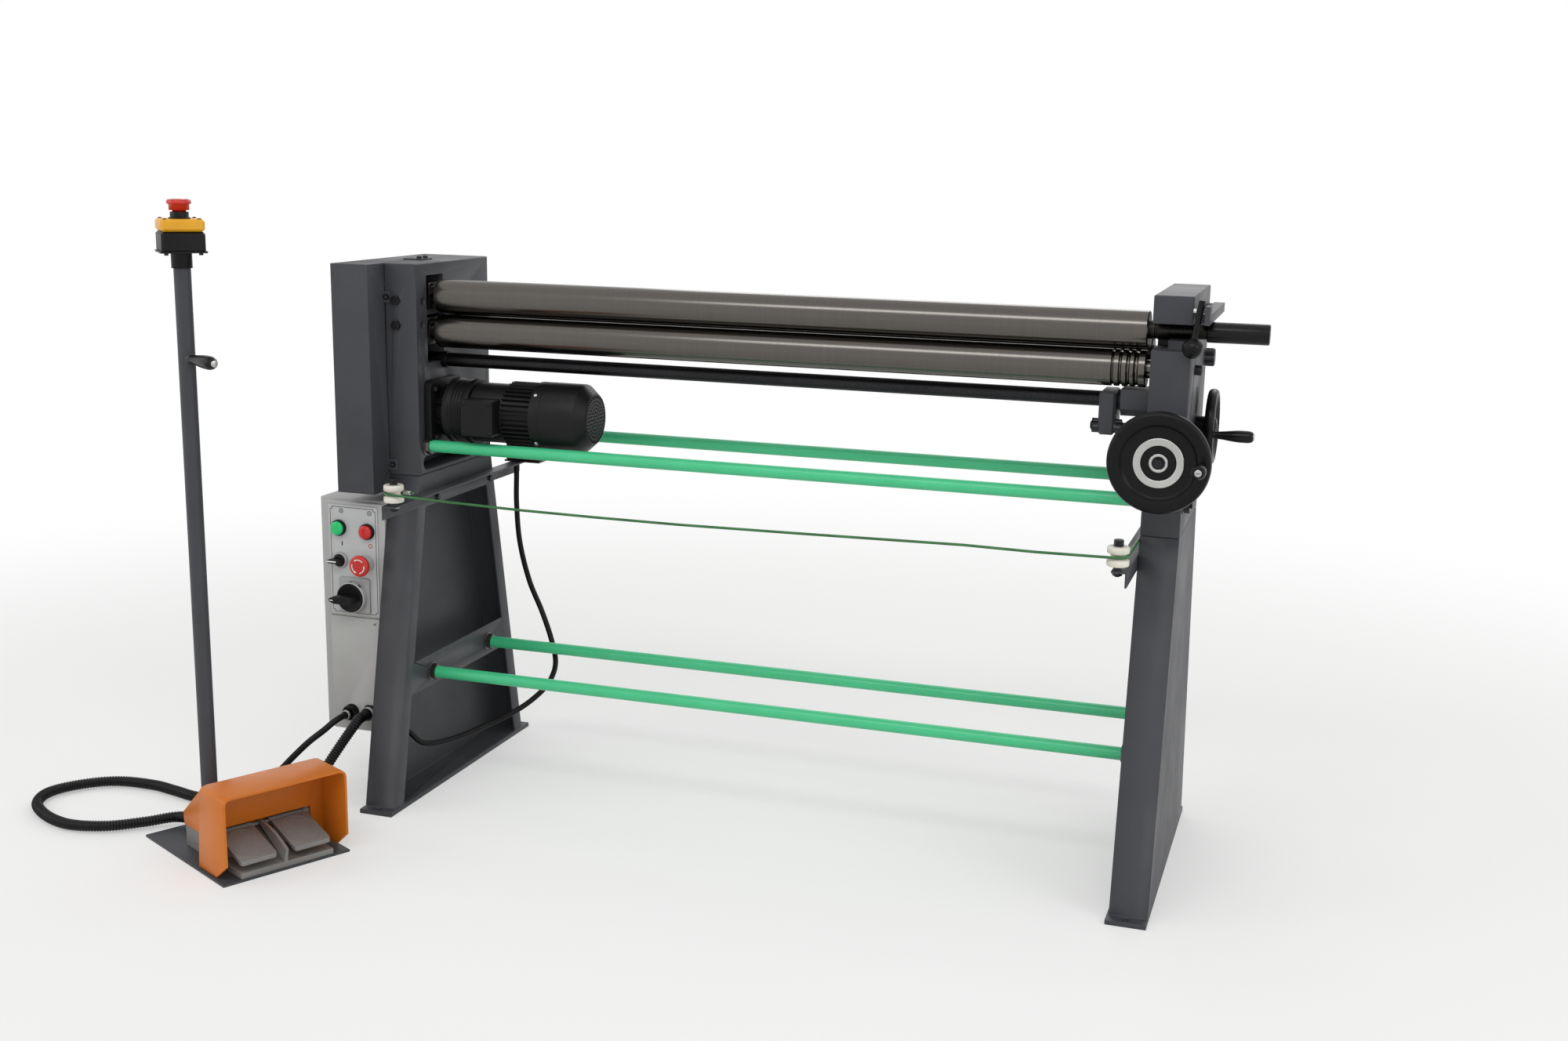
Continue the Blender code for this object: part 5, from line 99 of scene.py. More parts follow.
def addNode(tree, kind, inputs=None, **settings):
    # one node with its settings; each input gets a plain value or the socket that feeds it
    node = tree.nodes.new(kind)
    for key, value in settings.items():
        setattr(node, key, value)
    for key, value in (inputs or {}).items():
        if isinstance(value, bpy.types.NodeSocket):
            tree.links.new(value, node.inputs[key])
        else:
            node.inputs[key].default_value = value
    return node


def reckon(tree, operation, *values):
    return addNode(tree, "ShaderNodeMath", dict(enumerate(values)), operation=operation).outputs[0]


def noise(tree, vector, scale, detail, roughness=0.5):
    values = {"Vector": vector, "Scale": scale, "Detail": detail, "Roughness": roughness}
    return addNode(tree, "ShaderNodeTexNoise", values).outputs["Fac"]


def mixColours(tree, first, second, factor):
    # first and second are hex colours, or a colour socket
    first, second = (linear(value) if isinstance(value, str) else value for value in (first, second))
    return addNode(tree, "ShaderNodeMix", {0: factor, 6: first, 7: second}, data_type="RGBA").outputs[2]


def spread(tree, value, low, high, toLow=0.0, toHigh=1.0, **settings):
    values = {"Value": value, "From Min": low, "From Max": high, "To Min": toLow, "To Max": toHigh}
    return addNode(tree, "ShaderNodeMapRange", values, **settings).outputs["Result"]


def startFinish(name):
    made = bpy.data.materials.new(name)
    made.use_nodes = True
    tree = made.node_tree
    return made, tree, addNode(tree, "ShaderNodeTexCoord").outputs["Object"]


def endFinish(made, colour, rough, height, bumpStrength, bumpDepth, **levels):
    # colour, roughness and skin into the material's own shader, and its plain levels
    tree, shader = made.node_tree, made.node_tree.nodes["Principled BSDF"]
    bump = addNode(tree, "ShaderNodeBump", {"Height": height, "Strength": bumpStrength, "Distance": bumpDepth
            * mm})
    for key, socket in (("Base Color", colour), ("Roughness", rough), ("Normal", bump.outputs["Normal"])):
        tree.links.new(socket, shader.inputs[key])
    for key, value in levels.items():
        shader.inputs[key.replace("_", " ")].default_value = value
    return made


def sprayedPaint(name, colour, shade, dust, roughness, peel=2.2, peelDepth=0.05, specular=0.5):
    # a paint sprayed on metal: an orange peel skin, slow changes of tone and a little dry dust
    made, tree, coordinates = startFinish(name)
    slow = noise(tree, coordinates, 7.0, 4.0, 0.6)
    toned = mixColours(tree, colour, shade, spread(tree, slow, 0.35, 0.7))
    dusty = mixColours(tree, toned, dust, spread(tree, noise(tree, coordinates, 420.0, 3.0), 0.62, 0.85, 0.0,
            0.5))
    rough = spread(tree, slow, 0.3, 0.75, roughness - 0.05, roughness + 0.08)
    skin = noise(tree, coordinates, 1 / (peel * mm), 2.0)
    return endFinish(made, dusty, rough, skin, 0.5, peelDepth, IOR=1.5, Specular_IOR_Level=specular)


def workedMetal(name, colour, shade, roughness, lines, lineDepth, mottle=9.0, grain=(1.0, 0.04, 0.04),
        uneven=1.0):
    # bare metal with the fine lines of its last cut, closer along one axis than across it
    made, tree, coordinates = startFinish(name)
    stretched = addNode(tree, "ShaderNodeMapping", {"Vector": coordinates, "Scale": grain}).outputs["Vector"]
    cut = noise(tree, stretched, lines, 5.0, 0.65)
    tone = mixColours(tree, colour, shade, spread(tree, cut, 0.3, 0.72))
    slow = noise(tree, coordinates, mottle, 3.0)
    aged = mixColours(tree, tone, shade, spread(tree, slow, 0.45, 0.8, 0.0, 0.5))
    rough = spread(tree, cut, 0.25, 0.75, roughness - 0.06 * uneven, roughness + 0.08 * uneven)
    return endFinish(made, aged, rough, cut, 0.4, lineDepth, Metallic=1.0)


def mouldedPlastic(name, colour, shade, roughness, grain=0.6, grainDepth=0.02, subsurface=0.0, specular=0.5):
    # a moulded plastic: spark-eroded grain in the skin and slow tone changes
    made, tree, coordinates = startFinish(name)
    slow = noise(tree, coordinates, 30.0, 3.0)
    toned = mixColours(tree, colour, shade, spread(tree, slow, 0.35, 0.7))
    rough = spread(tree, slow, 0.3, 0.7, roughness - 0.04, roughness + 0.06)
    skin = noise(tree, coordinates, 1 / (grain * mm), 2.0)
    return endFinish(made, toned, rough, skin, 0.4, grainDepth, Subsurface_Weight=subsurface, Subsurface_Scale=2
        * mm, Specular_IOR_Level=specular)


# the grain of a metal that looks the same along each axis
even = (1.0, 1.0, 1.0)
finishes = {
    # stove-dried charcoal paint on the heads, stands and guard, a little dusty and half dull
    "charcoalPaint": sprayedPaint("charcoal machine paint", "#424347", "#3B3C40", "#5A5A5E", 0.46, specular=0.28),
    # the motor's own darker paint over a cast skin
    "motorPaint": sprayedPaint("charcoal motor paint", "#141416", "#0F0F10", "#262628", 0.42, 1.6, 0.12, 0.2),
    # brush-smooth mint green enamel on the tie rods
    "greenPaint": sprayedPaint("mint green enamel", "#46C88C", "#3FBD82", "#7AD3AA", 0.33, 3.0, 0.04),
    # orange enamel baked on the pedal hood
    "orangePaint": sprayedPaint("orange stove enamel", "#D0731C", "#C56A18", "#D98B42", 0.36, 2.4, 0.05, 0.35),
    # fine light grey powder coat on the cabinet
    "cabinetPaint": sprayedPaint("light grey powder coat", "#B4B5B4", "#ABADAB", "#C2C2BE", 0.52, 0.9, 0.06),
    # mid grey paint over the rough cast pedals and their base
    "castGreyPaint": sprayedPaint("grey paint on castings", "#8A8886", "#7D7B79", "#9B9997", 0.55, 1.1, 0.2),
    # gloss black stoved paint on the handwheels
    "wheelPaint": sprayedPaint("gloss black enamel", "#0C0C0D", "#080809", "#171718", 0.3, 3.5, 0.03, 0.18),
    # ground and polished roll steel, its lines running round the roll
    "rollSteel": workedMetal("ground roll steel", "#63605C", "#5D5A57", 0.2, 260.0, 0.0001, 5.0,
                             (1.0, 0.02, 0.02), 0.2),
    # milled gear steel with a film of oil
    "gearSteel": workedMetal("milled gear steel", "#8F8C86", "#6A6761", 0.34, 500.0, 0.02),
    # bright turned steel on pins, screws and the dial
    "brightSteel": workedMetal("turned bright steel", "#C9C9C7", "#A5A5A2", 0.28, 1400.0, 0.01, 20.0, even),
    # blued dark steel on bolts, nuts and the cross shaft
    "darkSteel": workedMetal("blackened steel", "#3A3A3C", "#242426", 0.42, 600.0, 0.02, 14.0, even),
    # oily machined iron of the bearing blocks
    "blockIron": workedMetal("oiled machined iron", "#4A4844", "#33312E", 0.4, 400.0, 0.03, 16.0, even),
    # oiled steel of the big nuts and washers on the tie rods
    "nutSteel": workedMetal("oiled nut steel", "#747270", "#575553", 0.36, 500.0, 0.01, 16.0, even),
    # blued and oiled steel on the swinging end of the top roll
    "journalSteel": workedMetal("oiled dark journal steel", "#33322F", "#262523", 0.36, 700.0, 0.002, 9.0),
    # satin polyester film on the panel and its silk-screened inks
    "panelFilm": sprayedPaint("satin panel film", "#BEC0C1", "#B8BABB", "#C8CACA", 0.38, 0.5, 0.01),
    "panelInk": sprayedPaint("black panel ink", "#17171A", "#111113", "#2A2A2C", 0.5, 0.8, 0.01),
    "panelRedInk": sprayedPaint("red panel ink", "#B5281F", "#A5221B", "#C04A40", 0.5, 0.8, 0.01),
    "whiteInk": sprayedPaint("white device ink", "#E9E9E6", "#DEDEDB", "#F2F2F0", 0.45, 0.8, 0.01),
    # moulded plastics of knobs, plugs, grips, switches, buttons and pulleys
    "blackPlastic": mouldedPlastic("black moulded nylon", "#111112", "#0B0B0C", 0.4, specular=0.2),
    "gripPlastic": mouldedPlastic("black phenolic grip", "#0C0C0D", "#08080A", 0.27, 2.0, 0.01, specular=0.22),
    "palePlastic": mouldedPlastic("light grey device plastic", "#A6A7A7", "#9C9D9D", 0.4),
    "yellowPlastic": mouldedPlastic("yellow box plastic", "#E8A91A", "#DE9E14", 0.36),
    "redPlastic": mouldedPlastic("red button plastic", "#CB2A20", "#B8221A", 0.3, 1.2, 0.01, 0.05),
    "redLens": mouldedPlastic("red lamp lens", "#D0201C", "#AE1512", 0.16, 1.6, 0.05, 0.1),
    "greenLens": mouldedPlastic("green lamp lens", "#16C972", "#0FB463", 0.16, 1.6, 0.05, 0.1),
    "nylon": mouldedPlastic("natural nylon", "#E6E3D8", "#D8D4C6", 0.42, 1.0, 0.03, 0.15),
    # extruded jackets of the rope, the cables and the hose
    "ropeCover": mouldedPlastic("green rope cover", "#2E6E34", "#24592B", 0.4, 1.4, 0.15),
    "cableJacket": mouldedPlastic("black cable jacket", "#0F0F10", "#0A0A0B", 0.45, 1.5, 0.03, specular=0.2),
    "hoseJacket": mouldedPlastic("black ribbed hose", "#0D0D0E", "#09090A", 0.34, 1.5, 0.02, specular=0.22),
}
# the material slot of a small piece that stands for no node of its own
finishSlots = {
    "charcoalPaint": "charcoal_hammer_paint", "motorPaint": "charcoal_motor_paint", "brightSteel": "ground_steel",
    "darkSteel": "black_oxide_iron", "journalSteel": "gear_steel", "blackPlastic": "black_plastic",
    "palePlastic": "silver_panel_film", "panelInk": "black_plastic", "panelRedInk": "red_plastic",
    "whiteInk": "black_plastic",
}
print("finishes made:", len(finishes))


# shapes shared by all pieces
def toAxis(axis, along, across, up):
    return Vector({"X": (along, across, up), "Y": (across, along, up), "Z": (across, up, along)}[axis])


def makeObject(name, bm, finish, fromModel=False):
    # a mesh from the model is in metres already and its faces look outward
    if not fromModel:
        bmesh.ops.recalc_face_normals(bm, faces=bm.faces)
        bm.transform(Matrix.Scale(mm, 4))
    mesh = bpy.data.meshes.new(name)
    bm.to_mesh(mesh)
    bm.free()
    mesh.shade_smooth()
    mesh.materials.append(finishes[finish])
    return linked(name, mesh)


def settle(piece, node=None, body="machine_frame", slot=None, place=machinePlace):
    # move the mesh to its place, hang it on its body and hide the model's node that it stands for
    if place is not None:
        piece.data.transform(place)
    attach(piece, bodyOf[node] if node else body)
    if node:
        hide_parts(node)
    return piece


def soften(piece, width, steps=2):
    # a small rounding on each edge sharper than the angle
    rounding = piece.modifiers.new("edgeRounding", "BEVEL")
    rounding.width = width * mm
    rounding.segments = steps
    rounding.limit_method = "ANGLE"
    rounding.angle_limit = roundedFrom
    rounding.harden_normals = True
    rounding.use_clamp_overlap = True
    rounding.miter_outer = "MITER_ARC"


def shaped(name, bm, finish, edge, steps=2, **where):
    piece = makeObject(name, bm, finish)
    if edge:
        soften(piece, edge, steps)
    if "node" not in where:
        where.setdefault("slot", finishSlots[finish])
    return settle(piece, **where)


def latheMesh(profile, axis, centre, sides, closed=False):
    # revolve (along, radius) points; a closed profile leaves its bore open
    bm = bmesh.new()
    rings = []
    for along, radius in profile:
        angles = [tau * (i + 0.5) / sides for i in range(sides)]
        rings.append([bm.verts.new(toAxis(axis, along, centre[0] + radius * cos(a), centre[1] + radius * sin(a)))
                for a in angles])
    if not closed:
        bm.faces.new(rings[0])
        bm.faces.new(rings[-1])
    for ring, following in zip(rings, rings[1:] + rings[:1] if closed else rings[1:]):
        for i in range(sides):
            j = (i + 1) % sides
            bm.faces.new((ring[i], ring[j], following[j], following[i]))
    return bm


def lathe(name, profile, axis, centre, finish, sides=72, closed=False, edge=0.4, **where):
    return shaped(name, latheMesh(profile, axis, centre, sides, closed), finish, edge, **where)


def prismMesh(outline, axis, start, end):
    bm = bmesh.new()
    lower, upper = ([bm.verts.new(toAxis(axis, along, a, b)) for a, b in outline] for along in (start, end))
    count = len(outline)
    bm.faces.new(lower)
    bm.faces.new(upper)
    for i in range(count):
        j = (i + 1) % count
        bm.faces.new((lower[i], lower[j], upper[j], upper[i]))
    return bm


def prism(name, outline, axis, start, end, finish, edge=0.4, **where):
    return shaped(name, prismMesh(outline, axis, start, end), finish, edge, **where)


def blockOutline(low, high):
    return [(low[0], low[1]), (high[0], low[1]), (high[0], high[1]), (low[0], high[1])]


def hexOutline(acrossFlats):
    radius = acrossFlats / sqrt(3)
    return [(radius * cos(tau * i / 6), radius * sin(tau * i / 6)) for i in range(6)]


def recoloured(piece, finish, chosen):
    # another finish on the faces whose centre is chosen
    piece.data.materials.append(finishes[finish])
    for polygon in piece.data.polygons:
        if chosen(polygon.center):
            polygon.material_index = 1


def dressed(node, finish, edge=0.8, steps=2, joined=True):
    # the model's own solid with its triangles joined into clean faces and its edges rounded
    bm = bmesh.new()
    bm.from_mesh(frame["nodes"][node].data)
    bmesh.ops.remove_doubles(bm, verts=bm.verts, dist=0.02 * mm)
    if joined:
        bmesh.ops.dissolve_limit(bm, angle_limit=radians(0.6), verts=bm.verts, edges=bm.edges)
    piece = makeObject(node.replace("_", "-"), bm, finish, True)
    soften(piece, edge, steps)
    return settle(piece, node, place=None)


def joinMeshes(parts):
    # several meshes as one
    bm = bmesh.new()
    for part in parts:
        mesh = bpy.data.meshes.new("part")
        part.to_mesh(mesh)
        part.free()
        bm.from_mesh(mesh)
        bpy.data.meshes.remove(mesh)
    return bm


# Geometry Nodes trees for what repeats
def startTree(name, sockets):
    # sockets holds the kind of each input and its value until the modifier sets it
    tree = bpy.data.node_groups.new(name, "GeometryNodeTree")
    tree.interface.new_socket("Geometry", in_out="INPUT", socket_type="NodeSocketGeometry")
    for label, (kind, value) in sockets.items():
        socket = tree.interface.new_socket(label, in_out="INPUT", socket_type="NodeSocket" + kind)
        if value is not None:
            socket.default_value = value
    tree.interface.new_socket("Geometry", in_out="OUTPUT", socket_type="NodeSocketGeometry")
    return tree, addNode(tree, "NodeGroupInput").outputs


def endTree(tree, given, geometry):
    real = addNode(tree, "GeometryNodeRealizeInstances", {"Geometry": geometry}).outputs[0]
    finished = addNode(tree, "GeometryNodeSetMaterial", {"Geometry": real, "Material": given["Finish"]}).outputs[
        0]
    smooth = addNode(tree, "GeometryNodeSetShadeSmooth", {0: finished}).outputs[0]
    addNode(tree, "NodeGroupOutput", {"Geometry": smooth})
    return tree


def placesTree():
    # one copy of a template at each point, turned by the point's own angles
    tree, given = startTree("copiesAtPoints", {"Template": ("Object", None), "Finish": ("Material", None)})
    template = addNode(tree, "GeometryNodeObjectInfo", {"Object": given["Template"]}).outputs["Geometry"]
    turn = addNode(tree, "GeometryNodeInputNamedAttribute", {"Name": "turn"}, data_type="FLOAT_VECTOR")
    values = {"Points": given["Geometry"], "Instance": template, "Rotation": turn.outputs["Attribute"]}
    return endTree(tree, given, addNode(tree, "GeometryNodeInstanceOnPoints", values).outputs[0])


def roundTree():
    # copies of a template turned about an axis through zero, evenly
    sockets = {"Template": ("Object", None), "Finish": ("Material", None), "Count": ("Int", 12),
        "Axis": ("Vector", None), "Start": ("Float", 0.0)}
    tree, given = startTree("copiesRoundAxis", sockets)
    template = addNode(tree, "GeometryNodeObjectInfo", {"Object": given["Template"]}).outputs["Geometry"]
    points = addNode(tree, "GeometryNodeMeshLine", {"Offset": (0, 0, 0), "Count": given["Count"]}).outputs[0]
    share = reckon(tree, "DIVIDE", addNode(tree, "GeometryNodeInputIndex").outputs[0], given["Count"])
    angle = reckon(tree, "MULTIPLY_ADD", share, tau, given["Start"])
    turn = addNode(tree, "ShaderNodeVectorMath", {0: given["Axis"], "Scale": angle}, operation="SCALE").outputs[0]
    values = {"Points": points, "Instance": template, "Rotation": turn}
    return endTree(tree, given, addNode(tree, "GeometryNodeInstanceOnPoints", values).outputs[0])


trees = {"places": placesTree(), "round": roundTree()}
# the turn that lays a template's +Z along each way
turnTo = {
    "+X": (0, pi / 2, 0), "-X": (0, -pi / 2, 0), "+Y": (-pi / 2, 0, 0), "-Y": (pi / 2, 0, 0), "+Z": (0, 0, 0),
    "-Z": (pi, 0, 0),
}


def runTree(name, carrier, tree, values, template=None):
    # set the inputs, take the result as a plain mesh and drop what made it
    modifier = carrier.modifiers.new(tree.name, "NODES")
    modifier.node_group = tree
    for item in tree.interface.items_tree:
        if item.item_type == "SOCKET" and item.in_out == "INPUT" and item.name in values:
            modifier[item.identifier] = values[item.name]
    bpy.context.view_layer.update()
    mesh = bpy.data.meshes.new_from_object(carrier.evaluated_get(bpy.context.evaluated_depsgraph_get()))
    mesh.name = name
    for used in filter(None, (carrier, template)):
        bpy.data.objects.remove(used)
    return linked(name, mesh)


def copiesAt(name, template, places, finish, **where):
    # places holds (point, way) pairs; the template is a bmesh made round zero
    template = makeObject("template", template, finish)
    mesh = bpy.data.meshes.new("points")
    mesh.from_pydata([tuple(Vector(point) * mm) for point, way in places], [], [])
    turns = mesh.attributes.new("turn", "FLOAT_VECTOR", "POINT")
    for i, (point, way) in enumerate(places):
        turns.data[i].vector = turnTo.get(way, way)
    values = {"Template": template, "Finish": finishes[finish]}
    piece = runTree(name, linked("points", mesh), trees["places"], values, template)
    piece.data.set_sharp_from_angle(angle=sharpFrom)
    return settle(piece, **where)


def copiesRound(name, template, axis, count, centre, finish, start=0.0, **where):
    template = makeObject("template", template, finish)
    values = {"Template": template, "Finish": finishes[finish], "Count": count, "Axis": toAxis(axis, 1, 0, 0),
        "Start": start}
    carrier = linked("carrier", bpy.data.meshes.new("carrier"))
    piece = runTree(name, carrier, trees["round"], values, template)
    piece.data.set_sharp_from_angle(angle=sharpFrom)
    piece.data.transform(Matrix.Translation(toAxis(axis, 0.0, *centre) * mm))
    return settle(piece, slot=finishSlots[finish], **where)


# sizes in millimetres, in the machine's own frame: X along the rolls, -Y to the operator
rollSizes = {
    "radius": 30, "half": 635, "journal": 15, "topZ": 927, "bottomZ": 864, "rearY": 75, "rearZ": 880,
    "end": 1.6,
}
# half the distance between the heads, and the play between pieces that touch
headInner, gap = 646.5, 0.3


def roundedEnd(along, radius, inward, width):
    # the two points of a small chamfered end of a turned bar
    return [(along, radius - width), (along + inward * width, radius)]


def makeRolls(s):
    half, radius, journal = s["half"], s["radius"], s["journal"]
    top, bottom, rear = (0.0, s["topZ"]), (0.0, s["bottomZ"]), (s["rearY"], s["rearZ"])
    left = [(-half, journal), *roundedEnd(-half, radius, 1, s["end"])]
    right = [*reversed(roundedEnd(half, radius, -1, s["end"])), (half, journal)]
    collarEnd, gripStart, shaftEnd = 666.5, 724.7, 814.7
    profile = [(-725, journal - 1), (-724, journal), *left, *right[:-1], (half, journal - 1)]
    lathe("top-roll-bar", profile, "X", top, "rollSteel", 96, edge=0.5, node="top_roll")
    profile = [(half - 1, journal), (half + 9, journal), (half + 10, journal - 1), (half + 12, journal - 1),
        (half + 13, journal), (collarEnd - 1, journal), (collarEnd, journal - 1), (collarEnd, 12)]
    for share in (0.35, 0.7):
        # shallow turned rings in the part that rests in the head
        middle = collarEnd + (gripStart - collarEnd) * share
        profile += [(middle - 2, 12), (middle - 1, 11.2), (middle + 1, 11.2), (middle + 2, 12)]
    profile += [(gripStart, 12), (gripStart, 10), (shaftEnd, 10)]
    lathe("top-roll-journal", profile, "X", top, "journalSteel", 72, edge=0.3, body="top_roll")
    profile = [(-743.5, journal - 1), (-742.5, journal), *left]
    pitch, deep, lastGroove = 12.5, 3.2, half - 15.5
    widths = (4.5, 5.5, 6.5, 8.0)
    for i, width in enumerate(widths):
        middle = lastGroove - pitch * (len(widths) - 1 - i)
        for step in range(9):
            share = step / 8
            dip = sin(pi * share) ** 0.75
            profile.append((middle + (share - 0.5) * width, radius - deep * dip))
    profile += [*right, (694.5, journal), (695.5, journal - 1)]
    lathe("bottom-roll-bar", profile, "X", bottom, "rollSteel", 96, edge=0.25, node="bottom_roll")
    profile = [(-694.5, journal), *left, *right, (694.5, journal)]
    lathe("rear-roll-bar", profile, "X", rear, "rollSteel", 96, edge=0.5, node="rear_roll")
    print("rolls made")


def washerMesh(outer, inner, thickness):
    profile = [(0, outer), (thickness * 0.8, outer), (thickness, outer * 0.97), (thickness, inner), (0, inner)]
    return latheMesh(profile, "Z", (0, 0), 36, True)


def hexHeadMesh(acrossFlats, height, washer=0.0):
    # a hexagon head standing on zero: chamfered corners and a turned washer face
    bm = prismMesh(hexOutline(acrossFlats), "Z", washer, height)
    corner = acrossFlats / sqrt(3)
    for vert in bm.verts:
        if vert.co.z > height - 0.01:
            vert.co.x *= 0.93
            vert.co.y *= 0.93
    ring = prismMesh(hexOutline(acrossFlats), "Z", washer, height - corner * 0.13)
    parts = [bm, ring]
    if washer:
        parts.append(latheMesh([(0, acrossFlats * 0.47), (washer, acrossFlats * 0.47)], "Z", (0, 0), 30))
    return joinMeshes(parts)


def threadMesh(radius, start, end, pitch):
    # turned rings that read as a thread
    profile = []
    along = start
    while along < end - pitch / 2:
        profile += [(along, radius * 0.92), (along + pitch / 2, radius)]
        along += pitch
    profile.append((end, radius * 0.88))
    return latheMesh(profile, "Z", (0, 0), 24)


def nutMesh(acrossFlats, height, bore, tail):
    # a nut standing on zero, with the end of its bolt standing out
    bm = prismMesh(hexOutline(acrossFlats), "Z", 0.0, height)
    thread = threadMesh(bore, height - 0.5, height + tail, 1.5)
    return joinMeshes([bm, thread])


def socketScrewMesh(diameter, height, socket):
    # a cap screw with a chamfered rim and a sunk socket
    radius, floor = diameter / 2, height * 0.45
    profile = [(0, radius), (height * 0.85, radius), (height, radius * 0.9), (height, socket * 0.62),
        (floor, socket * 0.58), (floor, 0.02), (0, 0.02)]
    return latheMesh(profile, "Z", (0, 0), 30, True)


def panScrewMesh(diameter, height, recess):
    # a domed screw head with a recess in its middle
    angles = [pi / 12 * i for i in range(1, 6)]
    dome = [(0, diameter / 2)] + [(height * sin(a), diameter / 2 * cos(a) ** 0.6) for a in angles]
    dome += [(height, recess / 2), (height * 0.4, recess / 3), (height * 0.4, 0.02), (0, 0.02)]
    return latheMesh(dome, "Z", (0, 0), 24, True)


def makeTieRods():
    places = {"upper_front_rod": (-42.5, 658.0, 62.0), "upper_rear_rod": (178.5, 658.0, 62.0),
        "lower_front_rod": (-42.5, 230.0, 4.0), "lower_rear_rod": (178.5, 230.0, 4.0)}
    near = headInner - gap
    reach = near - 10
    tube = [(-reach, 8), (-reach, 10.2), (-reach + 0.8, 11), (reach - 0.8, 11), (reach, 10.2), (reach, 8)]
    inner, outer = [], []
    for node, (y, z, wall) in places.items():
        lathe(node.replace("_", "-"), tube, "X", (y, z), "greenPaint", 40, edge=0.3, node=node)
        far = headInner + wall + gap
        for side, outward, inward in ((-1, "-X", "+X"), (1, "+X", "-X")):
            inner.append(((side * near, y, z), inward))
            outer.append(((side * far, y, z), outward))
    copiesAt("tie-rod-inner-nuts", nutMesh(27, 11, 10, 0.5), inner, "nutSteel")
    copiesAt("tie-rod-outer-nuts", nutMesh(27, 11, 8, 4), outer, "darkSteel")
    copiesAt("tie-rod-washers", washerMesh(17, 8.3, 1.6), inner + outer, "nutSteel")
    print("tie rods made")


def makeHeads():
    for node in ("left_stand", "right_stand"):
        dressed(node, "charcoalPaint", 1.0, joined=False)
    for node, edge in (("left_head", 0.7), ("right_head", 0.7), ("gear_guard", 0.9), ("latch_bar", 0.6),
            ("shaft_bracket", 0.6)):
        dressed(node, "charcoalPaint", edge)
    for node in ("top_swing_bearing", "bottom_bearing_left", "bottom_bearing_right", "rear_bearing_left",
            "rear_bearing_right"):
        dressed(node, "blockIron", 0.7)
    for node in ("top_roll_gear", "drive_gear", "drive_pinion"):
        dressed(node, "gearSteel", 0.35)
    print("heads, stands, guard and gears made")


frontWheel = {
    "centre": (676.5, 737), "radius": 80, "front": -150, "depth": 20, "rim": 26, "web": 8, "hub": 22.5,
    "grip": 42, "dialOut": 39.5, "dialIn": 27, "dial": 4,
}
sideWheel = {
    "centre": (104, 762), "radius": 62.5, "start": 725, "depth": 16, "rim": 16, "hub": 16, "shaft": 8,
    "grip": 62,
}


def gripShape(start, length, root, belly, bore=4.3, steps=14, full=0.72, turn=0.86, drop=0.42):
    # a swelling crank grip: a smooth row of (along, radius) points with its bore
    outer = []
    for i in range(steps + 1):
        t = i / steps
        swell = 0.5 - 0.5 * cos(pi * min(t / full, 1.0))
        fall = 1.0 if t < turn else sqrt(1.0 - ((t - turn) / (1 - turn)) ** 2 * drop)
        outer.append((start + length * t, (root + (belly - root) * swell) / 2 * fall))
    return outer + [(outer[-1][0], bore), (outer[0][0], bore)]


def rimShape(middle, half, radius, hollow):
    # a flattened round from the rim's inside at one face, over its outside, to the other face
    angles = [pi * i / 16 for i in range(17)]
    return [(middle + half * cos(a), radius - hollow * (1 - sin(a) ** 0.55)) for a in angles]


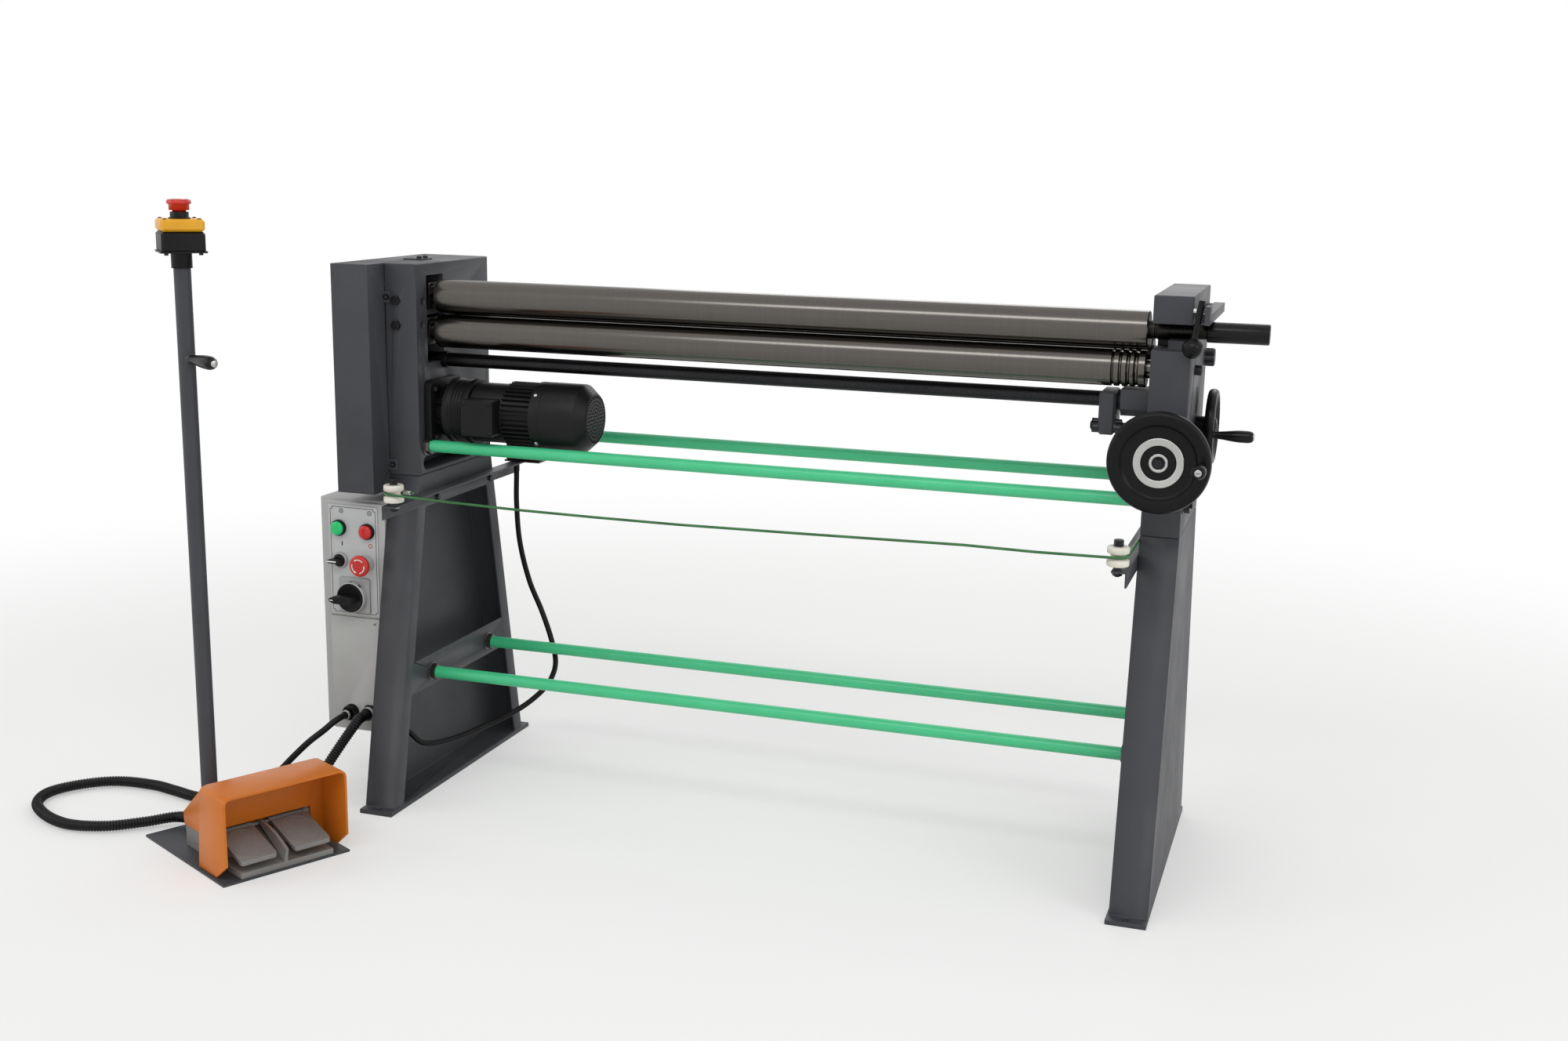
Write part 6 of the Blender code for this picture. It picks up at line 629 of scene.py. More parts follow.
def makeFrontWheel(w):
    front, back, centre = w["front"], w["front"] + w["depth"], w["centre"]
    web = front + w["web"]
    webBack, face = web + w["web"], web - w["dial"]
    inside, dialOut, dialIn = w["radius"] - w["rim"], w["dialOut"], w["dialIn"]
    profile = [(-39.3, 10), (-79.3, 10), (-79.3, w["hub"]), (webBack, w["hub"] + 2), (webBack, inside)]
    profile += rimShape((front + back) / 2, w["depth"] / 2, w["radius"], w["rim"] * 0.42)
    profile += [(front + 0.6, w["radius"] - w["rim"] * 0.6), (front + 2, inside + 6), (web - 1, inside + 2),
        (web, inside), (web, dialOut), (web - 0.6, dialOut), (web - 0.6, dialIn), (web - 2.5, dialIn - 0.5),
        (web - 2.5, 15)]
    lathe("front-wheel-casting", profile, "Y", centre, "wheelPaint", 96, node="front_handwheel")
    dial = [(web, dialOut - 0.3), (face + 1, dialOut - 0.3), (face, dialOut - 1.2)]
    for i in range(1, 8):
        # fine turned rings on the dial's face
        radius = dialOut - 1.2 - (dialOut - dialIn - 2.4) * i / 8
        dial += [(face, radius + 0.25), (face + 0.12, radius)]
    dial += [(face, dialIn + 1.0), (face + 1, dialIn), (web, dialIn)]
    lathe("front-wheel-dial", dial, "Y", centre, "brightSteel", 96, True, 0, body="front_wheel")
    hub = [(web - 2, 15), (face, 14.5), (face - 0.4, 14), (face - 0.4, 9.5), (web - 2.5, 9)]
    lathe("front-wheel-hub-ring", hub, "Y", centre, "brightSteel", 72, True, 0, body="front_wheel")
    nut = [((centre[0], web - 2.2, centre[1]), "-Y")]
    copiesAt("front-wheel-nut", hexHeadMesh(13, 6, 1), nut, "darkSteel", body="front_wheel")
    copiesAt("front-wheel-nut-washer", washerMesh(9.2, 3, 1.2), nut, "darkSteel", body="front_wheel")
    crank = (centre[0] + 64.5, centre[1] - 3)
    lathe("front-crank-handle", gripShape(front - gap, -w["grip"], 17, 22), "Y", crank, "gripPlastic", 40, True,
        0.3, node="front_crank_grip")
    pinEnd = front - w["grip"] - 2 * gap
    pin = [(front + 4, 4), (pinEnd, 4), (pinEnd, 5.5), (pinEnd - 1.4, 5.4), (pinEnd - 2, 4.4), (pinEnd - 2, 1)]
    lathe("front-crank-pin", pin, "Y", crank, "brightSteel", 30, edge=0.2, body="front_wheel")
    slot = prismMesh(blockOutline((-3.6, -0.45), (3.6, 0.45)), "Z", 0, 0.25)
    copiesAt("front-crank-pin-slot", slot, [((crank[0], pinEnd - 1.9, crank[1]), "-Y")], "darkSteel",
        body="front_wheel")


def makeSideWheel(w):
    start, end, centre = w["start"], w["start"] + w["depth"], w["centre"]
    inside, hub, shaft = w["radius"] - w["rim"], w["hub"], w["shaft"]
    profile = [(678.8, shaft), (708.8, shaft), (708.8, hub), (start + 5.3, hub + 1), (start + 5.3, inside)]
    profile += rimShape((start + end) / 2, -w["depth"] / 2, w["radius"], w["rim"] * 0.55)
    profile += [(end - 5.3, inside), (end - 5.3, hub + 1), (end - 1, hub - 2), (end, hub - 4), (end, shaft)]
    lathe("side-wheel-casting", profile, "X", centre, "wheelPaint", 84, node="side_handwheel")
    shaftEnd = [(end - 3, 7), (end + 0.2, 7), (end + 1, 6)]
    lathe("side-wheel-shaft-end", shaftEnd, "X", centre, "darkSteel", 30, edge=0.2, body="side_wheel")
    crank = (centre[0] - 50, centre[1] - 6)
    lathe("side-crank-handle", gripShape(end + gap, w["grip"], 12, 20), "X", crank, "gripPlastic", 40, True, 0.3,
        node="side_crank_grip")
    pinEnd = end + w["grip"] + 2 * gap
    pin = [(end - 3, 4), (pinEnd, 4), (pinEnd, 5.5), (pinEnd + 1.4, 5.4), (pinEnd + 2, 4.4)]
    lathe("side-crank-pin", pin, "X", crank, "brightSteel", 30, edge=0.2, body="side_wheel")


def makeTopGripAndLatch():
    low, high = 725, 821
    grip = [(low, 10.6), (low, 15), (low + 1.5, 16.5), (high - 2, 16.5), (high - 0.5, 15.6), (high, 14.5),
        (high, 2), (high - 1.2, 1.5), (high - 1.2, 0.05), (high - 5.9, 0.05), (high - 5.9, 10.6)]
    lathe("top-roll-handle", grip, "X", (0.0, rollSizes["topZ"]), "gripPlastic", 60, True, node="top_roll_grip")
    pivot, ball = Vector((719, -82, 966)), Vector((711, -85, 909))
    reach = (pivot - ball).length + 17
    angles = [pi * (1 - i / 18) for i in range(1, 17)]
    lever = [(-16, 0.4)] + [(16 * cos(a), 16 * sin(a)) for a in angles if 16 * cos(a) < 14.6]
    lever += [(15.4, 5.6), (18, 5), (reach - 1, 5), (reach, 4)]
    turn = Vector((0, 0, 1)).rotation_difference((pivot - ball).normalized()).to_matrix().to_4x4()
    place = machinePlace @ Matrix.Translation(ball * mm) @ turn
    lathe("drop-latch-lever", lever, "Z", (0, 0), "wheelPaint", 40, node="lock_lever", place=place)
    pinHead = [(709, 4.2), (713.6, 4.2), (713.9, 2.5)]
    lathe("latch-pin-head", pinHead, "X", (-82, 966), "brightSteel", 24, edge=0.3)
    profile = [(-676.2, 12.5), (-646.2, 12.5), (-646.2, 15), (-636.2, 15), (-636.2, 12.5), (644.2, 12.5)]
    lathe("lifting-shaft", profile, "X", (29, 808.3), "darkSteel", 56, edge=0.5, node="cross_shaft")
    print("handwheels, grips and latch made")


motor = {
    "centre": (10, 718.34), "start": -646.2, "flange": 58.5, "neck": 34, "reducer": 50, "frame": 123, "body": 54,
    "cowl": 62, "cowlLength": 105, "cowlWall": 1.6,
}


def makeMotor(m):
    start, half, (y, z) = m["start"], m["flange"], m["centre"]
    ring = start + m["neck"]
    end = ring + m["reducer"]
    flange = roundedBlock((y - half, z - half), (y + half, z + half), 14, 6)
    prism("motor-flange", flange, "X", start, start + 14, "motorPaint", 0.8)
    profile = [(start + 1, 41), (start + 20, 41), (ring - 6, 43), (ring - 1, 50), (ring, 58.5), (ring + 1, 60),
        (ring + 9, 60), (ring + 10.5, 59), (ring + 13, 56.6)]
    for along in range(17, 41, 6):
        # shallow cast bands round the reducer
        profile += [(ring + along, 56.6), (ring + along + 1.2, 57.8), (ring + along + 2.8, 57.8),
            (ring + along + 4, 56.6)]
    profile += [(end - 10.5, 59), (end - 9, 60), (end - 1, 60), (end, 59)]
    lathe("gear-reducer-housing", profile, "X", (y, z), "motorPaint", 84, edge=0.5, node="gear_reducer")
    ribs = prismMesh([(42, -2.2), (55, -1.6), (55, 1.6), (42, 2.2)], "X", start + 12, ring + 1)
    for vert in ribs.verts:
        if vert.co.x < start + 14 and vert.co.y > 50:
            vert.co.y = 46
    copiesRound("gear-reducer-ribs", ribs, "X", 8, (y, z), "motorPaint", tau / 16)
    bolts = [((start + 14, y + sy * 44, z + sz * 44), "+X") for sy in (-1, 1) for sz in (-1, 1)]
    copiesAt("motor-flange-bolts", hexHeadMesh(13, 8, 1.4), bolts, "darkSteel")
    angles = [tau * (i + 0.5) / 6 for i in range(6)]
    around = [((ring - 0.2, y + 51 * cos(a), z + 51 * sin(a)), "-X") for a in angles]
    copiesAt("gear-reducer-screws", socketScrewMesh(8, 5, 4), around, "darkSteel")
    first, last = end + gap, end + gap + m["frame"]
    profile = [(first, 52.5), (first + 1, 54), (first + 64, 54), (first + 66, 53), (last + 5.8, 53)]
    lathe("motor-frame", profile, "X", (y, z), "motorPaint", 84, edge=0.5, node="motor_body")
    outline = [(52, -1.5), (59.1, -1.0), (59.6, -0.6), (59.6, 0.6), (59.1, 1.0), (52, 1.5)]
    copiesRound("motor-fins", prismMesh(outline, "X", last - 57, last), "X", 36, (y, z), "motorPaint", tau / 72)
    front, inset = y - m["body"] - 24, 0.6
    low, high = (first + 1, z - 32), (first + 63, z + 32)
    prism("terminal-box", roundedBlock(low, high, 5), "Y", front + 7, y - 20, "motorPaint", 0.8)
    lid = roundedBlock((low[0] - inset, low[1] - inset), (high[0] + inset, high[1] + inset), 5.5)
    prism("terminal-box-lid", lid, "Y", front - 2, front + 6.6, "motorPaint", 1.6)
    screws = [((a, front - 2, b), "-Y") for a in (low[0] + 6, high[0] - 6) for b in (low[1] + 6, high[1] - 6)]
    copiesAt("terminal-box-screws", panScrewMesh(7, 2, 3), screws, "darkSteel")
    makeCowl(m, last + gap)


def roundedBlock(low, high, radius, steps=5):
    (left, down), (right, up) = low, high
    corners = [(right - radius, up - radius), (left + radius, up - radius),
               (left + radius, down + radius), (right - radius, down + radius)]
    points = []
    for quarter, (x, y) in enumerate(corners):
        for i in range(steps + 1):
            angle = pi / 2 * (quarter + i / steps)
            points.append((x + radius * cos(angle), y + radius * sin(angle)))
    return points


def sectorTile(inner, outer, sweep, hole, start, end):
    # one cell of a perforated disc, with its round hole at the cell's middle, as a closed solid
    middle, count = (inner + outer) / 2, 16
    edgePoints = []
    for i in range(count):
        angle = tau * i / count + pi / 4
        a, b = cos(angle), sin(angle)
        size = max(abs(a), abs(b))
        radius = middle + (outer - inner) / 2 * a / size
        turn = sweep / 2 * b / size
        edgePoints.append((radius * cos(turn), radius * sin(turn), a, b))
    bm = bmesh.new()
    loops = []
    for along in (start, end):
        loops.append([bm.verts.new((along, y, z)) for y, z, a, b in edgePoints])
        loops.append([bm.verts.new((along, middle + hole * a, hole * b)) for y, z, a, b in edgePoints])
    for first, second in ((0, 1), (1, 3), (3, 2), (2, 0)):
        for i in range(count):
            j = (i + 1) % count
            bm.faces.new((loops[first][i], loops[first][j], loops[second][j], loops[second][i]))
    return bm


def makeCowl(m, start):
    end, centre = start + m["cowlLength"], m["centre"]
    radius, face, wall = m["cowl"], 45, m["cowlWall"]
    shoulder, inside = end - 20, end - wall
    profile = [(start, radius - wall), (start, radius - 0.4), (start + 1, radius), (start + 16, radius),
        (start + 17, radius - 0.7), (start + 19, radius - 0.7), (start + 20, radius), (shoulder - 2, radius),
        (shoulder, radius - 0.5), (shoulder + 2, radius - 1.8), (end - 2.2, face + 1.6), (end - 0.8, face + 0.2),
        (end, face - 2), (end, face - 6), (inside, face - 6), (inside - 1, face - 2), (shoulder, radius - 3.4),
        (shoulder - 3, radius - wall)]
    lathe("fan-cowl", profile, "X", centre, "motorPaint", 96, True, 0.3, node="motor_cowl")
    pitch, hole = 6.5, 2.1
    for ring in range(1, 7):
        tile = sectorTile((ring - 0.5) * pitch, (ring + 0.5) * pitch, tau / (ring * 6), hole, inside, end)
        copiesRound("fan-grille-ring-" + str(ring), tile, "X", ring * 6, centre, "motorPaint")
    boss = [(inside, pitch / 2), (end, pitch / 2), (end + 0.6, 2)]
    lathe("fan-grille-boss", boss, "X", centre, "motorPaint", 30, edge=0.1)
    disc = [(end - 26, 12), (end - 26, 42), (end - 23, 42), (end - 14, 14)]
    lathe("fan-disc", disc, "X", centre, "blackPlastic", 40, edge=0.5)
    blade = prismMesh(blockOutline((12, -0.9), (44, 0.9)), "X", end - 26, end - 9)
    copiesRound("fan-blades", blade, "X", 8, centre, "blackPlastic")
    angles, reach = [tau * (i + 0.5) / 4 for i in range(4)], radius - 0.4
    screws = [((start + 8, centre[0] + reach * cos(a), centre[1] + reach * sin(a)), (a - pi / 2, 0.0, 0.0))
        for a in angles]
    copiesAt("fan-cowl-screws", panScrewMesh(8, 2.4, 3), screws, "brightSteel")
    print("motor made")


panel = {
    "doorFront": -92, "front": -93.8, "left": -825, "right": -723, "low": 338, "high": 545,
    "greenLamp": (-803, 502), "redLamp": (-744, 499), "selector": (-802, 441), "stop": (-748, 439),
    "main": (-776, 374),
}


def stripMesh(rows, whole, front, back):
    # a flat strip between rows of (x, z) point pairs, as a closed thin solid facing -Y
    bm = bmesh.new()
    cells = [[bm.verts.new((p[0], y, p[1])) for p in row for y in (front, back)] for row in rows]
    for a, b in zip(cells, cells[1:] + cells[:1] if whole else cells[1:]):
        for i, j in ((0, 2), (2, 3), (3, 1), (1, 0)):
            bm.faces.new((a[i], a[j], b[j], b[i]))
    if not whole:
        for cell in (cells[0], cells[-1]):
            bm.faces.new((cell[0], cell[2], cell[3], cell[1]))
    return bm


def markRing(centre, radius, width, front, back, steps=48, start=0.0, sweep=tau):
    # a printed ring, or part of one
    whole, rows, radii = sweep == tau, [], (radius - width / 2, radius + width / 2)
    for i in range(steps if whole else steps + 1):
        a = start + sweep * i / steps
        rows.append([(centre[0] + r * cos(a), centre[1] + r * sin(a)) for r in radii])
    return stripMesh(rows, whole, front, back)


def markLine(first, second, width, front, back):
    along = (Vector(second) - Vector(first)).normalized()
    side = Vector((-along.y, along.x)) * width / 2
    rows = [[Vector(p) - side, Vector(p) + side] for p in (first, second)]
    return stripMesh(rows, False, front, back)


def notchedBorder(low, high, notch, width, front, back):
    # the panel's border line, stepping in at each corner
    (x0, z0), (x1, z1) = low, high
    path = [(x0 + notch, z0), (x1 - notch, z0), (x1 - notch, z0 + notch), (x1, z0 + notch), (x1, z1 - notch),
        (x1 - notch, z1 - notch), (x1 - notch, z1), (x0 + notch, z1), (x0 + notch, z1 - notch), (x0, z1 - notch),
        (x0, z0 + notch), (x0 + notch, z0 + notch)]
    parts = []
    for first, second in zip(path, path[1:] + path[:1]):
        along = (Vector(second) - Vector(first)).normalized() * width / 2
        parts.append(markLine(Vector(first) - along, Vector(second) + along, width, front, back))
    return joinMeshes(parts)


def markPiece(name, parts, finish, body="machine_frame"):
    piece = makeObject(name, joinMeshes(parts), finish)
    piece.data.shade_flat()
    return settle(piece, body=body, slot=finishSlots[finish])


def makePanel(p):
    dressed("control_cabinet", "cabinetPaint", 1.2, 3)
    # the panel's plate, its film and the printed marks
    low, high = Vector((p["left"], p["low"])), Vector((p["right"], p["high"]))
    prism("panel-plate", roundedBlock(low, high, 2.5), "Y", p["front"], p["doorFront"] - gap, "panelFilm", 0.3,
        node="control_panel")
    skin, inset = (p["front"] - 0.12, p["front"] + 0.1), Vector((4, 4))
    marks = [notchedBorder(low + inset, high - inset, 4, 1.0, *skin)]
    for centre in (Vector((-798, 534)), Vector((-739, 533))):
        # a ring with a cross in it over each lamp
        marks.append(markRing(centre, 4.2, 0.9, *skin))
        for turn in (pi / 4, -pi / 4):
            reach = Vector((cos(turn), sin(turn))) * 4.0
            marks.append(markLine(centre - reach, centre + reach, 0.9, *skin))
    marks.append(markLine((-798, 468.5), (-798, 476.5), 2.4, *skin))
    markPiece("panel-lines", marks, "panelInk")
    markPiece("panel-off-mark", [markRing((-738.5, 472), 3.4, 1.5, *skin)], "panelRedInk")
    makeLamps(p)
    makeKnobs(p)
    print("control panel made")


def makeLamps(p):
    back = p["front"] - gap
    rim, angles = back - 9, [pi / 16 * i for i in range(1, 8)]
    profile = [(-81, 11), (back - 3, 11), (back - 3, 13.1), (rim, 12.9)]
    profile += [(rim - 4 * sin(a), 12.9 * cos(a) ** 0.5) for a in angles]
    bezel = [(back, 13.3), (back, 15), (back - 5, 15), (back - 7, 14.3), (back - 7, 13.3)]
    for node, place, lens in (("green_lamp", p["greenLamp"], "greenLens"), ("red_lamp", p["redLamp"], "redLens")):
        name = node.replace("_", "-")
        lathe(name + "-lens", profile, "Y", place, lens, 60, edge=0, node=node)
        lathe(name + "-bezel", bezel, "Y", place, "darkSteel", 60, True, 0.3)


def knobBlade(name, node, place, length, tail, half, nose, top, foot, edge):
    # the raised bar of a rotary knob, pointed at its left end
    (x, z), shoulder, end = place, half * 1.6 - length, tail + half * 0.35
    outline = [(-length, nose), (-length, -nose), (shoulder, -half), (tail, -half), (end, -half * 0.4),
        (end, half * 0.4), (tail, half), (shoulder, half)]
    bm = prismMesh([(x + a, z + b) for a, b in outline], "Y", top, foot)
    shaped(name, bm, "blackPlastic", edge, 3, node=node)


def makeKnobs(p):
    front, place = p["front"], p["selector"]
    bezel = [(front, 11.8), (front, 15), (front - 4, 15), (front - 6, 13.4), (front - 6, 11.8)]
    lathe("selector-bezel", bezel, "Y", place, "palePlastic", 60, True, 0.3)
    back = front - 4.3
    base = [(-81, 11), (back + 1, 11), (back - 4, 10.8), (back - 5.3, 9.6)]
    lathe("selector-base", base, "Y", place, "blackPlastic", 60, edge=0.5, body="selector")
    knobBlade("selector-blade", "selector_knob", place, 19, 8, 4, 1.4, back - 16, back - 4.8, 0.9)
    line = markLine((place[0] - 18, place[1]), (place[0] + 2, place[1]), 2.6, back - 16.15, back - 15.5)
    markPiece("selector-pointer", [line], "whiteInk", "selector")
    # main switch: grey square plate with round ring and black handle
    place, plate = p["main"], front - 5
    prism("main-switch-plate", roundedBlock((-805, 344), (-741, 410), 4), "Y", plate, front, "palePlastic", 0.8)
    ring = [(plate, 7), (plate, 29.5), (plate - 9, 29.5), (plate - 10.5, 28), (plate - 10.5, 26.8),
        (plate - 3, 26.6), (plate - 3, 7)]
    lathe("main-switch-ring", ring, "Y", place, "palePlastic", 84, True)
    back = plate - 8.3
    base = [(-81, 6), (plate - 4, 6), (plate - 4, 26.2), (back - 4, 26.2), (back - 5, 25.4), (back - 4, 23.5)]
    lathe("main-switch-base", base, "Y", place, "blackPlastic", 84, edge=0.5, body="main_switch")
    knobBlade("main-switch-handle", "main_switch_knob", place, 30, 17, 7, 2.6, back - 28, back - 8.8, 1.5)
    line = markLine((place[0] - 28, place[1]), (place[0] - 20, place[1]), 1.6, back - 28.15, back - 27.5)
    markPiece("main-switch-pointer", [line], "whiteInk", "main_switch")
    # two dark windows in the ring's rim, over the switch's two places
    windows = []
    for turn in (radians(92), radians(52)):
        out, side = Vector((cos(turn), sin(turn))), Vector((-sin(turn), cos(turn))) * 3.2
        rows = [[Vector(place) + out * reach + side * s for reach in (28.6, 29.75)] for s in (-1, 1)]
        windows.append(stripMesh(rows, False, plate - 8, plate - 3.5))
    markPiece("main-switch-windows", windows, "panelInk")
    makeMushroom("panel-stop", "panel_estop_button", "Y", p["stop"], front - 30, -1, -86, "panel_stop", 0.0)
    collar = [(front, 11.8), (front, 16), (front - 9, 16), (front - 12, 14.8), (front - 12, 11.8)]
    lathe("panel-stop-collar", collar, "Y", p["stop"], "palePlastic", 60, True, 0.3)


def makeMushroom(name, node, axis, place, front, outward, stemEnd, body, skirt):
    # a 40 mm mushroom button with its domed face, finger rim and stem
    back = front - outward * 12
    profile = [(stemEnd, 11), (back + outward * 3, 11)]
    if skirt:
        # a thin sleeve that slides over the collar below it
        sleeve = ((3, 15.3), (-skirt, 15.3), (-skirt, 16.5))
        profile += [(back + outward * along, radius) for along, radius in sleeve]
    rim = ((3, 16.6), (4, 18.6), (5, 19.8), (6.2, 20), (7.5, 19.6))
    profile += [(back + outward * along, radius) for along, radius in rim]
    for angle in (pi / 16 * i for i in range(1, 8)):
        profile.append((back + outward * (7.5 + 3.9 * sin(angle)), 15.6 + 4 * cos(angle)))
    for share in (1 - i / 8.6 for i in range(1, 9)):
        profile.append((front - outward * 0.6 * share ** 2, 15.6 * share))
    stand = pedalPlace if axis == "Z" else machinePlace
    lathe(name + "-button", profile, axis, place, "redPlastic", 72, edge=0, node=node, place=stand)
    # three white arrows round the face that show which way it is turned to let go
    arcs = []
    level = front - outward * 0.35
    skin = (level, level + outward * 0.5)
    for start in (0.75, 0.75 + tau / 3, 0.75 + tau * 2 / 3):
        arcs.append(markRing(place, 12.6, 1.7, *skin, 20, start, 1.2))
        ends = ((start + 1.2, (10.6, 14.6)), (start + 1.54, (12.4, 12.8)))
        head = [[(place[0] + r * cos(tip), place[1] + r * sin(tip)) for r in radii] for tip, radii in ends]
        arcs.append(stripMesh(head, False, *skin))
    bm = joinMeshes(arcs)
    if axis == "Z":
        for vert in bm.verts:
            vert.co = vert.co.xzy
    settle(makeObject(name + "-arrows", bm, "whiteInk"), body=body, slot="red_plastic", place=stand)


pulleys = {
    "x": 629.5, "front": -190, "rear": 302, "low": 581.3, "height": 31, "radius": 17.5, "groove": 11.5,
    "bore": 4.3, "rope": 4.5, "ropeZ": 596.8,
}


def makeTripRopeParts(p):
    for node in ("rope_bracket_left", "rope_bracket_right"):
        dressed(node, "charcoalPaint", 0.5)
    low, high = p["low"], p["low"] + p["height"]
    middle, corner = (low + high) / 2, p["radius"] - 2.5
    angles = [pi / 10 * i for i in range(6)]
    profile = [(low, p["bore"])] + [(low + 2.5 - 2.5 * cos(a), corner + 2.5 * sin(a)) for a in angles]
    for share in (i / 12 for i in range(13)):
        dip = sin(pi * share) ** 0.8
        profile.append((middle + (share - 0.5) * 12, p["radius"] - (p["radius"] - p["groove"]) * dip))
    profile += [(high - 2.5 + 2.5 * cos(a), corner + 2.5 * sin(a)) for a in reversed(angles)]
    profile.append((high, p["bore"]))
    x, front = p["x"], p["front"]
    places = {"left_pulley": (-x, front), "right_pulley": (x, front), "rear_pulley": (x, p["rear"])}
    for node, place in places.items():
        lathe(node.replace("_", "-") + "-wheel", profile, "Z", place, "nylon", 56, True, 0, node=node)
    heads = [((*place, high + gap), "+Z") for place in places.values()]
    copiesAt("pulley-bolt-heads", hexHeadMesh(13.4, 10.2, 1.0), heads, "darkSteel")
    nuts = [((*place, 572.2), "-Z") for place in places.values()]
    copiesAt("pulley-bolt-nuts", nutMesh(13.4, 6, 4, 2), nuts, "darkSteel")
    copiesAt("pulley-washers", washerMesh(9.5, 4.3, 1.5), nuts, "brightSteel")
    bolts = [((side * 643.4, y, 558), way) for side, way in ((-1, "+X"), (1, "-X")) for y in (-16, 190)]
    copiesAt("bracket-bolts", hexHeadMesh(10.4, 5.6, 0.8), bolts, "darkSteel")
    switch = dressed("rope_switch", "blockIron", 1.0, 3)
    # the switch's far end is a red cap
    capStart = max(v.co.x for v in switch.data.vertices) - 18 * mm
    bm = bmesh.new()
    bm.from_mesh(switch.data)
    everything = [*bm.verts, *bm.edges, *bm.faces]
    bmesh.ops.bisect_plane(bm, geom=everything, plane_co=(capStart, 0, 0), plane_no=(1, 0, 0))
    bm.to_mesh(switch.data)
    bm.free()
    recoloured(switch, "redPlastic", lambda centre: centre.x > capStart)
    screws = [((x, p["rear"] + side * 11, 617), "+Z") for x in (-648, -592) for side in (-1, 1)]
    copiesAt("rope-switch-screws", panScrewMesh(6, 1.8, 2.6), screws, "brightSteel")
    # the crimp that closes the rope's loop behind the left pulley
    crimp = [(-619, 3.2), (-618, 4.2), (-606, 4.2), (-605, 3.2)]
    lathe("rope-crimp", crimp, "X", (p["front"] + 14.75, p["ropeZ"]), "brightSteel", 24)
    print("trip rope's brackets, pulleys and switch made")


def makeFasteners():
    fasteners = [
        ("left-head-bolts", hexHeadMesh(16.4, 7.3, 1), "darkSteel", [
            ((-686, -69, 921.6), "-Y"), ((-686, -69, 877.3), "-Y")]),
        ("guard-screws", socketScrewMesh(9.6, 4.6, 4.4), "darkSteel", [
            ((-703, -71.3, 927.5), "-Y"), ((-699.25, -71.3, 623.6), "-Y"),
            ((-699.25, 40, 989.3), "+Z"), ((-699.25, 62, 989.3), "+Z")]),
        ("right-head-bolt", hexHeadMesh(26.4, 16.4, 1.4), "darkSteel", [((708.5, 181, 868), "+X")]),
        ("right-head-cap-screw", socketScrewMesh(16.6, 10.3, 8.6), "darkSteel", [((708.5, 19, 864), "+X")]),
        ("bracket-stud-nuts", nutMesh(20.6, 10.4, 6.6, 2.5), "darkSteel", [
            ((562, 0.0, 768), "-X"), ((589, 0.0, 768), "+X")]),
        ("cable-gland", glandMesh(12.2, 16, 9.2, 10.3), "blackPlastic", [((-790, -92, 149), "-Y")]),
        ("hose-gland", hoseGlandMesh(13.3, 16.3), "blackPlastic", [((-749.5, -92, 152), "-Y")]),
        ("cabinet-cover-screws", panScrewMesh(7, 2, 3), "brightSteel", [
            ((-737, -92, 325), "-Y"), ((-737, -92, 125), "-Y")]),
    ]
    for name, template, finish, places in fasteners:
        copiesAt(name, template, places, finish)
    lathe("bracket-stud", [(550, 5.6), (552, 6.7), (646, 6.7)], "X", (0.0, 768), "darkSteel", 30, edge=0.3)
    print("fasteners made")


def glandMesh(hexHalf, hexLength, domeRadius, domeLength):
    # a cable gland: its hexagon, its dome and the sealing ring at its foot
    body = prismMesh(hexOutline(hexHalf * 2), "Z", 0.0, hexLength)
    dome = latheMesh([(hexLength - 1, domeRadius), (hexLength + domeLength * 0.5, domeRadius),
            (hexLength + domeLength, domeRadius * 0.8)], "Z", (0, 0), 30)
    ring = latheMesh([(0, hexHalf * 1.22), (2.4, hexHalf * 1.22), (3, hexHalf * 1.15)], "Z", (0, 0), 36)
    return joinMeshes([body, dome, ring])


def hoseGlandMesh(radius, length):
    # a hose gland: its turned body in a hexagon nut
    waist = radius * 0.95
    profile = [(0, radius), (length * 0.55, radius), (length * 0.6, waist), (length * 0.95, waist),
               (length, radius * 0.9)]
    body = latheMesh(profile, "Z", (0, 0), 40)
    nut = prismMesh(hexOutline(radius * 2.05), "Z", 0.0, length * 0.45)
    return joinMeshes([body, nut])


cordRoutes = {
    "switchCable": [
        (-634, 290, 571.7), (-634, 290, 558), (-630, 280, 495), (-615, 262, 419), (-584, 240, 346),
        (-545, 217, 290), (-520, 206, 238), (-503, 188, 199), (-498, 155, 174), (-506, 120, 154),
        (-530, 75, 132), (-572, 25, 111), (-615, -35, 97), (-648, -78, 100), (-672, -92, 124),
        (-692, -92, 130), (-704.2, -92, 130)],
    "stopCable": [
        (-790, -118.3, 149), (-790, -131, 149), (-796, -146, 144), (-808, -162, 131), (-827, -182, 113),
        (-849, -200, 88), (-872, -217, 60), (-889, -234, 42), (-900, -254, 31), (-906, -276, 20),
        (-909, -298, 15), (-910.5, -320, 15.5), (-910.9, -338, 18), (-910.9, -353.1, 18)],
    "hose": [
        (-749.5, -108.3, 152), (-749.5, -130, 152), (-750, -150, 144), (-759, -173, 121), (-771, -189, 96),
        (-787, -202, 67), (-810, -214, 40), (-842, -226, 22), (-880, -236, 17), (-940, -252, 12),
        (-1009, -270, 12), (-1068, -258, 12), (-1125, -247, 12), (-1204, -256, 12),
        (-1259, -302, 12), (-1278, -356, 12), (-1246, -413, 12), (-1152, -460, 12),
        (-1077, -448, 12), (-1020, -408, 13), (-975, -379, 18), (-932, -390, 24),
        (-905.7, -406.4, 25.5), (-884, -418, 25.5)],
}


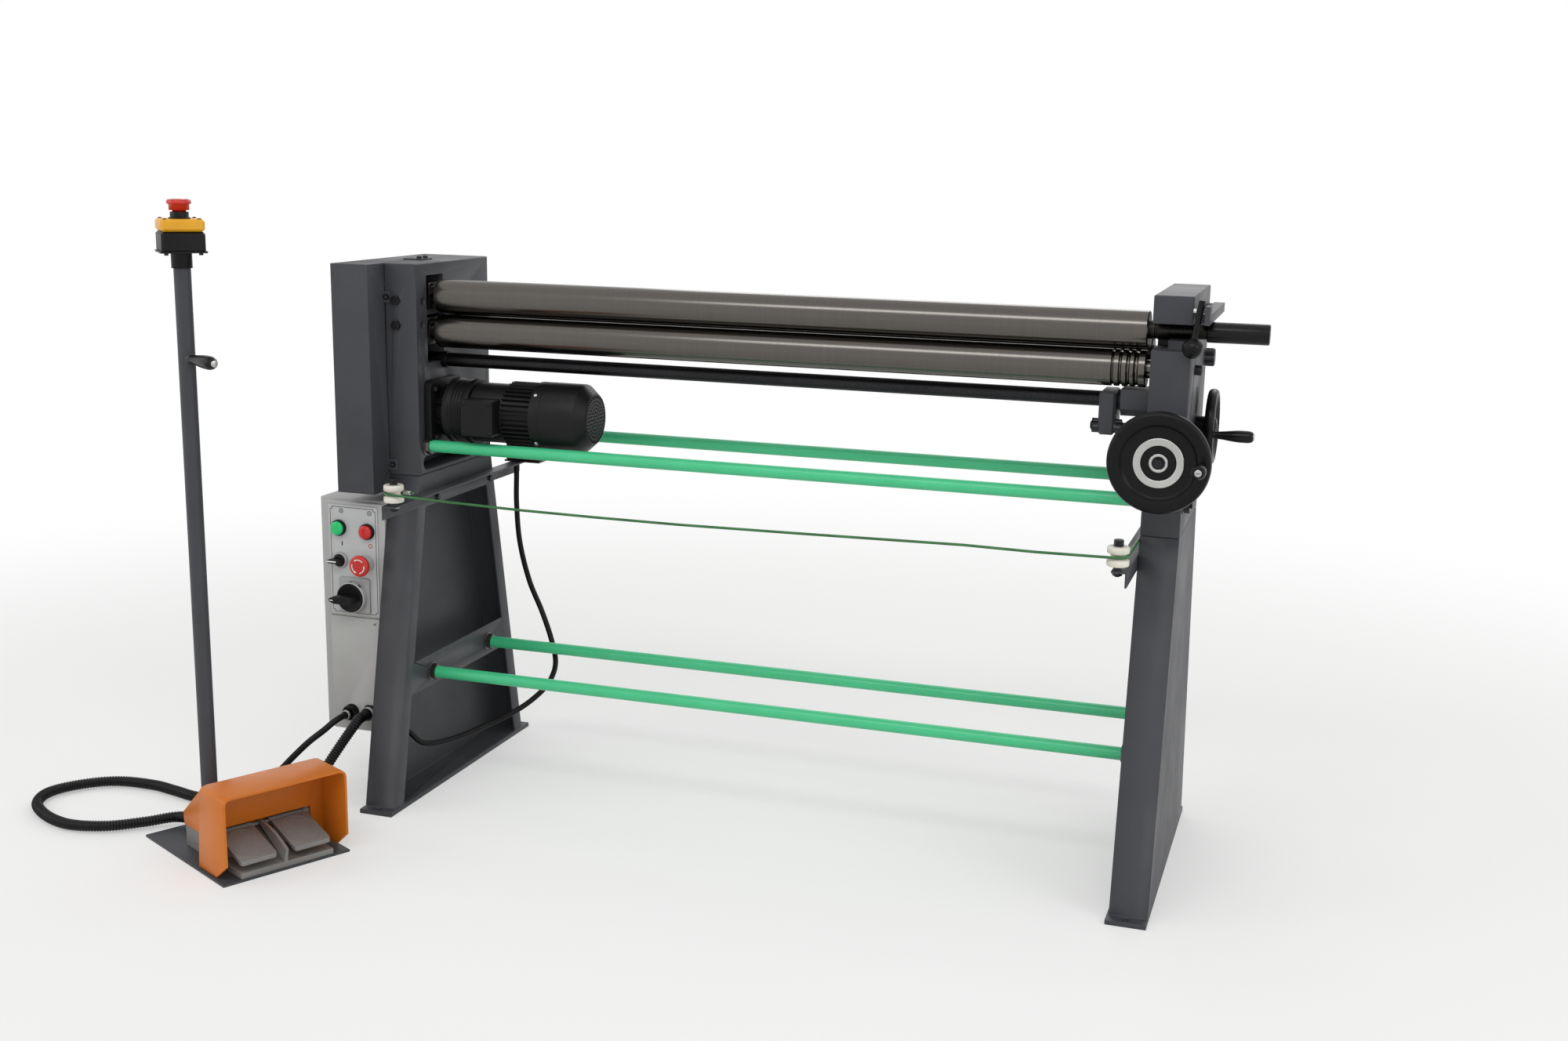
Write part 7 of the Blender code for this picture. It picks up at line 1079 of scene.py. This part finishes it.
def smoothRoute(route, steps=12):
    # a smooth curve through the route's points, straight in its first and last spans
    points = [Vector(p) * mm + machineZero for p in route]
    last = len(points) - 1
    tangents = {}
    for i in range(1, last):
        before = points[i - 1] if i < last - 1 else points[i]
        after = points[i + 1] if i > 1 else points[i]
        tangents[i] = (after - before).normalized()
    fine = [points[0]]
    for i in range(1, last - 1):
        chord = (points[i + 1] - points[i]).length
        for t in (step / steps for step in range(steps)):
            square, cube = t ** 2, t ** 3
            there = (2 * cube - 3 * square + 1) * points[i] + (cube - 2 * square + t) * chord * tangents[i]
            onward = (3 * square - 2 * cube) * points[i + 1] + (cube - square) * chord * tangents[i + 1]
            fine.append(there + onward)
    return fine + [points[last - 1], points[last]]


def ropeRoute(p):
    # tied round the left pulley, along the front with a sag, round two pulleys and back to its switch
    level = p["ropeZ"]
    reach = p["groove"] + p["rope"] / 2 + 1

    def arc(centre, start, end, steps):
        turns = [radians(start + (end - start) * i / steps) for i in range(steps + 1)]
        return [(centre[0] + reach * cos(a), centre[1] + reach * sin(a), level) for a in turns]

    left, right, rear = (-p["x"], p["front"]), (p["x"], p["front"]), (p["x"], p["rear"])
    points = [(left[0] + 30, left[1] + reach, level)] + arc(left, 90, 270, 12)
    for share, sag in ((0.09, 0.5), (0.20, 0.87), (0.31, 1.0), (0.43, 1.0), (0.60, 0.62), (0.81, 0.05),
            (0.90, 0.2)):
        points.append((left[0] + (right[0] - left[0]) * share, left[1] - reach, level - 8 * sag))
    points += arc(right, 270, 360, 8) + arc(rear, 0, 90, 8)
    points += [(-540, p["rear"], level), (-548.7, p["rear"], level)]
    return [Vector(point) * mm + machineZero for point in points]


def lineCurve(name, points):
    curve = bpy.data.curves.new(name, "CURVE")
    curve.dimensions = "3D"
    spline = curve.splines.new("POLY")
    spline.points.add(len(points) - 1)
    for i, point in enumerate(points):
        spline.points[i].co = (*point, 1.0)
    return linked(name, curve)


def makeCord(name, points, diameter, finish, node):
    piece = lineCurve(name, points)
    curve = piece.data
    curve.bevel_depth = diameter * mm / 2
    curve.bevel_resolution = 6
    curve.use_fill_caps = True
    curve.materials.append(finishes[finish])
    settle(piece, node, place=None)


def ribbedTree():
    # a tube along a curve whose radius rises and falls once for each rib
    sockets = {"Finish": ("Material", None), "Diameter": ("Float", 0.02), "Rib Depth": ("Float", 0.0016),
        "Rib Pitch": ("Float", 0.005), "Steps For Each Rib": ("Float", 6.0), "Sides": ("Int", 20)}
    tree, given = startTree("ribbedTube", sockets)
    step = reckon(tree, "DIVIDE", given["Rib Pitch"], given["Steps For Each Rib"])
    fine = addNode(tree, "GeometryNodeResampleCurve", {"Curve": given["Geometry"], "Length": step}, mode="LENGTH")
    along = addNode(tree, "GeometryNodeSplineParameter").outputs["Length"]
    angle = reckon(tree, "MULTIPLY", reckon(tree, "DIVIDE", along, given["Rib Pitch"]), tau)
    level = reckon(tree, "MULTIPLY_ADD", reckon(tree, "COSINE", angle), 0.5, 0.5)
    drop = reckon(tree, "MULTIPLY", reckon(tree, "POWER", level, 0.6), given["Rib Depth"])
    radius = reckon(tree, "SUBTRACT", reckon(tree, "MULTIPLY", given["Diameter"], 0.5), drop)
    circle = {"Radius": 1.0, "Resolution": given["Sides"]}
    ring = addNode(tree, "GeometryNodeCurvePrimitiveCircle", circle).outputs[0]
    values = {"Fill Caps": True, "Curve": fine.outputs[0], "Profile Curve": ring, "Scale": radius}
    return endTree(tree, given, addNode(tree, "GeometryNodeCurveToMesh", values).outputs[0])


def makeHose(points):
    diameter = 20 * mm
    values = {"Finish": finishes["hoseJacket"], "Diameter": diameter, "Rib Depth": 1.6 * mm, "Rib Pitch": 5 * mm,
        "Steps For Each Rib": 6.0, "Sides": 20}
    piece = runTree("ribbed-hose", lineCurve("hoseLine", points), ribbedTree(), values)
    settle(piece, "pedal_hose", place=None)


def makeCords():
    cords = [
        ("trip-rope", ropeRoute(pulleys), pulleys["rope"], "ropeCover", "emergency_rope", "taut"),
        ("switch-cable", smoothRoute(cordRoutes["switchCable"]), 10.5, "cableJacket", "switch_cable", "hanging"),
        ("stop-cable", smoothRoute(cordRoutes["stopCable"]), 12, "cableJacket", "estop_cable", "loose"),
    ]
    for name, points, diameter, finish, node, lay in cords:
        makeCord(name, points, diameter, finish, node)
    makeHose(smoothRoute(cordRoutes["hose"]))
    print("cords made")


pedals = {"left": (33, 98), "right": (130, 197), "frontZ": 35, "rearZ": 60, "reach": 82}
pole = {
    "centre": (102, 250), "radius": 14, "gripZ": 838, "grip": 78, "boxSide": 70,
    "boxTurn": radians(45) - pedalTurn,
}


def treadPlaces(low, high, p):
    # raised dots in an oval on the sloping top of a pedal
    middle, half = (low + high) / 2, (high - low) / 2
    rise = (p["rearZ"] - p["frontZ"]) / p["reach"]
    places, pitch = [], 4.6
    for i in range(-8, 9):
        for j in range(-8, 9):
            x, d = i * pitch + (j % 2) * pitch / 2, j * pitch * 0.87
            if (x / (half * 0.80)) ** 2 + (d / (p["reach"] * 0.40)) ** 2 < 1.0:
                depth = p["reach"] / 2 + d
                places.append(((middle + x, depth, p["frontZ"] + rise * depth), (atan2(rise, 1), 0.0, 0.0)))
    return places


def rimMesh(low, high, p):
    # the raised oval line round a pedal's dots
    middle, half = (low + high) / 2, (high - low) / 2
    rise = (p["rearZ"] - p["frontZ"]) / p["reach"]
    bm = bmesh.new()
    rings = []
    for angle in (tau * i / 48 for i in range(48)):
        depth = p["reach"] / 2 + p["reach"] * 0.45 * sin(angle)
        point = Vector((middle + half * 0.9 * cos(angle), depth, p["frontZ"] + rise * depth))
        out = (point - Vector((middle, p["reach"] / 2, point.z))).normalized() * 0.9
        section = ((-1, -0.3), (-0.6, 0.7), (0.6, 0.7), (1, -0.3))
        rings.append([bm.verts.new(point + out * share + Vector((0, 0, up))) for share, up in section])
    for a, b in zip(rings, rings[1:] + rings[:1]):
        for i in range(4):
            j = (i + 1) % 4
            bm.faces.new((a[i], a[j], b[j], b[i]))
    return bm


def makePedals(p):
    dressed("pedal_floor_plate", "charcoalPaint", 0.5)
    dressed("pedal_base", "castGreyPaint", 0.8)
    dressed("pedal_guard", "orangePaint", 0.9)
    for node, reach in (("left_pedal", p["left"]), ("right_pedal", p["right"])):
        dressed(node, "castGreyPaint", 0.9)
        name, where = node.replace("_", "-"), {"body": node, "place": pedalPlace, "slot": slotOf[node]}
        dot = latheMesh([(-0.3, 1.5), (0.45, 1.35), (0.8, 0.7)], "Z", (0, 0), 8)
        copiesAt(name + "-tread", dot, treadPlaces(*reach, p), "castGreyPaint", **where)
        settle(makeObject(name + "-rim", rimMesh(*reach, p), "castGreyPaint"), **where)
    screws = [((x, 190, 78), (-radians(39.5), 0.0, 0.0)) for x in (50, 185)]
    copiesAt("pedal-cover-screws", panScrewMesh(7, 2.4, 3), screws, "brightSteel", place=pedalPlace)
    # the sleeve over the hose's end, in line with its last stretch
    sleeve = latheMesh([(-6, 12.6), (4, 12.6), (5, 12), (14, 12), (15, 11.2)], "Z", (0, 0), 36)
    before, end = (Vector(point) for point in cordRoutes["hose"][-2:])
    turn = Vector((0, 0, 1)).rotation_difference((before - end).normalized()).to_euler()
    copiesAt("hose-end-sleeve", sleeve, [(end, tuple(turn))], "blackPlastic")
    print("pedals made")


def makePole(p):
    low, top, (x, depth) = 4.3, 999.7, p["centre"]
    stand = {"place": pedalPlace}
    tube = [(low, 11.5), (low, 17), (low + 4, 17), (low + 6, 14.6), (low + 7, p["radius"]), (top, p["radius"]),
        (top, 11.5)]
    lathe("pole-tube", tube, "Z", p["centre"], "charcoalPaint", 48, True, 0.3, node="estop_pole", **stand)
    surface, level = depth - p["radius"], (x, p["gripZ"])
    boss = [(depth - 8, 9), (surface - 4.6, 9), (surface - 6, 7.8)]
    lathe("pole-grip-boss", boss, "Y", level, "charcoalPaint", 36, edge=0.3, **stand)
    start = surface - 6.3
    grip = gripShape(start, -p["grip"], 16, 23, 4.4, 18, 0.7, 0.8, 0.8)
    lathe("pole-handle", grip, "Y", level, "gripPlastic", 44, True, 0.2, node="pole_grip", **stand)
    head = start - p["grip"] - 2 * gap
    pin = [(start, 4), (head + 0.6, 4), (head + 0.6, 5.5), (head - 1.0, 5.4), (head - 1.4, 4.4)]
    lathe("pole-grip-pin", pin, "Y", level, "brightSteel", 30, edge=0.2, **stand)
    dressed("estop_box_base", "blackPlastic", 1.0, 3)
    lid = dressed("estop_box_lid", "yellowPlastic", 0.8, 3)
    recoloured(lid, "blackPlastic", lambda centre: centre.z > 1069.4 * mm)
    turned = pedalPlace @ Matrix.Translation(Vector((x, depth, 0.0)) * mm) @ Matrix.Rotation(p["boxTurn"], 4, "Z")
    half = p["boxSide"] / 2 - 7.5
    corners = [(sx * half, sy * half) for sx in (-1, 1) for sy in (-1, 1)]
    upper, lower = ([((*corner, z), way) for corner in corners] for z, way in ((1069, "+Z"), (1013.8, "-Z")))
    copiesAt("stop-box-screws", panScrewMesh(6.5, 1.6, 2.8), upper, "darkSteel", place=turned)
    copiesAt("stop-box-lower-screws", socketScrewMesh(7, 3.4, 3.2), lower, "darkSteel", place=turned)
    nutRing = [(1069, 15.4), (1069, 17.6), (1070.6, 17.6), (1071.2, 17), (1071.2, 15.4)]
    lathe("stop-collar-ring", nutRing, "Z", p["centre"], "blackPlastic", 60, True, 0.3, **stand)
    makeMushroom("pole-stop", "pole_estop_button", "Z", p["centre"], 1101, 1, 1027, "pole_stop", 6)
    print("pole and its stop box made")


studio = {
    "floor": "#F4F4F2",
    "floorSize": 40.0,
    "plainFrom": 1.5,
    "plainTo": 3.4,
    "nearShare": 0.35,
    "worldLight": 0.62,
    "lookAt": (0.1, 0.0, 0.7),
    "lamps": {
        "key": ((0.3, -2.6, 3.5), (3.5, 0.8), 42.0),
        "left": ((-3.4, -2.0, 2.2), (1.8, 1.8), 16.0),
        "right": ((3.6, -1.4, 2.2), (1.8, 1.8), 22.0),
        "rear": ((0.0, 3.6, 2.8), (3.4, 1.2), 26.0),
    },
}


def seenDirectly(tree):
    # 1 for rays that show the background: from the camera, off gloss and through clear pieces
    path = addNode(tree, "ShaderNodeLightPath").outputs
    seen = reckon(tree, "MAXIMUM", path["Is Camera Ray"], path["Is Glossy Ray"])
    return reckon(tree, "MAXIMUM", seen, path["Is Transmission Ray"])


def makeFloor(s):
    # pale paper that turns plain white away from the machine and keeps its shadow near it
    made, tree, coordinates = startFinish("pale studio floor")
    shader = tree.nodes["Principled BSDF"]
    colour = mixColours(tree, "#F2F2F1", s["floor"], noise(tree, coordinates, 60.0, 2.0))
    tree.links.new(colour, shader.inputs["Base Color"])
    shader.inputs["Roughness"].default_value = 0.9
    shader.inputs["Specular IOR Level"].default_value = 0.0
    away = addNode(tree, "ShaderNodeVectorMath", {0: coordinates}, operation="LENGTH").outputs["Value"]
    fade = spread(tree, away, s["plainFrom"], s["plainTo"], s["nearShare"], interpolation_type="SMOOTHSTEP")
    share = reckon(tree, "MULTIPLY", fade, seenDirectly(tree))
    plain = addNode(tree, "ShaderNodeEmission", {"Color": linear("#FFFFFF"), "Strength": 1.0}).outputs[0]
    both = addNode(tree, "ShaderNodeMixShader", {0: share, 1: shader.outputs[0], 2: plain}).outputs[0]
    tree.links.new(both, tree.nodes["Material Output"].inputs["Surface"])
    finishes["floor"] = made
    bm = bmesh.new()
    bmesh.ops.create_grid(bm, x_segments=1, y_segments=1, size=s["floorSize"] / mm / 2)
    makeObject("studio-floor", bm, "floor")


def makeStudio(s):
    makeFloor(s)
    world = bpy.data.worlds.new("studio")
    world.use_nodes = True
    bpy.context.scene.world = world
    tree = world.node_tree
    background = tree.nodes["Background"]
    tree.links.new(spread(tree, seenDirectly(tree), 0.0, 1.0, s["worldLight"]), background.inputs["Strength"])
    background.inputs["Color"].default_value = linear("#FFFFFF")
    for name, (place, (width, height), power) in s["lamps"].items():
        data = bpy.data.lights.new(name, "AREA")
        data.shape, data.size, data.size_y, data.energy = "RECTANGLE", width, height, power
        lamp = linked(name, data)
        lamp.location = place
        lamp.rotation_euler = (Vector(s["lookAt"]) - Vector(place)).to_track_quat("-Z", "Y").to_euler()
    bpy.context.scene.view_settings.view_transform = "Standard"
    print("studio made")


makeCords()
makeRolls(rollSizes)
makeTieRods()
makeHeads()
makeFasteners()
makeFrontWheel(frontWheel)
makeSideWheel(sideWheel)
makeTopGripAndLatch()
makeMotor(motor)
makePanel(panel)
makeTripRopeParts(pulleys)
makePedals(pedals)
makePole(pole)
makeStudio(studio)
